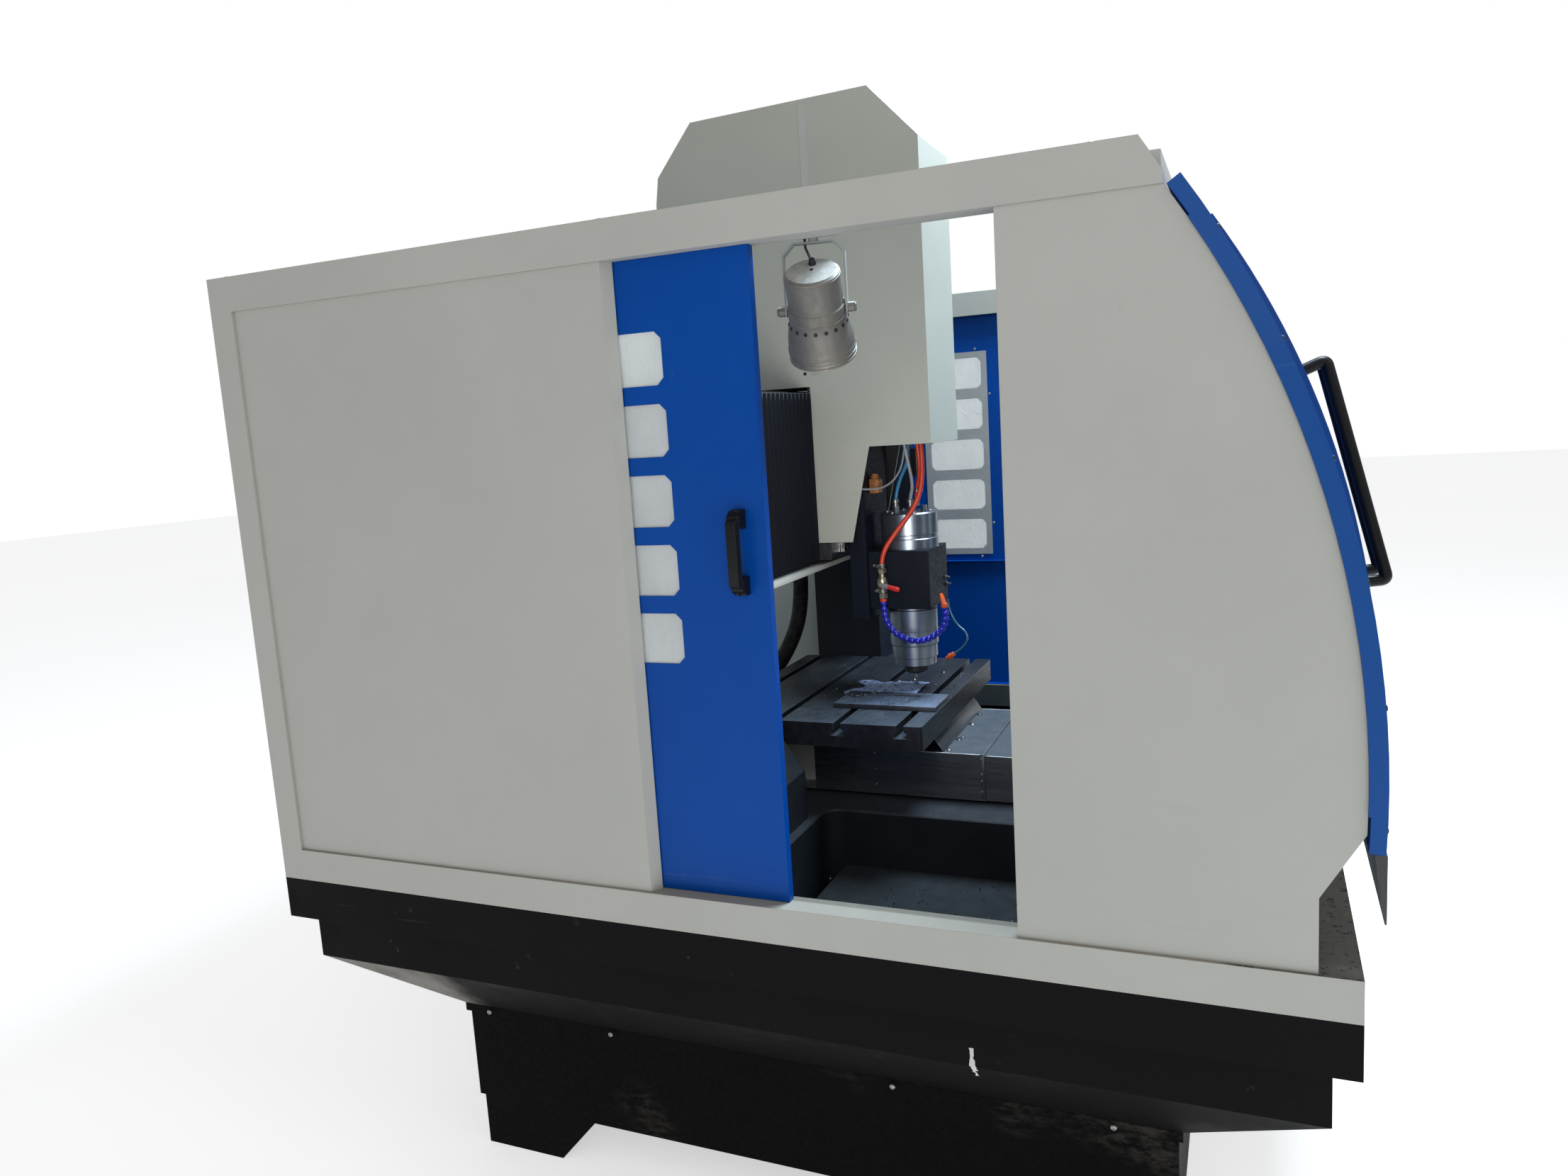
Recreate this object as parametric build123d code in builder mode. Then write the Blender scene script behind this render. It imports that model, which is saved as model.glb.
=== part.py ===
from build123d import *
import os
from math import asin, cos, degrees, pi, radians, sin, sqrt

# Fixed-gantry milling machine with a moving table, in millimetres.
# Origin: on the floor, at the centre of the four foundation bolts. Front is -Y, up is +Z.

# Clearances
running_gap = 0.3
bearing_gap = 0.05
hood_gap = 0.5
hole_gap = 1.0

# Base casting
base_width = 1460
base_length = 1614
base_height = 369
base_wall = 25
base_top_thickness = 40
lip_height = 20
lip_overhang = 8
foot_height = 130
foot_inset = 8
arch_height = 110
arch_half_length = 481
arch_slant = 99
anchor_spacing_x = 1240
anchor_spacing_y = 1400
anchor_hole_radius = 11
anchor_pad_size = 150
anchor_pad_height = 30

# Tank and tray
tank_wall = 4
tank_flange = 30
hopper_height = 151
tank_band_height = 111
tank_inset = 40
tray_band_height = 94
tray_sheet = 4

# Enclosure
enclosure_half_width = 913
enclosure_front = -1079
enclosure_rear = 1128
tube_width = 60
sill_height = 71
opening_height = 1197
beam_height = 72
beam_front_top = -771
beam_front = -804
beam_nose_height = 20
header_depth = 45
header_height = 50
panel_recess = 6
panel_depth = 22
panel_sheet = 2.5
rear_panel_front = 144
rear_panel_bevel = 14
front_panel_rear = -556
front_panel_toe = -1016
front_panel_toe_top = 919
front_panel_belly = 1025
arc_center_y = 540
arc_center_z = 1088
arc_radius = 1621

# Front wings, doors and guide rail
wing_gap = 3
wing_depth = 23
wing_width = 443
wing_bottom = 997
wing_rise = 11
front_door_gap = 3
front_door_depth = 22
front_door_lap = 35
front_door_side_gap = 1
front_window_margin = 110
front_window_top_angle = 22
front_window_low_angle = 4
front_handle_x = 80
front_handle_tube = 13
front_handle_standoff = 62
front_handle_low_angle = 6.5
front_handle_high_angle = 24.5
guide_rail_height = 107
guide_rail_top_width = 17
guide_rail_low_width = 3
guide_ledge_thickness = 6

# Side doors
door_recess = 31
door_depth = 20
door_sheet = 2
door_front_edge = -125
door_length = 735
door_slide_gap = 0.4
window_front = 58
window_width = 173
window_height = 96
window_pitch = 129.5
window_count = 5
window_drop = 130
window_corner = 13
window_sheet_thickness = 3
window_sheet_margin = 19
stiffener_height = 1207
bridge_length = 155
bridge_width = 26
bridge_standoff = 42
bridge_bar = 13
bridge_center_y = -75
bridge_center_z = 1459

# Bed, columns and crossbeam
bed_half_width = 318
bed_front = -960
bed_rear = 900
bed_top = 771
bed_wall = 40
bed_wing_wall = 45
bed_overhang_bottom = 545
bed_foot_half_length = 772
bed_corner = 40
wing_half_width = 600
wing_front = 14
wing_rear = 340
column_inner = 390
column_outer = 590
column_front = 96
column_rear = 294
column_toe_front = 35
column_toe_low = 886
column_toe_high = 972
column_wall = 25
crossbeam_bottom = 1325
crossbeam_top = 1765
crossbeam_front = 124
crossbeam_depth = 186
crossbeam_half_length = 720
crossbeam_wall = 22
core_count = 5
core_spacing = 275
core_width = 220
core_height = 230

# Linear guides
x_rail_width = 34
x_rail_height = 28
x_rail_half_length = 690
x_rail_low = 1420
x_rail_high = 1670
x_block_width = 90
x_block_length = 96
x_block_height = 40
x_block_offset = 72
y_rail_width = 28
y_rail_height = 28
y_rail_x = 140
y_rail_front = -550
y_rail_rear = 465
y_block_width = 80
y_block_length = 96
y_block_height = 36
z_rail_width = 23
z_rail_height = 18
z_rail_x = 72
z_block_width = 56
z_block_length = 84
z_block_height = 30
block_lift = 6

# Ball screws and motors
x_screw_radius = 12.5
x_screw_y = 101
x_screw_z = 1545
x_bearing_x = 665
x_bearing_length = 30
y_screw_radius = 16
y_screw_z = 835
y_bearing_front = -585
y_bearing_rear = 520
y_bearing_length = 30
z_screw_radius = 10
z_screw_y = 20
screw_overrun = 30
motor_length = 105
x_motor_size = 88
y_motor_size = 110
z_motor_size = 104
motor_flange = 10

# X carriage and Z slide
carriage_thickness = 40
carriage_bottom = 1345
carriage_top = 2150
carriage_shelf = 24
carriage_shelf_front = -62
z_rail_bottom = 1360
z_rail_top = 2100
slide_half_width = 95
slide_thickness = 44
slide_bottom = 1190
slide_top = 1720
slide_block_low = 1440
slide_block_high = 1660
z_nut_bottom = 1560
z_nut_top = 1620

# Head cover
cover_half_width = 130
cover_sheet = 3
cover_front = -227
cover_front_low = 1620
cover_front_high = 2315
cover_peak_front = -111
cover_top = 2440
cover_peak_rear = 345
cover_peak_rear_z = 2431
cover_rear_shoulder = 445
cover_rear_shoulder_z = 2314
cover_rear = 455
cover_rear_z = 2250
cover_rear_bottom = 1772
cover_leg_rear = 70
cover_leg_bottom = 1389
cover_leg_front = -20
cover_notch = -74
bulkhead_z = 1900

# Bellows
bellows_front = 68
bellows_pleat = 13
bellows_sheet = 1.6
bellows_pitch = 24
bellows_count = 23
bellows_bottom = 1340
bellows_top = 1758
bellows_inner = 132

# Spindle
spindle_y = -127
clamp_half_width = 86
clamp_front = -220
clamp_bottom = 1215
clamp_top = 1360
clamp_corner = 28
clamp_slit = 4
spindle_radius = 62.5
spindle_cap_radius = 71.5
spindle_cap_top = 1450
spindle_low_radius = 61
spindle_nose_radius = 54
spindle_step_z = 1112
spindle_nose_z = 1062
shaft_radius = 22
shaft_depth = 140
collet_nut_radius = 30
collet_nut_height = 24
tool_radius = 5
tool_bore_depth = 50
fitting_radius = 8
fitting_height = 16

# Coolant lines on the spindle
valve_x = -108
valve_y = -84
valve_bottom = 1246
valve_top = 1322
valve_radius = 10
valve_lever_z = 1282
lever_length = 46
lever_droop = 16
red_hose_radius = 6
air_tube_radius = 4
cable_radius = 4
hose_bead_radius = 9.5
hose_bead_neck = 6.5
hose_loop_radius = 64
hose_drop = 30
hose_end_tilt = 14
hose_bead_count = 15
mist_tube_radius = 3.2
nozzle_radius = 8
nozzle_tip_radius = 3.5
nozzle_length = 40

# Table and way covers
table_half_width = 357
table_front = -240
table_length = 558
table_top = 994
table_thickness = 57
slot_count = 4
slot_pitch = 152
slot_width = 18
slot_depth = 30
slot_foot_width = 32
slot_foot_height = 14
saddle_front = -60
saddle_length = 360
saddle_half_width = 202.5
saddle_channel = 47
nut_start = 60
nut_end = 150
hood_half_width = 205
hood_top = 890
hood_bottom_gap = 6
hood_sheet = 2.5
main_hood_front = -344
main_hood_skirt_rear = 85
middle_hood_front = -740
middle_hood_length = 460
front_hood_start = -956
front_hood_length = 280
rear_hood_rear = 385
plate_length = 400
plate_width = 250
plate_thickness = 12
plate_x = -30
plate_y = -121
plate_turn = 3
tool_clearance = 0.5

# Lamp
lamp_inset = 93
lamp_y = -200
lamp_drop = 109
lamp_yaw = 12.5
lamp_swing = 35
lamp_radius = 51
lamp_cup_radius = 62
lamp_above = 76
lamp_below = 92
lamp_wall = 2
bail_width = 18
bail_sheet = 3
bail_gap = 6
bail_rise = 118
bail_shoulder = 20
bracket_half = 42
bracket_reach = 36
bracket_sheet = 4
bracket_lift = 22
pivot_radius = 4
knob_radius = 9
knob_length = 12

# Cable conduit behind the crossbeam
conduit_x = 430
conduit_radius = 24
conduit_offset = 46
conduit_swing = 196
conduit_bend_z = 1130

# Heights that follow from the stack of base, tank, tray and frame
hopper_top = base_height + hopper_height
tray_bottom = hopper_top + tank_band_height
sill_bottom = tray_bottom + tray_band_height
sill_top = sill_bottom + sill_height
beam_bottom = sill_top + opening_height
beam_top = beam_bottom + beam_height
wing_top = beam_bottom + wing_rise
window_top = beam_bottom - window_drop
lamp_pivot_z = beam_bottom - lamp_drop
bracket_z = beam_bottom + bracket_lift
enclosure_length = enclosure_rear - enclosure_front
enclosure_mid_y = (enclosure_rear + enclosure_front) / 2
tube_inner = enclosure_half_width - tube_width
lamp_x = lamp_inset - tube_inner
panel_outer = enclosure_half_width - panel_recess
door_outer_x = enclosure_half_width - door_recess
front_door_width = enclosure_half_width - wing_width + front_door_lap

# Places that follow from the guides
carriage_rear = crossbeam_front - block_lift - x_block_height
carriage_front = carriage_rear - carriage_thickness
slide_rear = carriage_front - block_lift - z_block_height
slide_front = slide_rear - slide_thickness
saddle_bottom = bed_top + block_lift + y_block_height
table_bottom = table_top - table_thickness
saddle_rear = saddle_front + saddle_length
hood_bottom = bed_top + hood_bottom_gap
table_rear = table_front + table_length

pieces = {}


def box_between(x0, x1, y0, y1, z0, z1, mode=Mode.ADD):
    """A block between two corners, inside the part being built."""
    with BuildSketch(Plane.XY.offset(z0)) as footprint:
        with Locations(((x0 + x1) / 2, (y0 + y1) / 2)):
            Rectangle(abs(x1 - x0), abs(y1 - y0))
    extrude(footprint.sketch, amount=z1 - z0, mode=mode)


def bore(origin, axis, radius, length):
    """A round hole cut from a start point along an axis."""
    with BuildSketch(Plane(origin=origin, z_dir=axis)) as mouth:
        Circle(radius)
    extrude(mouth.sketch, amount=length, mode=Mode.SUBTRACT)


def profile_x(points, x0, x1, mode=Mode.ADD):
    """A (Y, Z) outline drawn out along X from x0 to x1."""
    with BuildSketch(Plane.YZ.offset(x0)) as outline:
        with BuildLine():
            Polyline(*points, close=True)
        make_face()
    extrude(outline.sketch, amount=x1 - x0, mode=mode)


def arc_band(inner, outer, low_angle, high_angle, x0, x1, mode=Mode.ADD):
    """A band between two radii about the front arc's centre, drawn out along X.

    Angles are measured up from the horizontal that points to the front.
    """
    def on_arc(radius, angle):
        return (
            arc_center_y - radius * cos(radians(angle)), arc_center_z + radius * sin(radians(angle)),
        )

    middle = (low_angle + high_angle) / 2
    with BuildSketch(Plane.YZ.offset(x0)) as band:
        with BuildLine():
            ThreePointArc(on_arc(outer, low_angle), on_arc(outer, middle), on_arc(outer, high_angle))
            Line(on_arc(outer, high_angle), on_arc(inner, high_angle))
            ThreePointArc(on_arc(inner, high_angle), on_arc(inner, middle), on_arc(inner, low_angle))
            Line(on_arc(inner, low_angle), on_arc(outer, low_angle))
        make_face()
    extrude(band.sketch, amount=x1 - x0, mode=mode)


def arc_angle(radius, z):
    """The angle at which the front arc of this radius passes a height."""
    return degrees(asin((z - arc_center_z) / radius))


def arc_y(radius, z):
    """The Y at which the front arc of this radius passes a height."""
    return arc_center_y - sqrt(radius ** 2 - (z - arc_center_z) ** 2)


def rail_outline(width, height):
    """Half-waisted section of a linear rail, standing on the origin."""
    waist = width * 0.36
    return [
        (-width / 2, 0), (width / 2, 0), (width / 2, height * 0.3), (waist, height * 0.48),
        (waist, height * 0.68), (width / 2, height * 0.84), (width / 2, height),
        (-width / 2, height), (-width / 2, height * 0.84), (-waist, height * 0.68),
        (-waist, height * 0.48), (-width / 2, height * 0.3),
    ]


def rail(plane, width, height, length):
    """A rail whose section lies on the plane and which runs along its normal."""
    with BuildSketch(plane) as section:
        with BuildLine():
            Polyline(*rail_outline(width, height), close=True)
        make_face()
    extrude(section.sketch, amount=length)


def guide_block(plane, width, height, length, rail_width, rail_height):
    """A carriage that straddles a rail with running clearance."""
    with BuildSketch(plane) as section:
        with Locations((0, block_lift + height / 2)):
            Rectangle(width, height)
        with Locations((0, (rail_height + running_gap) / 2)):
            Rectangle(rail_width + 2 * running_gap, rail_height + running_gap, mode=Mode.SUBTRACT)
    extrude(section.sketch, amount=length)


def screw_rod(start, axis, radius, length):
    """A plain rod from a start point along an axis."""
    with BuildSketch(Plane(origin=start, z_dir=axis)) as section:
        Circle(radius)
    extrude(section.sketch, amount=length)


def tube_along(points, radii, radius):
    """A round cord of straight runs and tangent arcs, and its ratio of volume to section times length."""
    with BuildPart() as cord:
        with BuildLine() as route:
            FilletPolyline(*points, radius=radii)
        with BuildSketch(Plane(origin=route.wire() @ 0, z_dir=route.wire() % 0)):
            Circle(radius)
        sweep(path=route.wire())
    share = cord.part.volume / (pi * radius ** 2 * route.wire().length)
    print("cord radii", [round(r, 1) for r in radii], "volume share", round(share, 4))
    return cord


def corner_radii(points, share=0.45):
    """The largest tangent arc that each inner point leaves room for."""
    radii = []
    for before, here, after in zip(points, points[1:], points[2:]):
        into = Vector(*here) - Vector(*before)
        out = Vector(*after) - Vector(*here)
        turn = radians(into.get_angle(out))
        run = min(into.length, out.length)
        radii.append(share * run / sin(turn / 2) * cos(turn / 2))
    return radii


# Base casting with arched sides, a top lip and anchor pads
with BuildPart() as base_casting:
    body_x = base_width / 2 - lip_overhang
    body_y = base_length / 2 - lip_overhang
    box_between(
        -body_x + foot_inset, body_x - foot_inset, -body_y + foot_inset, body_y - foot_inset, 0,
        foot_height,
    )
    box_between(-body_x, body_x, -body_y, body_y, foot_height, base_height - lip_height)
    box_between(
        -base_width / 2, base_width / 2, -base_length / 2, base_length / 2, base_height - lip_height,
        base_height,
    )
    hollow_x = body_x - base_wall - foot_inset
    hollow_y = body_y - base_wall - foot_inset
    box_between(
        -hollow_x, hollow_x, -hollow_y, hollow_y, 0, base_height - base_top_thickness,
        mode=Mode.SUBTRACT,
    )
    arch = [
        (-arch_half_length - arch_slant, 0), (-arch_half_length, arch_height),
        (arch_half_length, arch_height), (arch_half_length + arch_slant, 0),
    ]
    profile_x(arch, -base_width / 2, base_width / 2, mode=Mode.SUBTRACT)
    with BuildSketch(Plane.XZ.offset(-base_length / 2)):
        with BuildLine():
            Polyline(*[(y * 0.85, z) for y, z in arch], close=True)
        make_face()
    extrude(amount=base_length, mode=Mode.SUBTRACT)
    with BuildSketch():
        with GridLocations(anchor_spacing_x, anchor_spacing_y, 2, 2):
            Rectangle(anchor_pad_size, anchor_pad_size)
    extrude(amount=anchor_pad_height)
    with Locations(Plane.XY.offset(anchor_pad_height)):
        with GridLocations(anchor_spacing_x, anchor_spacing_y, 2, 2):
            Hole(anchor_hole_radius, depth=anchor_pad_height)
pieces["base_casting"] = base_casting

# Lower tank: a sheet band over a sloped hopper that stands on the base lip
tank_half_x = enclosure_half_width - tank_inset
tank_length = enclosure_length - 2 * tank_inset
with BuildPart() as lower_tank:
    with BuildSketch(Plane.XY.offset(base_height)):
        Rectangle(base_width, base_length)
    with BuildSketch(Plane.XY.offset(hopper_top)):
        with Locations((0, enclosure_mid_y)):
            Rectangle(2 * tank_half_x, tank_length)
    loft()
    with BuildSketch(Plane.XY.offset(hopper_top)):
        with Locations((0, enclosure_mid_y)):
            Rectangle(2 * tank_half_x, tank_length)
    extrude(amount=tank_band_height)
    with BuildSketch(Plane.XY.offset(base_height + tank_wall)):
        Rectangle(base_width - 2 * tank_wall, base_length - 2 * tank_wall)
    with BuildSketch(Plane.XY.offset(hopper_top)):
        with Locations((0, enclosure_mid_y)):
            Rectangle(2 * (tank_half_x - tank_wall), tank_length - 2 * tank_wall)
    loft(mode=Mode.SUBTRACT)
    with BuildSketch(Plane.XY.offset(hopper_top)):
        with Locations((0, enclosure_mid_y)):
            Rectangle(2 * (tank_half_x - tank_wall), tank_length - 2 * tank_wall)
    extrude(amount=tank_band_height, mode=Mode.SUBTRACT)
    with BuildSketch(Plane.XY.offset(base_height)):
        Rectangle(base_width - 2 * tank_flange, base_length - 2 * tank_flange)
    extrude(amount=tank_wall, mode=Mode.SUBTRACT)
pieces["lower_tank"] = lower_tank

# Chip tray: a pan with a cut-out for the bed
with BuildPart() as chip_tray:
    with BuildSketch(Plane.XY.offset(tray_bottom)):
        with Locations((0, enclosure_mid_y)):
            Rectangle(2 * enclosure_half_width, enclosure_length)
    extrude(amount=tray_band_height)
    with BuildSketch(Plane.XY.offset(tray_bottom + tray_sheet)):
        with Locations((0, enclosure_mid_y)):
            Rectangle(2 * (enclosure_half_width - tray_sheet), enclosure_length - 2 * tray_sheet)
    extrude(amount=tray_band_height, mode=Mode.SUBTRACT)
    cut_x = bed_half_width + hole_gap
    cut_wing = wing_half_width + hole_gap
    box_between(
        -cut_x, cut_x, bed_front - hole_gap, bed_rear + hole_gap, tray_bottom, tray_bottom + tray_sheet,
        mode=Mode.SUBTRACT,
    )
    box_between(
        -cut_wing, cut_wing, wing_front - hole_gap - bed_corner, wing_rear + hole_gap + bed_corner,
        tray_bottom, tray_bottom + tray_sheet, mode=Mode.SUBTRACT,
    )
pieces["chip_tray"] = chip_tray

# Bed casting: a long box with cross wings that carry the columns
with BuildPart() as bed_casting:
    with BuildSketch(Plane.XY.offset(base_height)) as bed_plan:
        with Locations((0, (bed_front + bed_rear) / 2)):
            Rectangle(2 * bed_half_width, bed_rear - bed_front)
        with Locations((0, (wing_front + wing_rear) / 2)):
            Rectangle(2 * wing_half_width, wing_rear - wing_front)
        inner_corners = [
            v
            for v in bed_plan.vertices()
            if abs(abs(v.X) - bed_half_width) < 1 and wing_front - 1 < v.Y < wing_rear + 1
        ]
        fillet(inner_corners, bed_corner)
    extrude(amount=bed_top - base_height)
    box_between(
        -bed_half_width + bed_wall, bed_half_width - bed_wall, -bed_foot_half_length + bed_wall,
        wing_front - bed_wall, base_height, bed_top - bed_wall, mode=Mode.SUBTRACT,
    )
    box_between(
        -bed_half_width + bed_wall, bed_half_width - bed_wall, wing_rear + bed_wall,
        bed_foot_half_length - bed_wall, base_height, bed_top - bed_wall, mode=Mode.SUBTRACT,
    )
    box_between(
        -wing_half_width + bed_wall, wing_half_width - bed_wall, wing_front + bed_wing_wall,
        wing_rear - bed_wing_wall, base_height, bed_top - bed_wall, mode=Mode.SUBTRACT,
    )
    for end, foot in ((bed_front, -bed_foot_half_length), (bed_rear, bed_foot_half_length)):
        y0, y1 = sorted((end, foot))
        box_between(
            -bed_half_width, bed_half_width, y0, y1, base_height, bed_overhang_bottom,
            mode=Mode.SUBTRACT,
        )
    chamfer(bed_casting.faces().sort_by(Axis.Z)[-1].edges().filter_by(GeomType.LINE), 4)
pieces["bed_casting"] = bed_casting

# Gantry columns with forward toes and cored outer faces
with BuildPart() as gantry_columns:
    column_outline = [
        (column_toe_front, bed_top), (column_rear, bed_top), (column_rear, crossbeam_bottom),
        (column_front, crossbeam_bottom), (column_front, column_toe_high),
        (column_toe_front, column_toe_low),
    ]
    profile_x(column_outline, column_inner, column_outer)
    core_z0 = bed_top + 2 * column_wall
    core_z1 = crossbeam_bottom - 2 * column_wall
    core_mid = (core_z0 + core_z1) / 2
    for z0, z1 in ((core_z0, core_mid - column_wall), (core_mid + column_wall, core_z1)):
        box_between(
            column_inner + column_wall, column_outer, column_front + column_wall,
            column_rear - column_wall, z0, z1, mode=Mode.SUBTRACT,
        )
    mirror(about=Plane.YZ)
pieces["gantry_columns"] = gantry_columns

# Crossbeam with core windows in its rear face
crossbeam_rear = crossbeam_front + crossbeam_depth
with BuildPart() as crossbeam:
    box_between(
        -crossbeam_half_length, crossbeam_half_length, crossbeam_front, crossbeam_rear,
        crossbeam_bottom, crossbeam_top,
    )
    chamfer(crossbeam.edges().filter_by(Axis.X), 6)
    for index in range(core_count):
        x = (index - (core_count - 1) / 2) * core_spacing
        z = (crossbeam_bottom + crossbeam_top) / 2
        box_between(
            x - core_width / 2, x + core_width / 2, crossbeam_front + crossbeam_wall, crossbeam_rear,
            z - core_height / 2, z + core_height / 2, mode=Mode.SUBTRACT,
        )
pieces["crossbeam"] = crossbeam

# Fixed linear rails of the X and Y axes
with BuildPart() as linear_rails:
    for z in (x_rail_low, x_rail_high):
        plane = Plane(
            origin=(-x_rail_half_length, crossbeam_front, z), x_dir=(0, 0, 1), z_dir=(1, 0, 0),
        )
        rail(plane, x_rail_width, x_rail_height, 2 * x_rail_half_length)
    for x in (-y_rail_x, y_rail_x):
        plane = Plane(origin=(x, y_rail_rear, bed_top), x_dir=(1, 0, 0), z_dir=(0, -1, 0))
        rail(plane, y_rail_width, y_rail_height, y_rail_rear - y_rail_front)
pieces["linear_rails"] = linear_rails

# Bearing blocks of the X and Y screws
with BuildPart() as screw_bearings:
    for x in (-x_bearing_x, x_bearing_x):
        half = x_bearing_length / 2
        box_between(
            x - half, x + half, carriage_rear + block_lift, crossbeam_front, x_screw_z - 28,
            x_screw_z + 28,
        )
    for y in (y_bearing_front, y_bearing_rear):
        half = y_bearing_length / 2
        box_between(-45, 45, y - half, y + half, bed_top, y_screw_z + y_screw_radius + 18)
    bore(
        (-x_bearing_x - x_bearing_length, x_screw_y, x_screw_z), (1, 0, 0),
        x_screw_radius + bearing_gap, 2 * (x_bearing_x + x_bearing_length),
    )
    bore(
        (0, y_bearing_front - y_bearing_length, y_screw_z), (0, 1, 0), y_screw_radius + bearing_gap,
        y_bearing_rear - y_bearing_front + 2 * y_bearing_length,
    )
pieces["screw_bearings"] = screw_bearings


def motor(origin, axis, size, length, bore):
    """A square servo motor with a flange, a stepped rear cover and a blind bore for its screw."""
    front = Plane(origin=origin, z_dir=axis)
    with BuildSketch(front) as flange:
        Rectangle(size, size)
    extrude(flange.sketch, amount=motor_flange)
    with BuildSketch(front.offset(motor_flange)) as can:
        Rectangle(size - 8, size - 8)
        chamfer(can.vertices(), 8)
    extrude(can.sketch, amount=length * 0.7)
    with BuildSketch(front.offset(motor_flange + length * 0.7)) as cap:
        Rectangle(size - 16, size - 16)
        chamfer(cap.vertices(), 8)
    extrude(cap.sketch, amount=length * 0.3 - motor_flange)
    with BuildSketch(front) as hole:
        Circle(bore)
    extrude(hole.sketch, amount=screw_overrun + 5, mode=Mode.SUBTRACT)


# Motors of the X and Y axes, on the crossbeam's end and the bed's rear
y_motor_front = y_bearing_rear + y_bearing_length
with BuildPart() as axis_motors:
    motor(
        (crossbeam_half_length, x_screw_y, x_screw_z), (1, 0, 0), x_motor_size, motor_length,
        x_screw_radius + running_gap,
    )
    motor(
        (0, y_motor_front, y_screw_z), (0, 1, 0), y_motor_size, motor_length + 25,
        y_screw_radius + running_gap,
    )
    box_between(
        -y_motor_size / 2, y_motor_size / 2, y_motor_front + motor_flange, y_motor_front + motor_length,
        bed_top, y_screw_z - y_motor_size / 2 + 6,
    )
pieces["axis_motors"] = axis_motors

# Ball screws
with BuildPart() as x_screw:
    start = -x_bearing_x - x_bearing_length / 2
    screw_rod(
        (start, x_screw_y, x_screw_z), (1, 0, 0), x_screw_radius,
        crossbeam_half_length + screw_overrun - start,
    )
pieces["x_screw"] = x_screw
with BuildPart() as y_screw:
    start = y_bearing_front - y_bearing_length / 2
    screw_rod((0, start, y_screw_z), (0, 1, 0), y_screw_radius, y_motor_front + screw_overrun - start)
pieces["y_screw"] = y_screw
with BuildPart() as z_screw:
    start = z_nut_bottom - screw_overrun
    screw_rod(
        (0, z_screw_y, start), (0, 0, 1), z_screw_radius,
        carriage_top + carriage_shelf + screw_overrun - start,
    )
pieces["z_screw"] = z_screw

# X carriage: a plate with the X nut behind it and a motor shelf on top
with BuildPart() as x_carriage:
    half = cover_half_width - cover_sheet
    box_between(-half, half, carriage_front, carriage_rear, carriage_bottom, carriage_top)
    box_between(
        -half, half, carriage_shelf_front, carriage_rear, carriage_top, carriage_top + carriage_shelf,
    )
    nut_rear = crossbeam_front - block_lift
    box_between(-42, 42, carriage_rear, nut_rear, x_screw_z - 24, x_screw_z + 24)
    bore((-60, x_screw_y, x_screw_z), (1, 0, 0), x_screw_radius + running_gap, 120)
    bore((0, z_screw_y, carriage_top), (0, 0, 1), z_screw_radius + bearing_gap, carriage_shelf)
pieces["x_carriage"] = x_carriage

# Carriages on the X rails
with BuildPart() as x_blocks:
    for z in (x_rail_low, x_rail_high):
        for x in (-x_block_offset, x_block_offset):
            plane = Plane(
                origin=(x - x_block_length / 2, crossbeam_front, z), x_dir=(0, 0, 1), z_dir=(1, 0, 0),
            )
            guide_block(
                plane, x_block_width, x_block_height, x_block_length, x_rail_width, x_rail_height,
            )
pieces["x_blocks"] = x_blocks

# Rails on the carriage plate and carriages on the Z slide
with BuildPart() as z_rails:
    for x in (-z_rail_x, z_rail_x):
        plane = Plane(origin=(x, carriage_front, z_rail_bottom), x_dir=(-1, 0, 0), z_dir=(0, 0, 1))
        rail(plane, z_rail_width, z_rail_height, z_rail_top - z_rail_bottom)
pieces["z_rails"] = z_rails
with BuildPart() as z_blocks:
    for x in (-z_rail_x, z_rail_x):
        for z in (slide_block_low, slide_block_high):
            plane = Plane(
                origin=(x, carriage_front, z - z_block_length / 2), x_dir=(-1, 0, 0), z_dir=(0, 0, 1),
            )
            guide_block(
                plane, z_block_width, z_block_height, z_block_length, z_rail_width, z_rail_height,
            )
pieces["z_blocks"] = z_blocks

# Z motor on the shelf
with BuildPart() as z_motor:
    motor(
        (0, z_screw_y, carriage_top + carriage_shelf), (0, 0, 1), z_motor_size, motor_length + 30,
        z_screw_radius + running_gap,
    )
pieces["z_motor"] = z_motor

# Z slide with its nut
with BuildPart() as z_slide:
    box_between(-slide_half_width, slide_half_width, slide_front, slide_rear, slide_bottom, slide_top)
    chamfer(z_slide.edges().filter_by(Axis.Z).sort_by(Axis.Y)[:2], 5)
    box_between(-28, 28, slide_rear, carriage_front - block_lift, z_nut_bottom, z_nut_top)
    bore((0, z_screw_y, z_nut_bottom - 10), (0, 0, 1), z_screw_radius + running_gap, slide_top)
pieces["z_slide"] = z_slide

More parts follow.
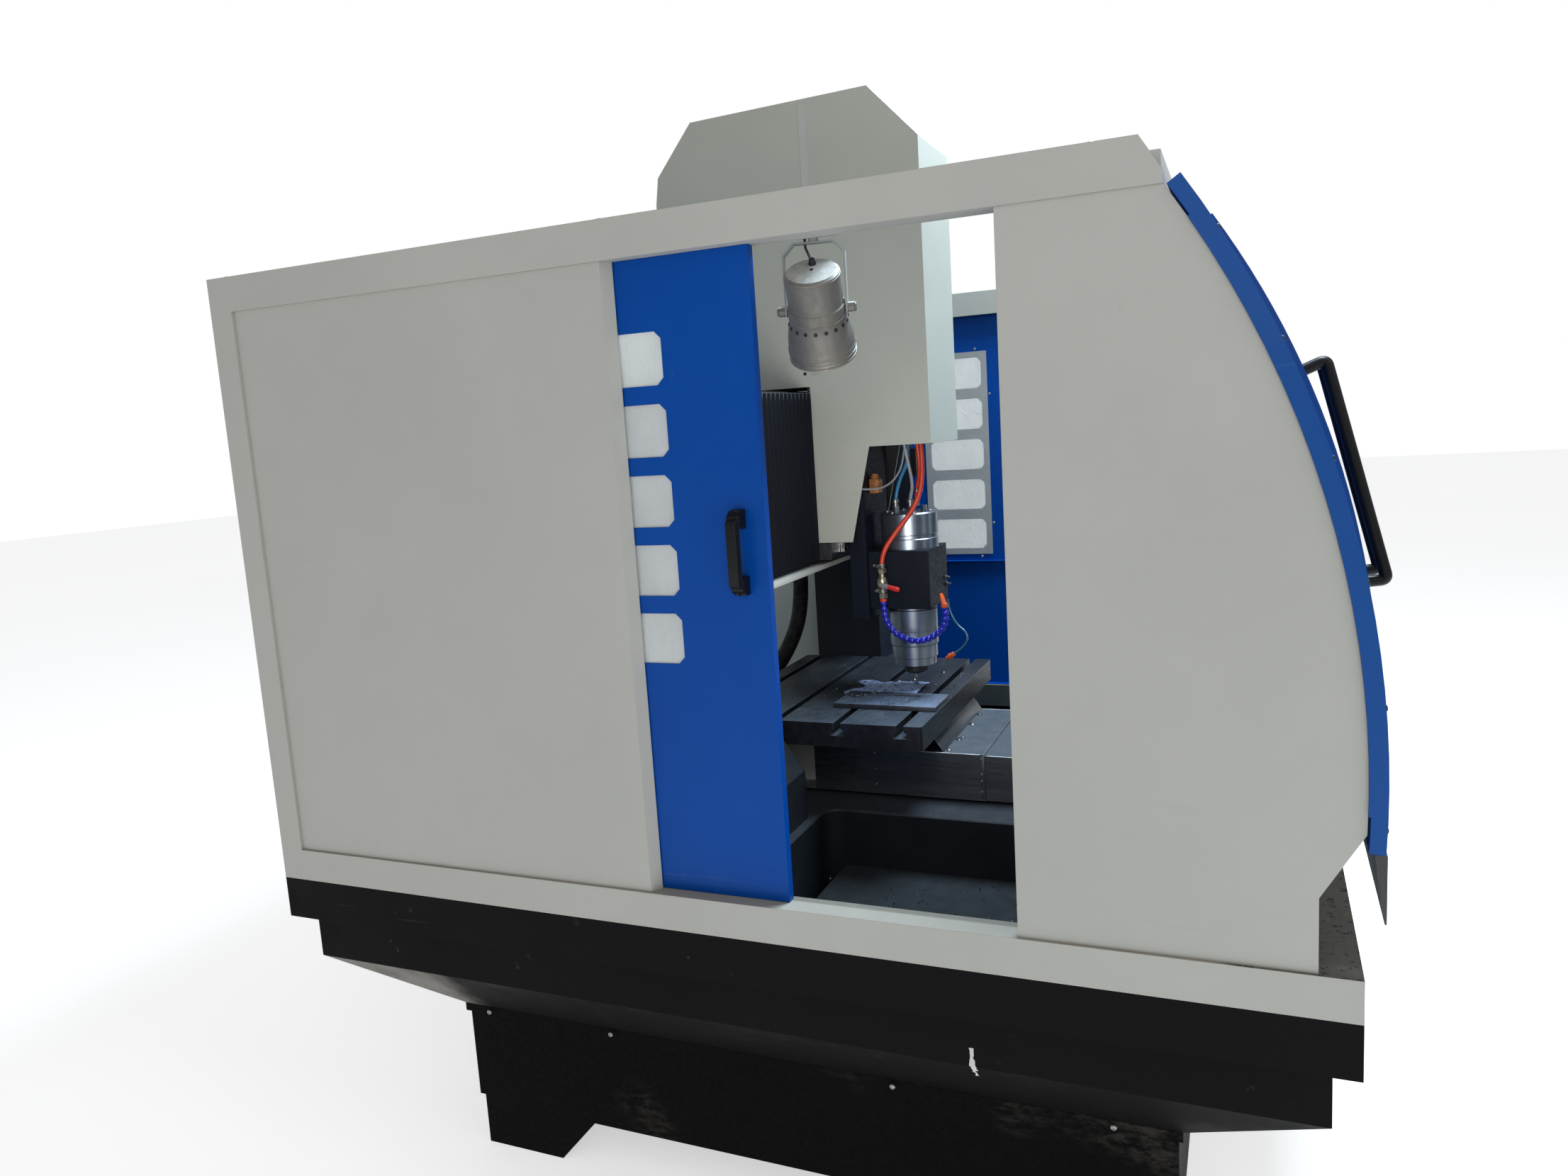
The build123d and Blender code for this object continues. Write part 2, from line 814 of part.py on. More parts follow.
# Head cover: a folded sheet housing, open below and at the rear leg
with BuildPart() as head_cover:
    outer_outline = [
        (cover_front, cover_front_low), (cover_front, cover_front_high), (cover_peak_front, cover_top),
        (cover_peak_rear, cover_peak_rear_z), (cover_rear_shoulder, cover_rear_shoulder_z),
        (cover_rear, cover_rear_z),
        (cover_rear, cover_rear_bottom), (cover_leg_rear, cover_rear_bottom),
        (cover_leg_rear, cover_leg_bottom),
        (cover_leg_front, cover_leg_bottom), (cover_notch, cover_front_low),
    ]
    profile_x(outer_outline, -cover_half_width, cover_half_width)
    s = cover_sheet
    below = cover_leg_bottom - 50
    inner_outline = [
        (cover_front + s, below), (cover_front + s, cover_front_high - s / 2),
        (cover_peak_front + s / 2, cover_top - s),
        (cover_peak_rear - s / 2, cover_peak_rear_z - s),
        (cover_rear_shoulder - s, cover_rear_shoulder_z - s / 2),
        (cover_rear - s, cover_rear_z), (cover_rear - s, cover_rear_bottom - 10),
        (cover_leg_rear + 10, cover_rear_bottom - 10),
        (cover_leg_rear + 10, below),
    ]
    profile_x(inner_outline, -cover_half_width + s, cover_half_width - s, mode=Mode.SUBTRACT)
    half = cover_half_width - s
    box_between(-half, half, cover_front + s, cover_notch, bulkhead_z, bulkhead_z + s)
pieces["head_cover"] = head_cover

# Pleated bellows on both sides of the head, with pleated upper and lower leaves
with BuildPart() as x_bellows:
    front_line = []
    for fold in range(bellows_count + 1):
        x = bellows_inner + fold * bellows_pitch
        front_line.append((x, bellows_front + bellows_pleat))
        if fold < bellows_count:
            front_line.append((x + bellows_pitch / 2, bellows_front))
    back_line = [(x, y + bellows_sheet) for x, y in reversed(front_line)]
    with BuildSketch(Plane.XY.offset(bellows_bottom)):
        with BuildLine():
            Polyline(*front_line, *back_line, close=True)
        make_face()
    extrude(amount=bellows_top - bellows_bottom)
    leaf_rear = crossbeam_front - running_gap
    leaf = front_line + [(front_line[-1][0], leaf_rear), (front_line[0][0], leaf_rear)]
    for z in (bellows_bottom, bellows_top - 2):
        with BuildSketch(Plane.XY.offset(z)):
            with BuildLine():
                Polyline(*leaf, close=True)
            make_face()
        extrude(amount=2)
    mirror(about=Plane.YZ)
pieces["x_bellows"] = x_bellows

# Spindle clamp: a split block on the Z slide
with BuildPart() as spindle_clamp:
    box_between(-clamp_half_width, clamp_half_width, clamp_front, slide_front, clamp_bottom, clamp_top)
    fillet(spindle_clamp.edges().filter_by(Axis.Z).sort_by(Axis.Y)[:2], clamp_corner)
    bore((0, spindle_y, clamp_bottom), (0, 0, 1), spindle_radius, clamp_top - clamp_bottom)
    box_between(
        -clamp_slit / 2, clamp_slit / 2, clamp_front, spindle_y, clamp_bottom, clamp_top,
        mode=Mode.SUBTRACT,
    )
    box_between(
        valve_x, -clamp_half_width, valve_y - 14, valve_y + 14, valve_bottom + 20, valve_bottom + 34,
    )
    bore((valve_x, valve_y, valve_bottom), (0, 0, 1), valve_radius, valve_top - valve_bottom)
pieces["spindle_clamp"] = spindle_clamp

# Spindle body: a stepped cylinder with three line fittings on its cap
fitting_places = {"red": (-8, spindle_y - 42), "air": (
    -36, spindle_y + 22,
), "cable": (-44, spindle_y - 18)}
with BuildPart() as spindle_body:
    with BuildSketch(Plane.XZ.offset(-spindle_y)):
        with BuildLine():
            Polyline(
                (0, spindle_nose_z), (spindle_nose_radius, spindle_nose_z),
                (spindle_nose_radius, spindle_nose_z + 18),
                (spindle_low_radius - 3, spindle_nose_z + 20), (spindle_low_radius - 3, spindle_step_z),
                (spindle_low_radius, spindle_step_z + 3), (spindle_low_radius, clamp_bottom - 2),
                (spindle_radius, clamp_bottom), (spindle_radius, clamp_top),
                (spindle_cap_radius, clamp_top), (spindle_cap_radius, clamp_top + 24),
                (spindle_cap_radius - 2, clamp_top + 26), (spindle_cap_radius - 2, clamp_top + 34),
                (spindle_cap_radius, clamp_top + 36), (spindle_cap_radius, spindle_cap_top - 3),
                (spindle_cap_radius - 3, spindle_cap_top), (0, spindle_cap_top), close=True,
            )
        make_face()
    revolve(axis=Axis((0, spindle_y, 0), (0, 0, 1)))
    for x, y in fitting_places.values():
        with BuildSketch(Plane.XY.offset(spindle_cap_top)):
            with Locations((x, y)):
                RegularPolygon(fitting_radius, 6)
        extrude(amount=fitting_height)
    bore((0, spindle_y, spindle_nose_z), (0, 0, 1), shaft_radius + bearing_gap, shaft_depth)
pieces["spindle_body"] = spindle_body

# Spindle shaft with its collet nut, and the end mill
nut_top = spindle_nose_z - running_gap
nut_bottom = nut_top - collet_nut_height
tool_tip = table_top + plate_thickness + tool_clearance
with BuildPart() as spindle_shaft:
    with BuildSketch(Plane.XZ.offset(-spindle_y)):
        with BuildLine():
            Polyline(
                (0, nut_bottom), (collet_nut_radius - 8, nut_bottom),
                (collet_nut_radius, nut_bottom + 6),
                (collet_nut_radius, nut_top), (shaft_radius, nut_top),
                (shaft_radius, spindle_nose_z + shaft_depth - running_gap),
                (0, spindle_nose_z + shaft_depth - running_gap),
                close=True,
            )
        make_face()
    revolve(axis=Axis((0, spindle_y, 0), (0, 0, 1)))
    bore((0, spindle_y, nut_bottom), (0, 0, 1), tool_radius, tool_bore_depth)
    for index in range(4):
        angle = radians(45 + 90 * index)
        with BuildSketch(Plane.XY.offset(nut_bottom)):
            with Locations(
                (collet_nut_radius * cos(angle), spindle_y + collet_nut_radius * sin(angle)),
            ):
                Circle(4)
        extrude(amount=collet_nut_height, mode=Mode.SUBTRACT)
pieces["spindle_shaft"] = spindle_shaft
with BuildPart() as end_mill:
    with BuildSketch(Plane.XY.offset(tool_tip)):
        with Locations((0, spindle_y)):
            Circle(tool_radius)
    extrude(amount=nut_bottom + tool_bore_depth - tool_tip)
    flute_top = nut_bottom - 6
    with BuildSketch(Plane.XY.offset(tool_tip)):
        with Locations((tool_radius, spindle_y), (-tool_radius, spindle_y)):
            Circle(tool_radius * 0.55)
    extrude(amount=flute_top - tool_tip, mode=Mode.SUBTRACT)
pieces["end_mill"] = end_mill

# Coolant valve on the clamp's left face: hose tail, body, neck and lever stem
with BuildPart() as coolant_valve:
    with BuildSketch(Plane(origin=(valve_x, valve_y, 0), x_dir=(1, 0, 0), z_dir=(0, -1, 0))):
        with BuildLine():
            Polyline(
                (0, valve_bottom), (6, valve_bottom), (6, valve_bottom + 6), (8, valve_bottom + 7),
                (8, valve_bottom + 16),
                (valve_radius, valve_bottom + 17), (valve_radius, valve_top - 26),
                (7.5, valve_top - 24), (7.5, valve_top - 14),
                (9, valve_top - 13), (9, valve_top - 7), (6, valve_top - 6), (6, valve_top),
                (0, valve_top), close=True,
            )
        make_face()
    revolve(axis=Axis((valve_x, valve_y, 0), (0, 0, 1)))
    with Locations(Plane(origin=(valve_x, valve_y, valve_lever_z), z_dir=(-1, 0, 0))):
        Cylinder(5, 14, align=(Align.CENTER, Align.CENTER, Align.MIN))
pieces["coolant_valve"] = coolant_valve

# Valve lever: a rounded strip that droops to the front from the valve stem
lever_x = valve_x - 14 - running_gap
droop = radians(lever_droop)
lever_plane = Plane(
    origin=(lever_x, valve_y, valve_lever_z), x_dir=(0, -cos(droop), -sin(droop)), z_dir=(-1, 0, 0),
)
with BuildPart() as valve_lever:
    with BuildSketch(lever_plane):
        with Locations((lever_length / 2 - 4, 0)):
            SlotOverall(lever_length, 11)
    extrude(amount=3)
pieces["valve_lever"] = valve_lever

# Segmented coolant hose: a U of ball-and-socket beads below the valve
hose_top_y = valve_y
hose_middle_y = valve_y - hose_loop_radius
hose_low_z = valve_bottom - hose_drop
tilt = radians(hose_end_tilt)
hose_end = (hose_middle_y - hose_loop_radius * cos(tilt), hose_low_z + hose_loop_radius * sin(tilt))
hose_axis = (0, sin(tilt), cos(tilt))
with BuildLine(Plane.YZ.offset(valve_x)) as hose_route:
    Line((hose_top_y, valve_bottom), (hose_top_y, hose_low_z))
    ThreePointArc((hose_top_y, hose_low_z), (hose_middle_y, hose_low_z - hose_loop_radius), hose_end)
hose_wire = hose_route.wire()
hose_length = hose_wire.length
bead_pitch = hose_length / hose_bead_count
with BuildPart() as coolant_hose:
    for index in range(hose_bead_count):
        at = index / hose_bead_count
        with BuildSketch(Plane(origin=hose_wire @ at, z_dir=hose_wire % at)):
            RegularPolygon(hose_bead_neck, 12)
        with BuildSketch(
            Plane(
                origin=hose_wire @ (at + 0.45 / hose_bead_count),
                z_dir=hose_wire % (at + 0.45 / hose_bead_count),
            ),
        ):
            RegularPolygon(hose_bead_radius, 12)
        loft()
        with BuildSketch(
            Plane(
                origin=hose_wire @ (at + 0.45 / hose_bead_count),
                z_dir=hose_wire % (at + 0.45 / hose_bead_count),
            ),
        ):
            RegularPolygon(hose_bead_radius, 12)
        with BuildSketch(
            Plane(
                origin=hose_wire @ (at + 1 / hose_bead_count),
                z_dir=hose_wire % (at + 1 / hose_bead_count),
            ),
        ):
            RegularPolygon(hose_bead_radius * 0.93, 12)
        loft()
pieces["coolant_hose"] = coolant_hose

# Mist tube beside the spindle, and the two nozzles
mist_route = [
    (62, clamp_front + 18, clamp_bottom), (62, clamp_front + 18, clamp_bottom - 22), (56, -222, 1152),
    (44, -256, 1130),
    (40, -250, 1098), (40, -213, 1074),
]
pieces["mist_tube"] = tube_along(mist_route, corner_radii(mist_route), mist_tube_radius)


def nozzle(origin, axis):
    """A tapered nozzle with a collar."""
    plane = Plane(origin=origin, z_dir=axis)
    with BuildSketch(plane) as collar:
        Circle(nozzle_radius)
    extrude(collar.sketch, amount=nozzle_length * 0.35)
    with BuildSketch(plane.offset(nozzle_length * 0.35)) as root:
        Circle(nozzle_radius * 0.8)
    with BuildSketch(plane.offset(nozzle_length)) as tip:
        Circle(nozzle_tip_radius)
    loft([root.sketch, tip.sketch], ruled=True)


with BuildPart() as nozzles:
    nozzle(hose_wire @ 1, hose_axis)
    nozzle(mist_route[-1], Vector(*mist_route[-1]) - Vector(*mist_route[-2]))
pieces["nozzles"] = nozzles

# Red coolant hoses from the bulkhead to the valve and the spindle
red_route = [
    (-62, -140, bulkhead_z), (-62, -140, bulkhead_z - 90), (-60, -182, 1660), (-62, -186, 1530),
    (-72, -165, 1466),
    (-88, -122, 1412), (valve_x, valve_y, valve_top + 34), (valve_x, valve_y, valve_top),
]
red_end = (fitting_places["red"][0], fitting_places["red"][1])
red_spare_route = [
    (-30, -140, bulkhead_z), (-30, -140, bulkhead_z - 90), (-24, -184, 1640), (-12, -188, 1535),
    (*red_end, spindle_cap_top + fitting_height + 24), (*red_end, spindle_cap_top + fitting_height),
]
red_hose = tube_along(red_route, corner_radii(red_route), red_hose_radius)
red_spare = tube_along(red_spare_route, corner_radii(red_spare_route), red_hose_radius)
with BuildPart() as red_hoses:
    add(red_hose.part)
    add(red_spare.part)
pieces["red_hoses"] = red_hoses

# Air tube and cable to the spindle cap
air_end = (fitting_places["air"][0], fitting_places["air"][1])
cable_end = (fitting_places["cable"][0], fitting_places["cable"][1])
air_route = [
    (-70, -108, bulkhead_z), (-70, -108, bulkhead_z - 90), (-54, -134, 1610),
    (*air_end, spindle_cap_top + fitting_height + 30), (*air_end, spindle_cap_top + fitting_height),
]
cable_route = [
    (-96, -120, bulkhead_z), (-96, -120, bulkhead_z - 90), (-86, -152, 1600), (-62, -160, 1520),
    (*cable_end, spindle_cap_top + fitting_height + 22), (*cable_end, spindle_cap_top + fitting_height),
]
air_tube = tube_along(air_route, corner_radii(air_route), air_tube_radius)
spindle_cable = tube_along(cable_route, corner_radii(cable_route), cable_radius)
with BuildPart() as spindle_lines:
    add(air_tube.part)
    add(spindle_cable.part)
pieces["spindle_lines"] = spindle_lines

# T-slot table
with BuildPart() as table:
    box_between(-table_half_width, table_half_width, table_front, table_rear, table_bottom, table_top)
    chamfer(table.edges().filter_by(Axis.Z), 6)
    slot_start = (table_length - (slot_count - 1) * slot_pitch) / 2
    for index in range(slot_count):
        y = table_front + slot_start + index * slot_pitch
        foot_top = table_top - slot_depth + slot_foot_height
        box_between(
            -table_half_width, table_half_width, y - slot_width / 2, y + slot_width / 2,
            table_top - slot_depth, table_top, mode=Mode.SUBTRACT,
        )
        box_between(
            -table_half_width, table_half_width, y - slot_foot_width / 2, y + slot_foot_width / 2,
            table_top - slot_depth, foot_top, mode=Mode.SUBTRACT,
        )
pieces["table"] = table

# Table saddle with the Y nut
with BuildPart() as table_saddle:
    box_between(
        -saddle_half_width, saddle_half_width, saddle_front, saddle_rear, saddle_bottom, table_bottom,
    )
    channel_top = y_screw_z + y_screw_radius + 22
    for y0, y1 in ((saddle_front, nut_start), (nut_end, saddle_rear)):
        box_between(
            -saddle_channel, saddle_channel, y0, y1, saddle_bottom, channel_top, mode=Mode.SUBTRACT,
        )
    bore((0, saddle_front, y_screw_z), (0, 1, 0), y_screw_radius + running_gap, saddle_length)
pieces["table_saddle"] = table_saddle

# Carriages on the Y rails
with BuildPart() as y_blocks:
    for x in (-y_rail_x, y_rail_x):
        for y in (saddle_front + 8 + y_block_length, saddle_rear - 8):
            plane = Plane(origin=(x, y, bed_top), x_dir=(1, 0, 0), z_dir=(0, -1, 0))
            guide_block(
                plane, y_block_width, y_block_height, y_block_length, y_rail_width, y_rail_height,
            )
pieces["y_blocks"] = y_blocks


def hood(half_width, top, bottom, front, rear, front_wall):
    """An open sheet hood that bridges the rails, with a front wall where asked."""
    box_between(-half_width, half_width, front, rear, bottom, top)
    start = front + hood_sheet if front_wall else front
    box_between(
        -half_width + hood_sheet, half_width - hood_sheet, start, rear, bottom, top - hood_sheet,
        mode=Mode.SUBTRACT,
    )


# Telescopic way cover: main hood with skirts along the saddle, middle hood, fixed front hood
with BuildPart() as way_cover_main:
    hood(hood_half_width, hood_top, hood_bottom, main_hood_front, saddle_front, False)
    for side in (-1, 1):
        box_between(
            side * (hood_half_width - hood_sheet), side * hood_half_width, saddle_front,
            main_hood_skirt_rear, hood_bottom, hood_top,
        )
pieces["way_cover_main"] = way_cover_main
middle_half = hood_half_width - hood_sheet - hood_gap
middle_top = hood_top - hood_sheet - hood_gap
with BuildPart() as way_cover_middle:
    hood(
        middle_half, middle_top, hood_bottom, middle_hood_front, middle_hood_front + middle_hood_length,
        False,
    )
pieces["way_cover_middle"] = way_cover_middle
front_half = middle_half - hood_sheet - hood_gap
front_top = middle_top - hood_sheet - hood_gap
with BuildPart() as way_cover_front:
    hood(front_half, front_top, bed_top, front_hood_start, front_hood_start + front_hood_length, True)
pieces["way_cover_front"] = way_cover_front

# Painted rear cover that follows the table
with BuildPart() as rear_way_cover:
    for side in (-1, 1):
        box_between(
            side * (hood_half_width - hood_sheet), side * hood_half_width,
            main_hood_skirt_rear + running_gap, rear_hood_rear, hood_bottom, hood_top,
        )
    box_between(
        -hood_half_width, hood_half_width, saddle_rear, rear_hood_rear, hood_top - hood_sheet, hood_top,
    )
pieces["rear_way_cover"] = rear_way_cover

# Work plate that lies on the table
with BuildPart() as work_plate:
    with BuildSketch(Plane.XY.offset(table_top)):
        with Locations(Location((plate_x, plate_y, 0), (0, 0, plate_turn))):
            Rectangle(plate_length, plate_width)
    extrude(amount=plate_thickness)
    chamfer(work_plate.faces().sort_by(Axis.Z)[-1].edges(), 1)
pieces["work_plate"] = work_plate

# Welded frame of the enclosure: sill ring, rear stiles, top beams, rear and front members
with BuildPart() as enclosure_frame:
    inner_length = enclosure_length - 2 * tube_width
    with BuildSketch(Plane.XY.offset(sill_bottom)):
        with Locations((0, enclosure_mid_y)):
            Rectangle(2 * enclosure_half_width, enclosure_length)
            Rectangle(2 * tube_inner, inner_length, mode=Mode.SUBTRACT)
    extrude(amount=sill_height)
    for side in (-1, 1):
        x0 = min(side * tube_inner, side * enclosure_half_width)
        box_between(
            x0, x0 + tube_width, enclosure_rear - tube_width, enclosure_rear, sill_top, beam_bottom,
        )
        beam_outline = [
            (beam_front, beam_bottom), (enclosure_rear, beam_bottom), (enclosure_rear, beam_top),
            (beam_front_top, beam_top), (beam_front, beam_bottom + beam_nose_height),
        ]
        profile_x(beam_outline, x0, x0 + tube_width)
    box_between(
        -tube_inner, tube_inner, enclosure_rear - tube_width, enclosure_rear, beam_bottom, beam_top,
    )
    header_top = beam_bottom + header_height + 10
    box_between(
        -tube_inner, tube_inner, beam_front + 6, beam_front + 6 + header_depth, beam_bottom + 10,
        header_top,
    )
pieces["enclosure_frame"] = enclosure_frame


def front_panel_outline(inset):
    """The (Y, Z) outline of the front side panel, moved in by a wall, as a list of edges."""
    radius = arc_radius - inset
    low = front_panel_belly + inset / 2
    high = beam_bottom - inset
    middle = (low + high) / 2
    with BuildLine() as outline:
        ThreePointArc(
            (arc_y(radius, low), low), (arc_y(radius, middle), middle), (arc_y(radius, high), high),
        )
        Polyline(
            (arc_y(radius, high), high), (front_panel_rear - inset, high),
            (front_panel_rear - inset, sill_top + inset),
            (front_panel_toe + inset, sill_top + inset),
            (front_panel_toe + inset, front_panel_toe_top + inset / 2),
            (arc_y(radius, low), low),
        )
    return outline.edges()


# Fixed side panels: folded trays, open towards the inside, in front of and behind each side door
panel_inner = panel_outer - panel_depth
panel_skin = panel_outer - panel_sheet
rear_panel_end = enclosure_rear - tube_width
with BuildPart() as side_panels:
    with BuildSketch(Plane.XY.offset(sill_top)):
        with BuildLine():
            Polyline(
                (panel_inner, rear_panel_front), (panel_outer, rear_panel_front + rear_panel_bevel),
                (panel_outer, rear_panel_end), (panel_inner, rear_panel_end), close=True,
            )
        make_face()
    extrude(amount=opening_height)
    field_front = rear_panel_front + rear_panel_bevel + panel_sheet
    field_rear = rear_panel_end - panel_sheet
    field_bottom = sill_top + panel_sheet
    field_top = beam_bottom - panel_sheet
    box_between(
        panel_inner, panel_skin, field_front, field_rear, field_bottom, field_top, mode=Mode.SUBTRACT,
    )
    with BuildSketch(Plane.YZ.offset(panel_inner)):
        make_face(front_panel_outline(0))
    extrude(amount=panel_depth)
    with BuildSketch(Plane.YZ.offset(panel_inner)):
        make_face(front_panel_outline(panel_sheet))
    extrude(amount=panel_depth - panel_sheet, mode=Mode.SUBTRACT)
    mirror(about=Plane.YZ)
pieces["side_panels"] = side_panels

# Back wall: a folded sheet between the stiles with two raised fields
with BuildPart() as back_wall:
    wall_rear = enclosure_rear - panel_recess
    wall_front = wall_rear - panel_depth
    box_between(-tube_inner, tube_inner, wall_front, wall_rear, sill_top, beam_bottom)
    field_half = tube_inner - panel_sheet
    box_between(
        -field_half, field_half, wall_front, wall_rear - panel_sheet, sill_top + panel_sheet,
        beam_bottom - panel_sheet, mode=Mode.SUBTRACT,
    )
    box_between(-panel_sheet, panel_sheet, wall_front, wall_rear, sill_top, beam_bottom)
pieces["back_wall"] = back_wall

# Blue front wings: curved trays at both front corners
wing_inner = arc_radius + wing_gap
wing_outer = wing_inner + wing_depth
wing_low_angle = arc_angle(wing_outer, wing_bottom)
wing_high_angle = arc_angle(wing_outer, wing_top)
edge_angle = degrees(panel_sheet / wing_outer)
with BuildPart() as front_wing_panels:
    x1 = enclosure_half_width
    x0 = x1 - wing_width
    arc_band(wing_inner, wing_outer, wing_low_angle, wing_high_angle, x0, x1)
    arc_band(
        wing_inner - 1, wing_outer - panel_sheet, wing_low_angle + edge_angle,
        wing_high_angle - edge_angle, x0 + panel_sheet, x1 - panel_sheet, mode=Mode.SUBTRACT,
    )
    flange_x = panel_outer - panel_depth
    flange_outer = wing_inner + panel_sheet
    arc_band(arc_radius, flange_outer, wing_low_angle + 2, wing_high_angle - 2, flange_x, x1)
    mirror(about=Plane.YZ)
pieces["front_wing_panels"] = front_wing_panels

# Dark guide rail below the wings, with a ledge under the doors
door_inner = wing_outer + front_door_gap
door_outer = door_inner + front_door_depth
ledge_front = arc_y(door_outer, wing_bottom)
wing_face_y = arc_y(wing_outer, wing_bottom)
with BuildPart() as front_guide_rail:
    rail_front = wing_face_y - 2
    rail_rear = rail_front + guide_rail_top_width
    rail_outline_points = [
        (rail_front, wing_bottom), (rail_rear, wing_bottom),
        (rail_front + guide_rail_low_width, wing_bottom - guide_rail_height),
        (rail_front, wing_bottom - guide_rail_height),
    ]
    profile_x(rail_outline_points, -enclosure_half_width, enclosure_half_width)
    ledge_half = enclosure_half_width - wing_width
    box_between(
        -ledge_half, ledge_half, ledge_front, rail_front, wing_bottom - guide_ledge_thickness,
        wing_bottom,
    )
pieces["front_guide_rail"] = front_guide_rail

# Curved front doors with a window opening, a window sheet and a tubular handle each
door_low_angle = arc_angle(door_outer, wing_bottom + door_slide_gap)
door_high_angle = arc_angle(door_outer, wing_top)
window_x0 = front_window_margin + 55
window_x1 = front_door_width - front_window_margin
for side, name in ((-1, "left_front"), (1, "right_front")):
    near = side * front_door_side_gap
    far = side * front_door_width
    x0, x1 = min(near, far), max(near, far)
    with BuildPart() as front_door:
        arc_band(door_inner, door_outer, door_low_angle, door_high_angle, x0, x1)
        arc_band(
            door_inner - 1, door_outer - panel_sheet, door_low_angle + edge_angle,
            door_high_angle - edge_angle, x0 + panel_sheet, x1 - panel_sheet, mode=Mode.SUBTRACT,
        )
        w0, w1 = sorted((side * window_x0, side * window_x1))
        arc_band(
            door_inner - 1, door_outer + 1, front_window_low_angle, front_window_top_angle, w0, w1,
            mode=Mode.SUBTRACT,
        )
    pieces[name + "_door"] = front_door
    with BuildPart() as front_window:
        sheet_outer = door_outer - panel_sheet
        arc_band(
            sheet_outer - window_sheet_thickness, sheet_outer, front_window_low_angle - 0.7,
            front_window_top_angle + 0.7, w0 - 22, w1 + 22,
        )
    pieces[name + "_window"] = front_window
    with BuildPart() as front_handle:
        hx = side * front_handle_x
        low = radians(front_handle_low_angle)
        high = radians(front_handle_high_angle)
        grip = door_outer + front_handle_standoff
        foot_low = (hx, arc_center_y - door_outer * cos(low), arc_center_z + door_outer * sin(low))
        foot_high = (hx, arc_center_y - door_outer * cos(high), arc_center_z + door_outer * sin(high))
        top_low = (hx, arc_center_y - grip * cos(low), arc_center_z + grip * sin(low))
        top_high = (hx, arc_center_y - grip * cos(high), arc_center_z + grip * sin(high))
        with BuildLine() as handle_route:
            FilletPolyline(foot_low, top_low, top_high, foot_high, radius=[26, 26])
        handle_wire = handle_route.wire()
        with BuildSketch(Plane(origin=handle_wire @ 0, z_dir=handle_wire % 0)):
            Circle(front_handle_tube)
        sweep(path=handle_wire)
    pieces[name + "_handle"] = front_handle

# Sliding side doors with cut-outs, window sheets and bridge handles
door_bottom = sill_top + door_slide_gap
door_top = beam_bottom - door_slide_gap
window_low = window_top - (window_count - 1) * window_pitch - window_height
door_shift = {"left": 0, "right": -182}
for side, name in ((-1, "left"), (1, "right")):
    front = door_front_edge + door_shift[name]
    rear = front + door_length
    window_y = window_front + door_shift[name] + window_width / 2
    outer = side * door_outer_x
    inner = side * (door_outer_x - door_depth)
    skin = side * (door_outer_x - door_sheet)
    x_low, x_high = min(outer, inner), max(outer, inner)
    with BuildPart() as side_door:
        box_between(outer, inner, front, rear, door_bottom, door_top)
        box_between(
            skin, inner, front + door_sheet, rear - door_sheet, door_bottom + door_sheet,
            door_top - door_sheet, mode=Mode.SUBTRACT,
        )
        box_between(
            skin, side * (door_outer_x - 16), front + door_sheet, rear - door_sheet, stiffener_height,
            stiffener_height + door_sheet,
        )
        with BuildSketch(Plane.YZ.offset(x_low)) as cutouts:
            for index in range(window_count):
                z = window_top - window_height / 2 - index * window_pitch
                with Locations((window_y, z)):
                    Rectangle(window_width, window_height)
            chamfer(cutouts.vertices(), window_corner)
        extrude(amount=x_high - x_low, mode=Mode.SUBTRACT)
    pieces[name + "_door"] = side_door
    with BuildPart() as window_sheet:
        half = window_width / 2 + window_sheet_margin
        sheet_inner = side * (door_outer_x - door_sheet - window_sheet_thickness)
        box_between(
            skin, sheet_inner, window_y - half, window_y + half, window_low - window_sheet_margin,
            window_top + window_sheet_margin,
        )
    pieces[name + "_door_windows"] = window_sheet
    with BuildPart() as bridge_handle:
        handle_y = bridge_center_y + door_shift[name]
        grip_x = outer + side * bridge_standoff
        half = bridge_length / 2
        bar = side * bridge_bar
        with BuildSketch(Plane.XZ.offset(-(handle_y - bridge_width / 2))) as bridge_outline:
            with BuildLine():
                Polyline(
                    (outer, bridge_center_z - half), (outer, bridge_center_z + half),
                    (grip_x - bar * 1.2, bridge_center_z + half),
                    (grip_x, bridge_center_z + half - 16), (grip_x, bridge_center_z - half + 16),
                    (grip_x - bar * 1.2, bridge_center_z - half), close=True,
                )
            make_face()
            with BuildLine():
                Polyline(
                    (outer, bridge_center_z - half + 30), (outer, bridge_center_z + half - 30),
                    (grip_x - bar * 1.3, bridge_center_z + half - 26),
                    (grip_x - bar, bridge_center_z + half - 36),
                    (grip_x - bar, bridge_center_z - half + 36),
                    (grip_x - bar * 1.3, bridge_center_z - half + 26), close=True,
                )
            make_face(mode=Mode.SUBTRACT)
        extrude(amount=-bridge_width)
    pieces[name + "_door_handle"] = bridge_handle

# Directions of the lamp: its pivot axis, the way it points and its own axis
pivot = Vector(lamp_x, lamp_y, lamp_pivot_z)
yaw = radians(lamp_yaw)
swing = radians(lamp_swing)
lamp_across = Vector(-sin(yaw), cos(yaw), 0)
lamp_ahead = Vector(cos(yaw), sin(yaw), 0)
lamp_up = Vector(0, 0, cos(swing)) - lamp_ahead * sin(swing)
lamp_side = lamp_ahead * cos(swing) + Vector(0, 0, sin(swing))

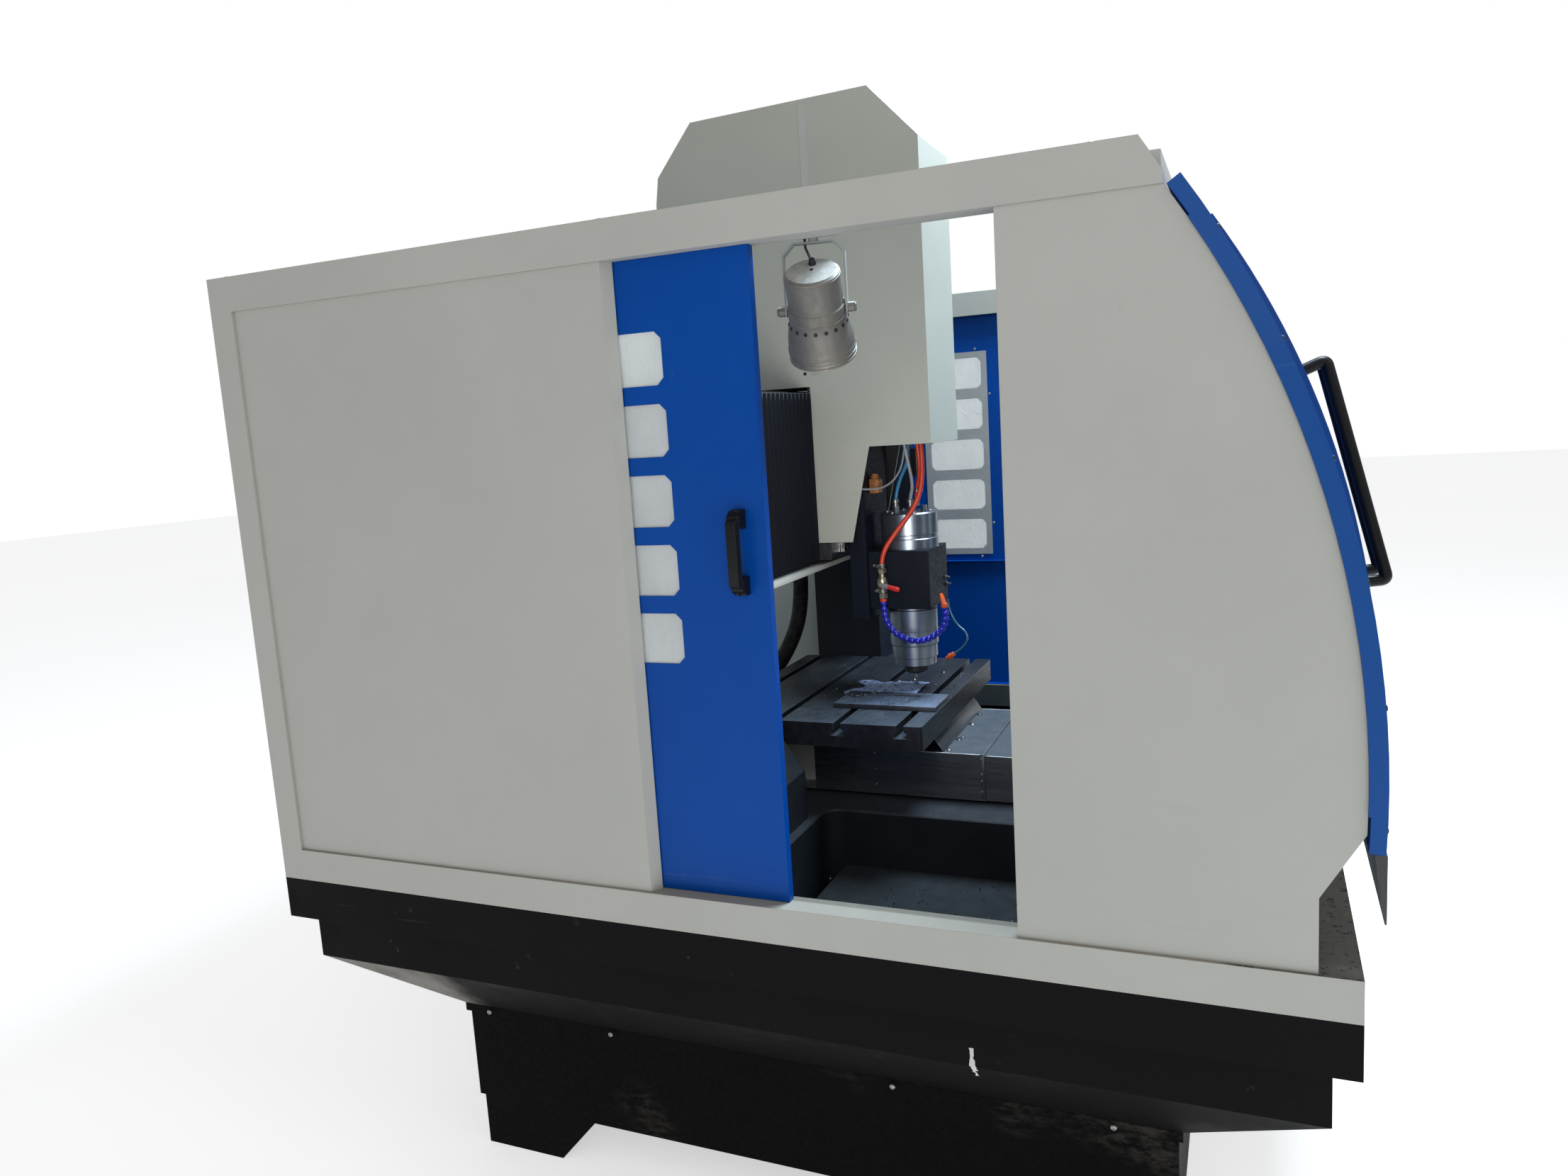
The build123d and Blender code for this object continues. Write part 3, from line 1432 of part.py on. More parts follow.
# Lamp bracket: an angle plate on the beam's inner face with a turned U-shaped bail below it
bail_half = lamp_radius + bail_gap
bail_top = lamp_pivot_z + bail_rise
bail_outer = [
    (-bail_half, -bail_width / 2), (-bail_half, bail_rise - bail_shoulder),
    (-bail_half + bail_shoulder, bail_rise),
    (bail_half - bail_shoulder, bail_rise), (bail_half, bail_rise - bail_shoulder),
    (bail_half, -bail_width / 2),
]
inner_half = bail_half - bail_sheet
inner_rise = bail_rise - bail_sheet
bail_inner = [
    (inner_half, -bail_width / 2), (inner_half, inner_rise - bail_shoulder + 1),
    (inner_half - bail_shoulder + 1, inner_rise),
    (-inner_half + bail_shoulder - 1, inner_rise), (-inner_half, inner_rise - bail_shoulder + 1),
    (-inner_half, -bail_width / 2),
]
with BuildPart() as lamp_bracket:
    box_between(
        -tube_inner, -tube_inner + bracket_sheet, lamp_y - bracket_half, lamp_y + bracket_half,
        bracket_z, beam_top - 4,
    )
    box_between(
        -tube_inner, lamp_x + bracket_reach, lamp_y - bracket_half, lamp_y + bracket_half, bracket_z,
        bracket_z + bracket_sheet,
    )
    with Locations(Plane(origin=(lamp_x, lamp_y, bail_top))):
        Cylinder(9, bracket_z - bail_top, align=(Align.CENTER, Align.CENTER, Align.MIN))
    with BuildSketch(Plane(origin=pivot, x_dir=lamp_across, z_dir=lamp_ahead)):
        with BuildLine():
            Polyline(*bail_outer, *bail_inner, close=True)
        make_face()
    extrude(amount=bail_width / 2, both=True)
    bore(pivot - lamp_across * bail_half, lamp_across, pivot_radius + bearing_gap, 2 * bail_half)
pieces["lamp_bracket"] = lamp_bracket

# Lamp can: a spun shell with a flared cup, pivot pins and knobs
shell = lamp_radius - lamp_wall
cup = lamp_cup_radius
with BuildPart() as lamp_can:
    with BuildSketch(Plane(origin=pivot, x_dir=lamp_side, z_dir=-lamp_across)):
        with BuildLine():
            Polyline(
                (0, lamp_above), (lamp_radius - 6, lamp_above), (lamp_radius - 1, lamp_above - 4),
                (lamp_radius - 1, 12),
                (lamp_radius + 1, 10), (lamp_radius + 1, -12), (lamp_radius + 5, -27), (cup - 2, -46),
                (cup, -68),
                (cup + 1.5, -72), (cup, -77), (cup, -lamp_below), (cup - lamp_wall, -lamp_below),
                (cup - lamp_wall, -68),
                (cup - 2 - lamp_wall, -46), (lamp_radius + 5 - lamp_wall, -27), (shell, -12),
                (shell - 2, lamp_above - 10),
                (0, lamp_above - 10), close=True,
            )
        make_face()
    revolve(axis=Axis(pivot, lamp_up))
    for sign in (-1, 1):
        outward = lamp_across * sign
        with Locations(Plane(origin=pivot + outward * shell, z_dir=outward)):
            Cylinder(
                pivot_radius, bail_gap + lamp_wall + knob_length,
                align=(Align.CENTER, Align.CENTER, Align.MIN),
            )
        with BuildSketch(Plane(origin=pivot + outward * (bail_half + running_gap), z_dir=outward)):
            RegularPolygon(knob_radius, 8)
        extrude(amount=knob_length)
pieces["lamp_can"] = lamp_can

# Lamp cable from the bracket to the can, and the conduit from the crossbeam down to the tray
can_cable_end = pivot + lamp_up * lamp_above + lamp_side * 24
can_cable_lead = can_cable_end + lamp_up * 22
can_cable_start = pivot + Vector(0, 0, bracket_z - lamp_pivot_z) + lamp_across * 18 + lamp_ahead * 18
lamp_points = [
    can_cable_start, can_cable_start - Vector(0, 0, 18),
    pivot + Vector(0, 0, bail_rise - 20) + lamp_across * 16 + lamp_ahead * 20, can_cable_lead,
    can_cable_end,
]
lamp_route = [(point.X, point.Y, point.Z) for point in lamp_points]
pieces["lamp_cable"] = tube_along(lamp_route, corner_radii(lamp_route), 3)
conduit_z = crossbeam_bottom + 34
conduit_y = crossbeam_rear + conduit_offset
conduit_low_y = conduit_y + conduit_swing
conduit_route = [
    (conduit_x, crossbeam_rear, conduit_z), (conduit_x, conduit_y, conduit_z),
    (conduit_x, conduit_y, conduit_bend_z),
    (conduit_x, conduit_y + conduit_swing / 4, conduit_bend_z - 130),
    (conduit_x, conduit_low_y - conduit_swing / 5, conduit_bend_z - 270),
    (conduit_x, conduit_low_y, conduit_bend_z - 380),
    (conduit_x, conduit_low_y, tray_bottom + tray_sheet),
]
pieces["cable_conduit"] = tube_along(conduit_route, corner_radii(conduit_route), conduit_radius)

os.makedirs("parts", exist_ok=True)
for name, piece in pieces.items():
    piece.part.label = name
    export_step(piece.part, f"parts/{name}.step")
print("nodes", len(pieces))
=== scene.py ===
"""Dresses an enclosed gantry milling machine: finishes, fasteners, bellows, hoses, lamp, chips and a plain studio."""

import logging
import math
import random
from contextlib import contextmanager
from dataclasses import dataclass, field
from enum import Enum
from functools import reduce
from typing import Callable, ClassVar, ContextManager, Iterator, Sequence

import bpy
from bpy.types import Material, Node, NodeSocket, NodeTree, Object
from mathutils import Matrix, Quaternion, Vector


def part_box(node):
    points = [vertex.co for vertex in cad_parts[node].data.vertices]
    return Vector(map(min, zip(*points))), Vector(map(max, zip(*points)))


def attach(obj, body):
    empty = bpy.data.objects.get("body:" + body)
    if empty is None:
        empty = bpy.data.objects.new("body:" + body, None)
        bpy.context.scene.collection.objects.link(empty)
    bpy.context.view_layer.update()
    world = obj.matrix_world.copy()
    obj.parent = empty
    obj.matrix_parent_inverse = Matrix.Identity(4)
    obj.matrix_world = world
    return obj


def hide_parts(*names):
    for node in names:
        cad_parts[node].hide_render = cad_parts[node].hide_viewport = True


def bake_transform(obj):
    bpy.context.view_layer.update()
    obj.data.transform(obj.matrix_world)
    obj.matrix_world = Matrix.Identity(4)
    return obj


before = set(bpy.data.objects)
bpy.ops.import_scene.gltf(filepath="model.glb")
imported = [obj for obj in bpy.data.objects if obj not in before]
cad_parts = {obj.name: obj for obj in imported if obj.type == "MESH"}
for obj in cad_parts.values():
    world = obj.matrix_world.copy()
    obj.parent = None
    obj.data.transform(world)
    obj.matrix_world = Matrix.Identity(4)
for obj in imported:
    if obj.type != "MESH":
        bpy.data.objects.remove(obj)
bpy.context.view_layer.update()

logging.basicConfig(level=logging.INFO, format="%(message)s")
log = logging.getLogger("milling_machine")

Point = tuple[float, float, float]
Colour = tuple[float, float, float]
FaceTest = Callable[[Vector, Vector], bool]
Place = tuple[Vector, Vector]
Rings = Sequence[tuple[float, float]]

ORIGIN = Vector((0, 0, 0))
X_AXIS = Vector((1, 0, 0))
Y_AXIS = Vector((0, 1, 0))
Z_AXIS = Vector((0, 0, 1))


# -------- modelling by operators


def mm(*values: float) -> Vector:
    """A point or vector given in millimetres, in metres."""
    return Vector([value / 1000 for value in values])


def switch(mode: str) -> None:
    """Go to edit or object mode."""
    bpy.ops.object.mode_set(mode=mode)


def clear_selection() -> None:
    """Leave edit mode and deselect every object."""
    active = bpy.context.view_layer.objects.active
    if active is not None and active.mode != "OBJECT":
        switch("OBJECT")
    bpy.ops.object.select_all(action="DESELECT")


def take(piece: Object) -> None:
    """Make one object the only selected and active one.

    Args:
        piece: the object.
    """
    clear_selection()
    piece.select_set(True)
    bpy.context.view_layer.objects.active = piece


def apply_place(piece: Object) -> None:
    """Put a piece's place, turn and scale into its mesh, so that its object sits at the origin."""
    take(piece)
    bpy.ops.object.transform_apply(location=True, rotation=True, scale=True)


def name_new(name: str) -> Object:
    """Name the primitive that was just added.

    Args:
        name: the piece's name.

    Returns:
        The new object, with its place in its mesh.
    """
    piece = bpy.context.active_object
    piece.name = piece.data.name = name
    apply_place(piece)
    return piece


def block(name: str, low: Vector, high: Vector) -> Object:
    """Add a cube at its size and place.

    Args:
        name: the piece's name.
        low: the lowest corner.
        high: the highest corner.

    Returns:
        The block, ready to be shaped.
    """
    clear_selection()
    bpy.ops.mesh.primitive_cube_add(size=1, location=(low + high) / 2, scale=high - low)
    return name_new(name)


@contextmanager
def chosen(piece: Object, kind: str, test: Callable[..., bool]) -> Iterator[None]:
    """Edit mode with the parts of a mesh selected that a test picks, and nothing else.

    Args:
        piece: the mesh object.
        kind: FACE, EDGE or VERT.
        test: takes a face, an edge or a vertex and says if it is wanted.

    Yields:
        Nothing. Object mode comes back afterwards.
    """
    take(piece)
    switch("EDIT")
    bpy.ops.mesh.select_mode(type=kind)
    bpy.ops.mesh.select_all(action="DESELECT")
    switch("OBJECT")
    for part in getattr(piece.data, {"FACE": "polygons", "EDGE": "edges", "VERT": "vertices"}[kind]):
        part.select = test(part)
    switch("EDIT")
    yield
    switch("OBJECT")


def faces(piece: Object, test: FaceTest) -> ContextManager[None]:
    """Edit mode with the faces selected whose centre and normal pass a test."""
    return chosen(piece, "FACE", lambda face: test(face.center, face.normal))


def extrude(offset: Sequence[float]) -> None:
    """Extrude what is selected by an offset."""
    bpy.ops.mesh.extrude_region_move(TRANSFORM_OT_translate={"value": offset})


def push(piece: Object, test: FaceTest, offset: Vector) -> None:
    """Extrude the faces that a test picks by an offset."""
    with faces(piece, test):
        extrude(offset)


def inset(piece: Object, test: FaceTest, width: float, depth: float = 0.0) -> None:
    """Inset the faces that a test picks, and push the middle out (or in, where the depth is negative)."""
    with faces(piece, test):
        bpy.ops.mesh.inset(thickness=width, depth=depth)


def shrink(piece: Object, test: FaceTest, factor: Vector, centre: Vector) -> None:
    """Scale the faces that a test picks about a centre."""
    with faces(piece, test):
        bpy.ops.transform.resize(value=factor, center_override=centre)


def smooth(piece: Object, angle: float = 40) -> None:
    """Smooth a piece's shading where its faces meet at less than an angle in degrees."""
    take(piece)
    bpy.ops.object.shade_smooth_by_angle(angle=math.radians(angle))


def modify(piece: Object, kind: str, **settings: object) -> None:
    """Add a modifier to a piece and apply it.

    Args:
        piece: the mesh object.
        kind: the modifier's kind.
        settings: the modifier's own properties.
    """
    take(piece)
    modifier = piece.modifiers.new(kind.lower(), kind)
    for key, value in settings.items():
        setattr(modifier, key, value)
    bpy.ops.object.modifier_apply(modifier=modifier.name)


def round_edges(piece: Object, width: float, segments: int, angle: float) -> None:
    """Round the edges of a piece that are sharper than an angle in degrees."""
    modify(piece, "BEVEL", width=width, segments=segments, limit_method="ANGLE", angle_limit=math.radians(angle))


def soften(piece: Object, width: float, segments: int = 2, angle: float = 35) -> None:
    """Round a piece's edges that are sharper than an angle in degrees, and smooth its shading."""
    round_edges(piece, width, segments, angle)
    smooth(piece)


def cut_out(piece: Object, tool: Object) -> None:
    """Cut a tool's shape out of a piece, and drop the tool."""
    modify(piece, "BOOLEAN", object=tool, operation="DIFFERENCE", solver="EXACT")
    bpy.data.objects.remove(tool)


def recalculate(piece: Object) -> None:
    """Merge a piece's doubles and turn its faces outwards.

    Args:
        piece: the mesh object.
    """
    take(piece)
    switch("EDIT")
    bpy.ops.mesh.select_all(action="SELECT")
    bpy.ops.mesh.remove_doubles(threshold=1e-6)
    bpy.ops.mesh.normals_make_consistent(inside=False)
    switch("OBJECT")


def turn_to(direction: Vector) -> Quaternion:
    """The turn that lays the Z axis along a direction."""
    return Z_AXIS.rotation_difference(direction)


def turned(name: str, foot: Vector, direction: Vector, rings: Rings, sides: int = 32) -> Object:
    """Shape a turned piece ring by ring, as on a lathe.

    Args:
        name: the piece's name.
        foot: the point that heights are measured from.
        direction: the way the piece's axis points.
        rings: height and radius of each ring, in metres, from the first end to the last.
        sides: how many sides the rings have.

    Returns:
        The closed turned piece.
    """
    clear_selection()
    height, radius = rings[0]
    bpy.ops.mesh.primitive_circle_add(vertices=sides, radius=radius, fill_type="NGON", location=(0, 0, height))
    piece = name_new(name)
    switch("EDIT")
    bpy.ops.mesh.select_all(action="SELECT")
    for next_height, next_radius in rings[1:]:
        extrude((0, 0, next_height - height))
        ratio = next_radius / radius
        bpy.ops.transform.resize(value=(ratio, ratio, 1), center_override=(0, 0, next_height))
        height, radius = next_height, next_radius
    bpy.ops.mesh.select_all(action="SELECT")
    bpy.ops.mesh.normals_make_consistent(inside=False)
    switch("OBJECT")
    piece.matrix_world = standing(foot, direction)
    apply_place(piece)
    smooth(piece)
    return piece


def join(name: str, parts: Sequence[Object]) -> Object:
    """Join meshes into one piece.

    Args:
        name: the joined piece's name.
        parts: the meshes.

    Returns:
        The joined mesh.
    """
    clear_selection()
    for part in parts:
        part.select_set(True)
    bpy.context.view_layer.objects.active = parts[0]
    bpy.ops.object.join()
    piece = bpy.context.active_object
    piece.name = piece.data.name = name
    return piece


def put_in(name: str, data: bpy.types.ID) -> Object:
    """Put a curve, a camera or a light into the scene.

    Args:
        name: the object's name.
        data: what the object holds.

    Returns:
        The new object.
    """
    made = bpy.data.objects.new(name, data)
    bpy.context.scene.collection.objects.link(made)
    return made


def copy_of(pattern: Object, place: Matrix) -> Object:
    """Copy a modelled pattern with a mesh of its own.

    Args:
        pattern: the piece to copy.
        place: moves the copy.

    Returns:
        The copy.
    """
    copied = put_in(pattern.name, pattern.data.copy())
    copied.data.transform(place)
    return copied


def repeat(name: str, pattern: Object, places: Sequence[Matrix]) -> Object:
    """Copy a pattern that was modelled once to every place, join the copies and drop the pattern.

    Args:
        name: the joined piece's name.
        pattern: the piece modelled at the origin, with its axis along Z.
        places: a matrix for each copy.

    Returns:
        The joined copies.
    """
    copies = [copy_of(pattern, place) for place in places]
    bpy.data.objects.remove(pattern)
    return join(name, copies)


def standing(point: Vector, direction: Vector, spin: float = 0.0) -> Matrix:
    """The matrix that stands a pattern's Z axis on a point along a direction, turned about it by an angle."""
    turn = turn_to(direction).to_matrix().to_4x4()
    return Matrix.Translation(point) @ turn @ Matrix.Rotation(spin, 4, "Z")


def spline(name: str, points: Sequence[Vector], kind: str = "NURBS") -> Object:
    """A line whose control points are a route's points.

    Args:
        name: the curve's name.
        points: the control points.
        kind: NURBS for a smooth line, POLY for a straight-sided one.

    Returns:
        The curve object, without thickness.
    """
    curve = bpy.data.curves.new(name, "CURVE")
    curve.dimensions = "3D"
    line = curve.splines.new(kind)
    line.points.add(len(points) - 1)
    for point, place in zip(line.points, points):
        point.co = (*place, 1)
    line.order_u = 3
    line.use_endpoint_u = True
    line.resolution_u = 8
    return put_in(name, curve)


def thicken(route: Object, radius: float, sides: int) -> Object:
    """Give a line a round section and turn it into a mesh.

    Args:
        route: the curve object.
        radius: the section's radius.
        sides: Blender's bevel resolution.

    Returns:
        The mesh.
    """
    route.data.bevel_depth = radius
    route.data.bevel_resolution = sides
    take(route)
    bpy.ops.object.convert(target="MESH")
    return bpy.context.active_object


def tube(name: str, points: Sequence[Vector], radius: float, sides: int = 3) -> Object:
    """A round tube along a smooth line, as a mesh with closed ends.

    Args:
        name: the piece's name.
        points: the control points of its line.
        radius: the tube's radius.
        sides: Blender's bevel resolution.

    Returns:
        The tube's mesh.
    """
    route = spline(name, points)
    route.data.use_fill_caps = True
    piece = thicken(route, radius, sides)
    recalculate(piece)
    smooth(piece)
    return piece


def line_samples(points: Sequence[Vector], step: float) -> list[Place]:
    """Read evenly spaced places and directions from the smooth line through a route.

    Args:
        points: the route's control points.
        step: the spacing in metres.

    Returns:
        A point and a direction for each sample.
    """
    route = spline("reading_line", points)
    route.data.splines[0].resolution_u = 24
    mesh = bpy.data.meshes.new_from_object(route)
    path = [vertex.co.copy() for vertex in mesh.vertices]
    bpy.data.meshes.remove(mesh)
    bpy.data.objects.remove(route)
    samples: list[Place] = []
    gone, wanted = 0.0, 0.0
    for start, end in zip(path, path[1:]):
        length = (end - start).length
        while length > 0 and wanted <= gone + length:
            samples.append((start.lerp(end, (wanted - gone) / length), (end - start).normalized()))
            wanted += step
        gone += length
    return samples


# -------- fasteners


class Head(Enum):
    """Kinds of screw head."""

    PAN = "pan"
    SOCKET = "socket"
    HEX = "hex"


def screw_pattern(head: Head, radius: float) -> Object:
    """Model one screw head at the origin, with its axis along Z.

    Args:
        head: the kind of head.
        radius: the head's radius.

    Returns:
        The screw head's mesh.
    """
    top = radius * {Head.PAN: 0.55, Head.SOCKET: 1.1, Head.HEX: 0.75}[head]
    rings = [(-0.0006, radius), (top * 0.8, radius), (top, radius * 0.84)]
    if head is Head.PAN:
        rings = [(-0.0006, radius), (top * 0.35, radius * 0.98), (top * 0.8, radius * 0.8), (top, radius * 0.5)]
    pattern = turned("screw_pattern", ORIGIN, Z_AXIS, rings, 6 if head is Head.HEX else 14)
    if head is not Head.HEX:
        def crown(centre: Vector, normal: Vector) -> bool:
            """The flat top of the head."""
            return normal.z > 0.9 and centre.z > top * 0.95

        inset(pattern, crown, radius * (0.28 if head is Head.SOCKET else 0.2))
        push(pattern, crown, Vector((0, 0, -top * 0.45)))
    smooth(pattern, 30)
    return pattern


def screws(name: str, head: Head, radius: float, places: Sequence[Place]) -> Object:
    """Copy one modelled screw head to many places, each with its own turn."""
    places = [standing(point, way, 0.7 * index) for index, (point, way) in enumerate(places)]
    return repeat(name, screw_pattern(head, radius), places)


# -------- shader graphs and shared effects


class Effect(Enum):
    """Effects that several finishes share, each a node group that is built once."""

    EDGES = "rounded_edges"
    TONE = "uneven_tone"
    ORANGE_PEEL = "paint_texture"
    BRUSHED = "brushed_streaks"
    DUST = "settled_dust"
    GRIME = "corner_grime"
    SCUFFS = "fine_scuffs"
    STAINS = "dried_stains"


@dataclass
class Graph:
    """A node tree that is being wired, with short calls for the nodes that it uses."""

    tree: NodeTree

    def feed(self, socket: NodeSocket, value: object) -> None:
        """Link a socket to another socket, or set its own value.

        Args:
            socket: the socket that is fed.
            value: another node's output, a number, or a colour.
        """
        if isinstance(value, NodeSocket):
            self.tree.links.new(value, socket)
        elif isinstance(value, tuple) and len(value) == 3 and socket.type == "RGBA":
            socket.default_value = (*value, 1)
        else:
            socket.default_value = value

    def node(self, kind: str, inputs: dict | None = None, **settings: object) -> Node:
        """Add a node.

        Args:
            kind: Blender's name for the node, without its ShaderNode prefix.
            inputs: values or sockets for its inputs, by name or number.
            settings: the node's own properties.

        Returns:
            The node.
        """
        made = self.tree.nodes.new("ShaderNode" + kind)
        for key, value in settings.items():
            setattr(made, key, value)
        for key, value in (inputs or {}).items():
            self.feed(made.inputs[key], value)
        return made

    def calc(self, operation: str, *values: object) -> NodeSocket:
        """The result of a math operation on values or sockets."""
        return self.node("Math", dict(enumerate(values)), operation=operation).outputs[0]

    def times(self, *values: object) -> NodeSocket:
        """The product of values or sockets."""
        return reduce(lambda first, second: self.calc("MULTIPLY", first, second), values)

    def plus(self, first: object, second: object) -> NodeSocket:
        """The sum of two values or sockets."""
        return self.calc("ADD", first, second)

    def span(self, value: object, low: float, high: float, to_low: float = 0, to_high: float = 1) -> NodeSocket:
        """A value eased from one span to another."""
        inputs = {"Value": value, "From Min": low, "From Max": high, "To Min": to_low, "To Max": to_high}
        return self.node("MapRange", inputs, interpolation_type="SMOOTHSTEP").outputs[0]

    def blend(self, share: object, first: object, second: object) -> NodeSocket:
        """Two colours mixed by a share."""
        return self.node("Mix", {0: share, 6: first, 7: second}, data_type="RGBA").outputs[2]

    def place(self, scale: Point = (1, 1, 1), turn: Point = (0, 0, 0)) -> NodeSocket:
        """Object coordinates, stretched and turned."""
        coordinates = self.node("TexCoord").outputs["Object"]
        return self.node("Mapping", {"Vector": coordinates, "Scale": scale, "Rotation": turn}).outputs[0]

    def axis(self, vector: NodeSocket, number: int) -> NodeSocket:
        """One of a vector's three values."""
        return self.node("SeparateXYZ", {0: vector}).outputs[number]

    def facing(self, number: int, kind: str = "Normal") -> NodeSocket:
        """How far a face looks along X, Y or Z."""
        return self.axis(self.node("NewGeometry").outputs[kind], number)

    def noise(
        self, scale: object, detail: float = 3, rough: float = 0.5, at: NodeSocket | None = None, warp: float = 0
    ) -> NodeSocket:
        """A noise value on object coordinates, or on the ones given.

        Args:
            scale: the noise's scale.
            detail: how many finer layers it has.
            rough: the finer layers' strength.
            at: coordinates to read it on.
            warp: how much it is distorted.

        Returns:
            The noise's value.
        """
        where = self.place() if at is None else at
        inputs = {"Vector": where, "Scale": scale, "Detail": detail, "Roughness": rough}
        return self.node("TexNoise", {**inputs, "Distortion": warp}).outputs[0]

    def grains(self, scale: float) -> NodeSocket:
        """A random value for each small grain."""
        return self.axis(self.node("TexVoronoi", {"Vector": self.place(), "Scale": scale}).outputs["Color"], 0)

    def relief(self, height: object, distance: float, under: NodeSocket | None = None) -> NodeSocket:
        """A normal from a height, over another normal where one is given."""
        below = {} if under is None else {"Normal": under}
        return self.node("Bump", {"Height": height, "Distance": distance, "Strength": 1.0, **below}).outputs[0]

    def effect(self, effect: Effect, **values: float) -> Node:
        """Place a shared effect with this material's own values.

        Args:
            effect: which effect.
            values: the group's inputs, with _ for a space.

        Returns:
            The group node.
        """
        if effect.value not in bpy.data.node_groups:
            BUILDERS[effect]()
        inputs = {name.replace("_", " ").title(): value for name, value in values.items()}
        return self.node("Group", inputs, node_tree=bpy.data.node_groups[effect.value])

    def mask(self, effect: Effect, **values: float) -> NodeSocket:
        """The first output of a shared effect."""
        return self.effect(effect, **values).outputs[0]


def start_group(effect: Effect, inputs: dict[str, float], *outputs: str) -> tuple[Graph, dict, dict]:
    """Make a shared effect's node group with its named inputs and outputs.

    Args:
        effect: which effect.
        inputs: float inputs and their default values.
        outputs: output names. The one named Normal is a vector, the others are floats.

    Returns:
        The graph, its input sockets by name, and its output sockets by name.
    """
    tree = bpy.data.node_groups.new(effect.value, "ShaderNodeTree")
    for name, value in inputs.items():
        tree.interface.new_socket(name, in_out="INPUT", socket_type="NodeSocketFloat").default_value = value
    for name in outputs:
        kind = "NodeSocketVector" if name == "Normal" else "NodeSocketFloat"
        tree.interface.new_socket(name, in_out="OUTPUT", socket_type=kind)
    entry, leaving = tree.nodes.new("NodeGroupInput"), tree.nodes.new("NodeGroupOutput")
    return Graph(tree), {name: entry.outputs[name] for name in inputs}, {name: leaving.inputs[name] for name in outputs}


def build_edges() -> None:
    """Rounded-edge normals and a mask of the edges, for CAD meshes with sharp edges."""
    graph, given, made = start_group(Effect.EDGES, {"Radius": 0.002}, "Normal", "Edge")
    rounded = graph.node("Bevel", {"Radius": given["Radius"]}, samples=4).outputs[0]
    flat = graph.node("NewGeometry").outputs["True Normal"]
    agreement = graph.node("VectorMath", {0: rounded, 1: flat}, operation="DOT_PRODUCT").outputs["Value"]
    graph.feed(made["Edge"], graph.span(agreement, 0.97, 0.72))
    graph.feed(made["Normal"], rounded)


def build_tone() -> None:
    """Slow changes of tone over a large surface, from 0 to 1."""
    graph, given, made = start_group(Effect.TONE, {"Scale": 2.5}, "Value")
    broad = graph.noise(given["Scale"], 2, 0.55)
    fine = graph.noise(graph.times(given["Scale"], 6.0), 3, 0.6)
    graph.feed(made["Value"], graph.span(graph.plus(graph.times(broad, 0.7), graph.times(fine, 0.3)), 0.3, 0.7))


def build_orange_peel() -> None:
    """The fine pebbled height of sprayed or powder paint."""
    graph, given, made = start_group(Effect.ORANGE_PEEL, {"Scale": 700.0}, "Height")
    pebbles = graph.noise(given["Scale"], 2, 0.4)
    waves = graph.noise(graph.times(given["Scale"], 0.18), 1, 0.4)
    graph.feed(made["Height"], graph.plus(graph.times(pebbles, 0.6), graph.times(waves, 0.4)))


def build_brushed() -> None:
    """Long fine streaks of ground or brushed metal along one axis."""
    along = {"Along X": 1.0, "Along Y": 1.0, "Along Z": 1.0}
    graph, given, made = start_group(Effect.BRUSHED, {**along, "Scale": 500.0}, "Value", "Wide")
    stretch = graph.node("CombineXYZ", {number: given[name] for number, name in enumerate(along)}).outputs[0]
    laid = graph.node("VectorMath", {0: graph.place(), 1: stretch}, operation="MULTIPLY").outputs[0]
    graph.feed(made["Value"], graph.noise(given["Scale"], 2, 0.6, laid))
    graph.feed(made["Wide"], graph.noise(graph.times(given["Scale"], 0.12), 2, 0.5, laid))


def build_dust() -> None:
    """A mask of the dust that settles on faces that look up."""
    graph, given, made = start_group(Effect.DUST, {"Amount": 0.5, "Scale": 14.0, "Patchy": 1.0}, "Mask")
    patches = graph.span(graph.noise(given["Scale"], 4, 0.6), 0.35, 0.75)
    bare = graph.times(graph.calc("SUBTRACT", 1.0, patches), given["Patchy"])
    level = graph.times(graph.span(graph.facing(2), 0.35, 0.95), graph.calc("SUBTRACT", 1.0, bare))
    graph.feed(made["Mask"], graph.times(level, given["Amount"]))


def build_grime_and_shade() -> None:
    """A mask of the dirt that collects in corners and joints, laid by ambient occlusion, so it also paints shade into
    them.
    """
    graph, given, made = start_group(Effect.GRIME, {"Reach": 0.03, "Amount": 0.6}, "Mask")
    open_share = graph.node("AmbientOcclusion", {"Distance": given["Reach"]}, samples=4, only_local=False).outputs["AO"]
    patches = graph.span(graph.noise(22.0, 4, 0.65), 0.25, 0.7, 0.35, 1)
    graph.feed(made["Mask"], graph.times(graph.span(open_share, 0.75, 0.3), patches, given["Amount"]))


def build_scuffs() -> None:
    """A mask of short thin scuffs and scratches."""
    graph, given, made = start_group(Effect.SCUFFS, {"Scale": 30.0, "Amount": 0.5}, "Mask")
    total: object = 0.0
    for stretch, turn in (((0.06, 1, 1), (0.3, 0.9, 0.2)), ((1, 0.05, 1), (1.2, 0.1, 0.7))):
        lines = graph.noise(given["Scale"], 3, 0.7, graph.place(stretch, turn))
        total = graph.plus(total, graph.span(lines, 0.655, 0.7))
    presence = graph.span(graph.noise(4.0, 2), 0.5, 0.68)
    graph.feed(made["Mask"], graph.times(total, presence, given["Amount"]))


def build_stains() -> None:
    """Dried coolant: soft blotches with darker rims."""
    graph, given, made = start_group(Effect.STAINS, {"Scale": 9.0}, "Film", "Rim")
    pools = graph.noise(given["Scale"], 5, 0.62)
    graph.feed(made["Film"], graph.span(pools, 0.42, 0.62))
    rim = graph.calc("ABSOLUTE", graph.calc("SUBTRACT", pools, 0.5))
    graph.feed(made["Rim"], graph.span(rim, 0.035, 0.0))


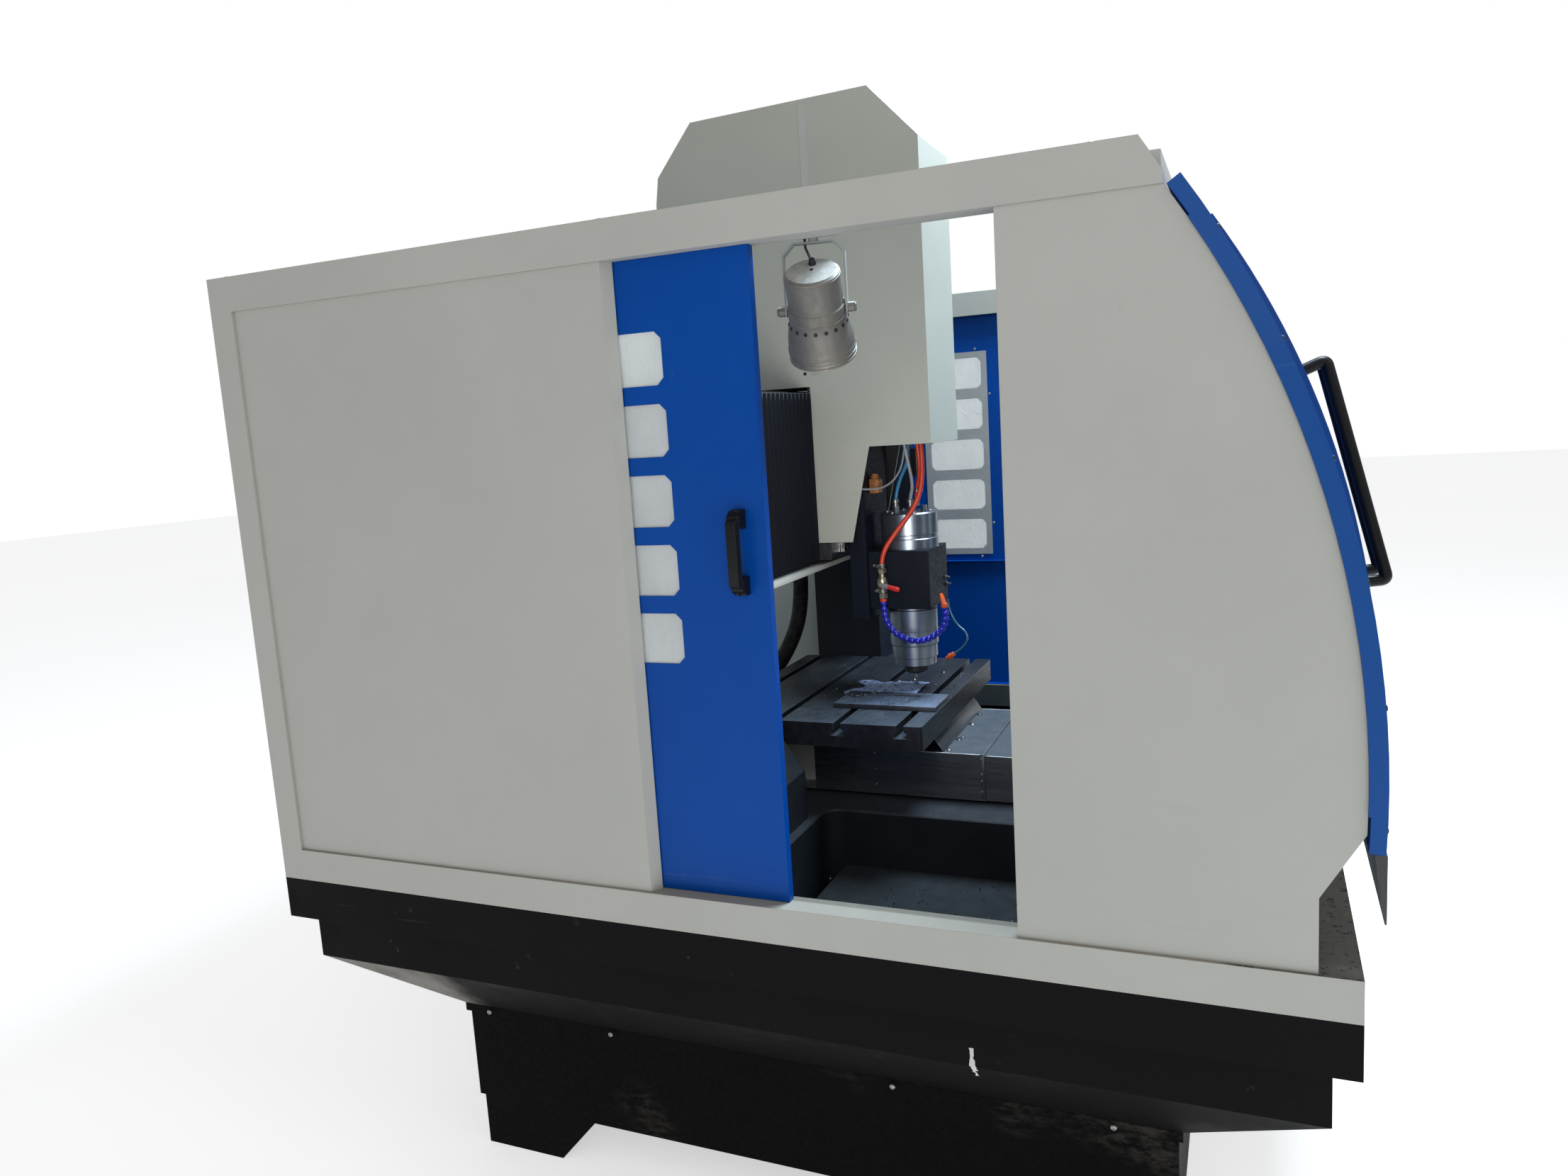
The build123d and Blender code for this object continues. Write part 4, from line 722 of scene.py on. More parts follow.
BUILDERS: dict[Effect, Callable[[], None]] = dict(zip(Effect, (
    build_edges, build_tone, build_orange_peel, build_brushed, build_dust, build_grime_and_shade, build_scuffs, build_stains)))


# -------- finishes


@dataclass
class Look(Graph):
    """A material's graph, with its shader."""

    material: Material
    shader: Node

    def close(self, colour: object, rough: object, height: object, depth: float, under: object = None) -> Material:
        """Feed the shader's colour, roughness and normal.

        Args:
            colour: the base colour.
            rough: the roughness.
            height: the surface's height.
            depth: how deep the height's span is, in metres.
            under: a normal below the height.

        Returns:
            The material.
        """
        normal = self.relief(height, depth, under)
        for name, value in (("Base Color", colour), ("Roughness", rough), ("Normal", normal)):
            self.feed(self.shader.inputs[name], value)
        return self.material

    def rounding(self, radius: float) -> NodeSocket:
        """The normal of softened edges."""
        return self.effect(Effect.EDGES, radius=radius).outputs["Normal"]


@dataclass(frozen=True)
class Finish:
    """What every finish has: a name, a base colour and a roughness."""

    name: str
    colour: Colour
    roughness: float = 0.5

    def start(self, specular: float = 0.5, **others: float) -> Look:
        """Make the material with its shader and plain values.

        Args:
            specular: the shader's specular level.
            others: more of the shader's values, with _ for a space.

        Returns:
            The material's graph.
        """
        material = bpy.data.materials.new(self.name)
        material.use_nodes = True
        material.diffuse_color = (*self.colour, 1)
        shader = next(node for node in material.node_tree.nodes if node.type == "BSDF_PRINCIPLED")
        look = Look(material.node_tree, material, shader)
        plain = {"base_color": self.colour, "roughness": self.roughness, "specular_IOR_level": specular, **others}
        for name, value in plain.items():
            words = [word if word.isupper() else word.title() for word in name.split("_")]
            look.feed(shader.inputs[" ".join(words)], value)
        return look

    def shade(self, factor: float) -> Colour:
        """The base colour made lighter or darker."""
        return tuple(min(1.0, channel * factor) for channel in self.colour)

    def toned(self, look: Look, share: object, darker: float, lighter: float) -> NodeSocket:
        """The base colour between a darker and a lighter shade."""
        return look.blend(share, self.shade(darker), self.shade(lighter))


@dataclass(frozen=True)
class Paint(Finish):
    """Sprayed or powder paint on metal, with edge wear, dust, scuffs, and corner dirt that also paints shade into
    corners.
    """

    texture: float = 0.00004
    texture_scale: float = 700
    tone: float = 0.06
    tone_scale: float = 2.5
    wear: float = 0.0
    wear_colour: Colour = (0.25, 0.24, 0.22)
    edge_radius: float = 0.0015
    dust: float = 0.0
    dust_colour: Colour = (0.3, 0.28, 0.25)
    dust_scale: float = 14
    grime: float = 0.0
    grime_and_shade_colour: Colour = (0.03, 0.028, 0.024)
    scuffs: float = 0.0
    scuff_colour: Colour = (0.2, 0.19, 0.17)
    coat: float = 0.0
    specular: float = 0.5

    def make(self) -> Material:
        """Build the paint.

        Returns:
            The material.
        """
        look = self.start(self.specular, coat_weight=self.coat, coat_roughness=0.08)
        tone = look.mask(Effect.TONE, scale=self.tone_scale)
        colour = self.toned(look, tone, 1 - self.tone, 1 + self.tone)
        rough: object = look.span(tone, 0, 1, self.roughness * 0.9, min(1, self.roughness * 1.1))
        edges = look.effect(Effect.EDGES, radius=self.edge_radius)
        if self.wear:
            patches = look.span(look.noise(90.0, 4, 0.65), 0.62 - 0.3 * self.wear, 0.7)
            colour = look.blend(look.times(edges.outputs["Edge"], patches), colour, self.wear_colour)
        if self.scuffs:
            colour = look.blend(look.mask(Effect.SCUFFS, amount=self.scuffs), colour, self.scuff_colour)
        # Corner dirt by ambient occlusion: real dirt and painted shade in corners and joints.
        if self.grime:
            colour = look.blend(look.mask(Effect.GRIME, amount=self.grime), colour, self.grime_and_shade_colour)
        if self.dust:
            dusty = look.mask(Effect.DUST, amount=self.dust, scale=self.dust_scale)
            colour = look.blend(dusty, colour, self.dust_colour)
            rough = look.plus(rough, look.times(dusty, 0.4))
        height = look.mask(Effect.ORANGE_PEEL, scale=self.texture_scale)
        return look.close(self.soil_and_shade(look, colour), rough, height, self.texture, edges.outputs["Normal"])

    def soil_and_shade(self, look: Look, colour: object) -> object:
        """The colour with marks that lie in set places. Plain paint has none."""
        return colour


@dataclass(frozen=True)
class Steel(Finish):
    """Ground, brushed or turned metal with streaks and stains."""

    stretch: Point = (0.03, 1, 1)
    streak_scale: float = 500
    streak_depth: float = 0.00002
    streak_tone: float = 0.25
    stain: float = 0.0
    stain_colour: Colour = (0.05, 0.045, 0.04)
    stain_scale: float = 9
    edge_radius: float = 0.0008
    grime: float = 0.0
    metallic: float = 1.0
    dust: float = 0.0
    dust_colour: Colour = (0.2, 0.2, 0.2)
    dust_scale: float = 12
    patchy: float = 0.4
    rough_spread: float = 1.0
    painted_glint: float = 0.0

    def make(self) -> Material:
        """Build the metal.

        Returns:
            The material.
        """
        look = self.start(metallic=self.metallic)
        along = dict(zip(("along_x", "along_y", "along_z"), self.stretch))
        fine, wide = look.effect(Effect.BRUSHED, scale=self.streak_scale, **along).outputs
        colour = self.toned(look, look.span(wide, 0.3, 0.7), 1 - self.streak_tone, 1 + self.streak_tone)
        spread = (1 - 0.25 * self.rough_spread, 1 + 0.3 * self.rough_spread)
        rough = look.span(fine, 0.3, 0.7, self.roughness * spread[0], self.roughness * spread[1])
        if self.stain:
            film, rim = look.effect(Effect.STAINS, scale=self.stain_scale).outputs
            film = look.times(film, self.stain)
            colour = look.blend(film, colour, self.stain_colour)
            dark_rim = tuple(channel * 0.5 for channel in self.stain_colour)
            colour = look.blend(look.times(rim, self.stain * 0.6), colour, dark_rim)
            rough = look.plus(rough, look.times(film, 0.25))
            look.feed(look.shader.inputs["Metallic"], look.span(film, 0, 1, self.metallic, self.metallic * 0.6))
        # Corner dirt by ambient occlusion: real dirt and painted shade in corners and joints.
        if self.grime:
            colour = look.blend(look.mask(Effect.GRIME, amount=self.grime, reach=0.015), colour, (0.02, 0.019, 0.018))
        # Colour on up-facing faces: on the lamp it is painted light on the top; on the way covers it is dust and
        # painted light.
        if self.dust:
            dusty = look.mask(Effect.DUST, amount=self.dust, scale=self.dust_scale, patchy=self.patchy)
            colour = look.blend(dusty, colour, self.dust_colour)
            rough = look.plus(rough, look.times(dusty, 0.3))
            bare = look.span(dusty, 0, self.dust, self.metallic, self.metallic * 0.3)
            look.feed(look.shader.inputs["Metallic"], bare)
        under = None
        if self.edge_radius:
            under, edge = look.effect(Effect.EDGES, radius=self.edge_radius).outputs
            # Painted highlight: a pale colour blended along the edges.
            if self.painted_glint:
                colour = look.blend(look.times(edge, self.painted_glint), colour, (0.9, 0.92, 0.94))
        return look.close(colour, rough, fine, self.streak_depth, under)


@dataclass(frozen=True)
class Moulding(Finish):
    """Moulded plastic or rubber with a fine skin."""

    skin: float = 0.00003
    skin_scale: float = 900
    tone: float = 0.08
    dust: float = 0.0
    dust_colour: Colour = (0.25, 0.24, 0.23)
    coat: float = 0.0
    specular: float = 0.5
    edge_radius: float = 0.0008

    def make(self) -> Material:
        """Build the moulding.

        Returns:
            The material.
        """
        look = self.start(self.specular, coat_weight=self.coat)
        colour = self.toned(look, look.mask(Effect.TONE, scale=18), 1 - self.tone, 1 + self.tone)
        if self.dust:
            colour = look.blend(look.mask(Effect.DUST, amount=self.dust, scale=40), colour, self.dust_colour)
        height = look.mask(Effect.ORANGE_PEEL, scale=self.skin_scale)
        rough = look.span(height, 0.3, 0.7, self.roughness * 0.85, min(1, self.roughness * 1.15))
        return look.close(colour, rough, height, self.skin, look.rounding(self.edge_radius))


@dataclass(frozen=True)
class TankPaint(Finish):
    """Black tank paint with settled dust, pale towards the hopper's rear end, darker on faces that look down as painted
    shade, with a run of white paint on it.
    """

    end_colour: Colour = (0.2, 0.19, 0.172)
    end_start: float = 0.76
    hopper_top: float = 0.519
    drip_y: float = -0.453
    drip_span: tuple[float, float] = (0.478, 0.556)
    near_x: float = -0.5

    def make(self) -> Material:
        """Build the tank's paint.

        Returns:
            The material.
        """
        look = self.start(0.07)
        x, y, z = look.node("SeparateXYZ", {0: look.place()}).outputs
        # Paler towards the hopper's rear end, in patches, below the hopper's top edge.
        below = look.span(z, self.hopper_top + 0.002, self.hopper_top - 0.002)
        patches = look.noise(11.0, 5, 0.6)
        ends = look.span(look.plus(y, look.times(patches, 0.1)), self.end_start, self.end_start + 0.1)
        share = look.times(below, ends, look.span(patches, 0.25, 0.6, 0.6, 1))
        tone = look.mask(Effect.TONE, scale=5)
        colour = self.toned(look, tone, 1, 1.7)
        colour = look.blend(look.mask(Effect.SCUFFS, amount=0.35), colour, (0.07, 0.065, 0.06))
        # Painted shade: faces that look down are darkened towards black.
        colour = look.blend(look.span(look.facing(2), -0.2, -0.5, 0, 0.8), colour, (0.0006, 0.0005, 0.0005))
        colour = look.blend(share, colour, self.end_colour)
        colour = look.blend(self.drip(look, x, y, z), colour, (0.62, 0.62, 0.6))
        colour = look.blend(look.mask(Effect.DUST, amount=0.6, scale=30, patchy=0.25), colour, (0.034, 0.041, 0.046))
        rough = look.span(tone, 0, 1, self.roughness, self.roughness + 0.15)
        height = look.mask(Effect.ORANGE_PEEL, scale=400)
        return look.close(colour, rough, height, 0.00006, look.rounding(0.002))

    def drip(self, look: Look, x: NodeSocket, y: NodeSocket, z: NodeSocket) -> NodeSocket:
        """The mask of the white paint that has run down the near side.

        Args:
            look: the material's graph.
            x: the place along the machine's width.
            y: the place along its depth.
            z: the height.

        Returns:
            The mask.
        """
        sway = look.calc("MULTIPLY_ADD", look.noise(35.0, 2), 0.012, -self.drip_y)
        across = look.calc("ABSOLUTE", look.plus(y, sway))
        line = look.calc("LESS_THAN", across, look.span(look.noise(60.0, 2), 0.35, 0.65, 0.0015, 0.005))
        low, high = self.drip_span
        above, under = look.calc("GREATER_THAN", z, low), look.calc("LESS_THAN", z, high)
        return look.times(line, above, under, look.calc("LESS_THAN", x, self.near_x))


@dataclass(frozen=True)
class Casting(Finish):
    """Painted cast iron: sand texture under the paint, rubbed edges, dusty smudges."""

    sand: float = 0.0004
    smudge: float = 0.0
    smudge_colour: Colour = (0.05, 0.045, 0.038)
    smudge_scale: float = 2.2
    wear: float = 0.3
    dust: float = 0.3
    dust_colour: Colour = (0.06, 0.058, 0.056)
    specular: float = 0.2

    def make(self) -> Material:
        """Build the casting's paint.

        Returns:
            The material.
        """
        look = self.start(self.specular)
        colour = self.toned(look, look.mask(Effect.TONE, scale=3), 0.75, 1.3)
        sand = look.noise(160.0, 4, 0.6)
        lumps = look.noise(24.0, 2, 0.5)
        if self.smudge:
            streaky = look.noise(26.0, 5, 0.7, look.place((1, 1, 2.5)))
            patches = look.span(look.noise(self.smudge_scale, 2, 0.5), 0.58, 0.7)
            share = look.times(patches, look.span(streaky, 0.42, 0.65), self.smudge)
            colour = look.blend(share, colour, self.smudge_colour)
        under, edge = look.effect(Effect.EDGES, radius=0.003).outputs
        worn = look.times(edge, look.span(look.noise(60.0, 4, 0.65), 0.66 - 0.3 * self.wear, 0.72))
        colour = look.blend(worn, colour, (0.11, 0.1, 0.09))
        colour = look.blend(look.mask(Effect.DUST, amount=self.dust, scale=18, patchy=0.45), colour, self.dust_colour)
        height = look.plus(look.times(sand, 0.35), look.times(lumps, 0.65))
        rough = look.span(sand, 0.3, 0.7, self.roughness - 0.08, self.roughness + 0.12)
        return look.close(colour, rough, height, self.sand, under)


@dataclass(frozen=True)
class Film(Finish):
    """Frosted window sheet with the slack wrinkles of its film."""

    wrinkle: float = 0.0008
    transmission: float = 0.56

    def make(self) -> Material:
        """Build the frosted sheet.

        Returns:
            The material.
        """
        look = self.start(0.4, transmission_weight=self.transmission)
        folds = look.noise(17.0, 3, 0.5, look.place((1, 1.3, 0.8), (0.6, 0, 0)), 1.1)
        creases = look.span(look.calc("ABSOLUTE", look.calc("SUBTRACT", folds, 0.5)), 0.06, 0.0)
        colour = self.toned(look, look.mask(Effect.TONE, scale=14), 0.93, 1)
        colour = look.blend(look.times(creases, 0.14), colour, self.shade(0.8))
        rough = look.span(folds, 0.3, 0.7, self.roughness, self.roughness + 0.12)
        return look.close(colour, rough, look.plus(folds, look.times(creases, 0.25)), self.wrinkle)


@dataclass(frozen=True)
class ClearSheet(Finish):
    """Clear window sheet, faintly hazed by fine wiping marks."""

    def make(self) -> Material:
        """Build the clear sheet.

        Returns:
            The material.
        """
        look = self.start(0.5, transmission_weight=0.92, IOR=1.49)
        haze = look.mask(Effect.TONE, scale=9)
        wipes = look.mask(Effect.SCUFFS, scale=60, amount=0.6)
        rough = look.plus(look.span(haze, 0, 1, 0.03, 0.09), look.times(wipes, 0.2))
        return look.close(self.toned(look, haze, 1, 0.96), rough, look.noise(40.0, 1), 0.0001)


@dataclass(frozen=True)
class PleatedCloth(Finish):
    """Coated cloth of the bellows, with painted light: paler outer folds, and a painted highlight on the top crests."""

    lit_fold_colour: Colour = (0.011, 0.013, 0.02)
    crest_highlight_colour: Colour = (0.11, 0.12, 0.135)
    crest_highlight_low: float = 1.735

    def make(self) -> Material:
        """Build the cloth. The attribute named fold is 1 on the outer folds and 0 in the valleys.

        Returns:
            The material.
        """
        look = self.start(0.12)
        fold = look.node("Attribute", attribute_name="fold").outputs["Fac"]
        weave = look.noise(900.0, 2, 0.5, look.place((1, 1, 0.35)))
        # Painted light: the outer folds are paler than the valleys, in patches.
        rubbed = look.times(look.span(fold, 0.88, 1.0), look.span(look.noise(30.0, 3), 0.3, 0.65, 0.25, 1))
        colour = self.toned(look, look.mask(Effect.TONE, scale=8), 1, 1.5)
        colour = look.blend(rubbed, colour, self.lit_fold_colour)
        # Painted highlight: the outer folds' top crests are pale.
        high = look.span(look.axis(look.place(), 2), self.crest_highlight_low, self.crest_highlight_low + 0.02)
        colour = look.blend(look.times(high, look.span(fold, 0.8, 1.0)), colour, self.crest_highlight_colour)
        rough = look.span(weave, 0.3, 0.7, self.roughness - 0.06, self.roughness + 0.1)
        return look.close(colour, rough, weave, 0.00006)


@dataclass(frozen=True)
class TableIron(Finish):
    """Machined iron under oil: cross-milled lines, fine chips in the oil, and a painted highlight on the edges."""

    chip_scale: float = 420
    chips: float = 0.4
    haze: Colour = (0.11, 0.14, 0.18)
    # The colour of the painted edge highlight.
    bright: Colour = (0.34, 0.36, 0.4)

    def make(self) -> Material:
        """Build the table's iron.

        Returns:
            The material.
        """
        look = self.start(metallic=0.55)
        streaks, wide = look.effect(Effect.BRUSHED, along_x=0.05, along_y=1.0, along_z=1.0, scale=380).outputs
        top = look.span(look.facing(2), 0.6, 0.95)
        colour = self.toned(look, look.span(wide, 0.3, 0.7), 1, 1.8)
        colour = look.blend(look.times(look.mask(Effect.STAINS, scale=6), 0.6), colour, self.shade(0.55))
        colour = look.blend(look.times(top, 0.3), colour, (0.035, 0.04, 0.05))
        near = look.span(look.axis(look.place(), 0), 0.0, -0.24, 0, 0.62)
        haze = look.times(top, near, look.span(look.noise(14.0, 5, 0.65), 0.3, 0.6, 0.45, 1))
        colour = look.blend(haze, colour, self.haze)
        strewn = look.span(look.noise(7.0, 4, 0.65), 0.45, 0.68)
        flakes = look.times(look.span(look.grains(self.chip_scale), 0.72, 0.9), strewn, look.times(top, self.chips))
        colour = look.blend(flakes, colour, (0.17, 0.16, 0.17))
        under, edge = look.effect(Effect.EDGES, radius=0.0015).outputs
        # Painted highlight: the edges are blended towards a bright colour.
        colour = look.blend(look.times(edge, 0.7), colour, self.bright)
        rough = look.span(streaks, 0.3, 0.7, self.roughness - 0.07, self.roughness + 0.07)
        height = look.plus(streaks, look.times(flakes, 6.0))
        return look.close(colour, look.plus(rough, look.times(flakes, 0.3)), height, 0.00008, under)


@dataclass(frozen=True)
class ChipCrust(Finish):
    """Fine chips pressed together: a mottled bluish gray crust with dark clumps."""

    dark: Colour = (0.045, 0.058, 0.09)
    bright: Colour = (0.48, 0.57, 0.8)

    def make(self) -> Material:
        """Build the crust.

        Returns:
            The material.
        """
        look = self.start(0.3)
        lot = look.grains(700.0)
        clumps = look.noise(75.0, 4, 0.65)
        colour = look.blend(look.span(clumps, 0.32, 0.5), self.dark, self.colour)
        glinting = look.times(look.span(lot, 0.6, 0.95), look.span(clumps, 0.4, 0.6))
        colour = look.blend(glinting, colour, self.bright)
        return look.close(colour, look.span(lot, 0, 1, 0.35, 0.7), look.plus(lot, look.noise(900.0, 2, 0.5)), 0.0009)


@dataclass(frozen=True)
class CabinPaint(Paint):
    """Frame paint darkened on the sills' inner sides as painted shade, with dirt on top of the front sill's corners."""

    sill_shade_colour: Colour = (0.055, 0.066, 0.072)
    spot_colour: Colour = (0.022, 0.02, 0.017)
    sill_top: float = 0.8
    inner_side: float = 0.875
    corner_start: float = -0.86

    def soil_and_shade(self, look: Look, colour: object) -> object:
        """Painted shade on the sills' inner sides, and dirt on the front corners' top.

        Args:
            look: the material's graph.
            colour: the paint's colour.

        Returns:
            The colour with the painted shade and the dirt.
        """
        x, y, z = look.node("SeparateXYZ", {0: look.place()}).outputs
        low = look.span(z, self.sill_top + 0.004, self.sill_top - 0.004)
        # Painted shade: the sills' inner sides below their top are darkened.
        inside = look.times(look.span(look.calc("ABSOLUTE", x), self.inner_side, self.inner_side - 0.008), low)
        film = look.times(inside, look.span(look.noise(9.0, 4, 0.6), 0.2, 0.55, 0.75, 0.97))
        colour = look.blend(film, colour, self.sill_shade_colour)
        up = look.span(look.facing(2), 0.6, 0.9)
        corner = look.times(look.span(y, self.corner_start, self.corner_start - 0.06), low, up)
        dust = look.times(corner, look.span(look.noise(13.0, 5, 0.65), 0.3, 0.6, 0.55, 0.9))
        colour = look.blend(look.times(low, up, 0.55), colour, (0.27, 0.235, 0.175))
        colour = look.blend(dust, colour, (0.11, 0.105, 0.09))
        spots = look.times(corner, look.span(look.noise(70.0, 4, 0.7), 0.56, 0.64))
        return look.blend(spots, colour, self.spot_colour)


@dataclass(frozen=True)
class CoverPaint(Paint):
    """Cover paint, painted dark on its inner faces as painted shade."""

    inner_shade: Colour = (0.012, 0.013, 0.015)

    def soil_and_shade(self, look: Look, colour: object) -> object:
        """Painted shade where a side sheet looks inward, and on the front sheet's inner face.

        Args:
            look: the material's graph.
            colour: the paint's colour.

        Returns:
            The colour with the primer.
        """
        place = look.place()
        sides = look.span(look.times(look.axis(place, 0), look.facing(0, "True Normal")), -0.03, -0.08)
        turned_in = look.span(look.facing(1, "True Normal"), 0.6, 0.9)
        front = look.times(turned_in, look.span(look.axis(place, 1), -0.02, -0.06))
        # Painted shade: the inner faces are darkened.
        return look.blend(look.calc("MAXIMUM", sides, front), colour, self.inner_shade)


@dataclass(frozen=True)
class Glow(Finish):
    """The lamp's dull bulb glass."""

    def make(self) -> Material:
        """Build the bulb's glass.

        Returns:
            The material.
        """
        look = self.start(0.5)
        haze = look.mask(Effect.TONE, scale=40)
        look.feed(look.shader.inputs["Base Color"], self.toned(look, haze, 1, 0.9))
        look.feed(look.shader.inputs["Roughness"], look.span(haze, 0, 1, 0.12, 0.22))
        return look.material


BEIGE = (0.425, 0.42, 0.385)

FINISHES: tuple[Finish, ...] = (
    Casting("cast_black", (0.002, 0.0018, 0.0017), 0.62, smudge=0.6, specular=0.06, dust=0.1, wear=0.15),
    TankPaint("tank_black", (0.0034, 0.0032, 0.0032), 0.52),
    Casting("bed_paint", (0.012, 0.0145, 0.018), 0.5, sand=0.0003, dust=0.6, dust_colour=(0.04, 0.047, 0.054)),
    Casting("beam_paint", (0.015, 0.018, 0.023), 0.45, sand=0.0002, dust=0.3),
    Steel("ground_steel", (0.5, 0.5, 0.49), 0.25, stain=0.3),
    Steel("dark_steel", (0.06, 0.063, 0.07), 0.4, stain=0.4, metallic=0.7),
    Paint("motor_black", (0.012, 0.012, 0.013), 0.45, specular=0.3, dust=0.4),
    # The way covers' up-facing dust is partly real dust and partly painted light on the tops; the pale edge colour is a
    # painted highlight.
    Steel("cover_steel", (0.17, 0.18, 0.19), 0.34, stretch=(1, 0.03, 1), streak_tone=0.07, streak_depth=0.000003,
        stain=0.1,
          stain_colour=(0.07, 0.07, 0.07), grime=0.5, metallic=0.85, dust=0.96, dust_colour=(0.04, 0.052, 0.066),
          dust_scale=18, patchy=0.3, painted_glint=0.8),
    CabinPaint("frame_beige", BEIGE, 0.52, texture_scale=900, tone=0.03, dust=0.25, dust_scale=9,
        dust_colour=(0.2, 0.19, 0.17),
          scuffs=0.12, scuff_colour=(0.24, 0.225, 0.2), wear=0.12, grime=0.25, grime_and_shade_colour=(0.2, 0.18, 0.15),
          specular=0.35),
    Paint("panel_beige", BEIGE, 0.52, texture_scale=900, tone=0.035, tone_scale=1.4, scuffs=0.1,
        scuff_colour=(0.25, 0.235, 0.21),
          grime=0.2, grime_and_shade_colour=(0.22, 0.2, 0.17), specular=0.35),
    Paint("door_blue", (0.0004, 0.058, 0.315), 0.36, texture=0.00002, texture_scale=260, tone=0.05, coat=0.04,
        scuffs=0.1,
          scuff_colour=(0.1, 0.2, 0.45), specular=0.1),
    Paint("wing_blue", (0.0012, 0.062, 0.27), 0.4, texture=0.00002, texture_scale=260, tone=0.05, coat=0.06, scuffs=0.1,
          scuff_colour=(0.1, 0.2, 0.45), specular=0.2),
    Film("window_clear", (0.89, 0.91, 0.9), 0.3),
    ClearSheet("window_tinted", (0.86, 0.93, 0.94), 0.05),
    Moulding("handle_black", (0.005, 0.0055, 0.007), 0.45, specular=0.22, dust=0.05),
    Paint("tube_black", (0.005, 0.005, 0.006), 0.4, texture=0.00001, texture_scale=200, coat=0.04, wear=0.1,
        specular=0.18),
    Paint("rail_black", (0.05, 0.05, 0.052), 0.45, wear=0.6, dust=0.4, specular=0.3),
    CoverPaint("cover_olive", (0.43, 0.44, 0.385), 0.5, texture_scale=800, tone=0.04, tone_scale=2, grime=0.3,
        grime_and_shade_colour=(0.12, 0.12, 0.09),
          scuffs=0.1, specular=0.35),
    PleatedCloth("bellows_black", (0.0032, 0.004, 0.0068), 0.66),
    Moulding("conduit_black", (0.009, 0.009, 0.01), 0.5, specular=0.35, dust=0.35),
    Steel("spindle_steel", (0.28, 0.32, 0.37), 0.305, stretch=(0.2, 0.2, 1), streak_scale=260, streak_depth=0.0000004,
        streak_tone=0.05,
          metallic=0.9, rough_spread=0.08, edge_radius=0),
    Steel("nut_steel", (0.05, 0.05, 0.055), 0.35, stain=0.3, stain_scale=90, metallic=0.8),
    Casting("clamp_paint", (0.0055, 0.008, 0.0145), 0.5, sand=0.000006, dust=0.1, wear=0.4, specular=0.12),
    Steel("brass", (0.45, 0.38, 0.24), 0.3, stain=0.4, stain_scale=60, stain_colour=(0.35, 0.34, 0.33)),
    Moulding("lever_red", (0.55, 0.02, 0.012), 0.3, coat=0.3),
    Moulding("hose_blue", (0.012, 0.016, 0.36), 0.28, coat=0.2, tone=0.15),
    Moulding("nozzle_orange", (0.56, 0.085, 0.014), 0.35, tone=0.15),
    Moulding("tube_blue", (0.02, 0.2, 0.42), 0.2, coat=0.3),
    Moulding("mist_blue", (0.035, 0.12, 0.17), 0.22, coat=0.2),
    Moulding("hose_red", (0.6, 0.045, 0.016), 0.38, tone=0.15),
    Moulding("line_gray", (0.3, 0.32, 0.34), 0.4),
    Steel("lever_steel", (0.45, 0.43, 0.4), 0.35, stain=0.3, stain_scale=200),
    Steel("carbide", (0.4, 0.4, 0.42), 0.28, streak_scale=800),
    TableIron("table_iron", (0.016, 0.018, 0.022), 0.42),
    TableIron("plate_iron", (0.045, 0.048, 0.058), 0.42, chips=0.9, haze=(0.2, 0.27, 0.4)),
    # The pale dust on the lamp's up-facing faces is painted light: it lights the top as if from above.
    Steel("lamp_metal", (0.21, 0.198, 0.175), 0.55, stretch=(1, 1, 0.4), streak_scale=60, streak_depth=0.000002,
        streak_tone=0.05, stain=0.1,
          stain_scale=16, stain_colour=(0.12, 0.11, 0.09), metallic=0.5, dust=0.85, dust_colour=(0.62, 0.61, 0.57),
          dust_scale=60),
    Paint("lamp_bracket", (0.33, 0.34, 0.33), 0.45, wear=0.3),
    Moulding("lamp_cable", (0.05, 0.05, 0.055), 0.45),
    Paint("strap_pale", (0.43, 0.44, 0.4), 0.5, texture_scale=800),
    # Painted highlight: the pale paint of the way covers' edge beads.
    Paint("edge_highlight_paint", (0.62, 0.66, 0.7), 0.35, texture_scale=800, tone=0.3, tone_scale=30),
    Steel("screw_zinc", (0.42, 0.42, 0.4), 0.35, stain=0.35, stain_scale=300),
    Steel("screw_black", (0.02, 0.02, 0.022), 0.45, metallic=0.5, stain=0.2, stain_scale=300),
    Moulding("seal_rubber", (0.012, 0.012, 0.013), 0.6),
    Steel("chip_metal", (0.1, 0.1, 0.11), 0.35, stain=0.3, stain_scale=200),
    Steel("chip_bright", (0.16, 0.165, 0.19), 0.4, stain=0.3, stain_scale=200),
    ChipCrust("chip_crust", (0.2, 0.26, 0.43), 0.6),
    Glow("bulb_glass", (0.85, 0.84, 0.8), 0.15),
    Moulding("plug_orange", (0.36, 0.13, 0.035), 0.45, dust=0.2),
    Moulding("block_seal", (0.03, 0.16, 0.09), 0.45),
)


class Finishes:
    """The materials, each built once and found by its finish's name."""

    def __init__(self) -> None:
        """Build every finish's material."""
        self.materials: dict[str, Material] = {finish.name: finish.make() for finish in FINISHES}

    def put_on(self, piece: Object, name: str) -> None:
        """Give a piece one finish all over."""
        piece.data.materials.clear()
        piece.data.materials.append(self.materials[name])


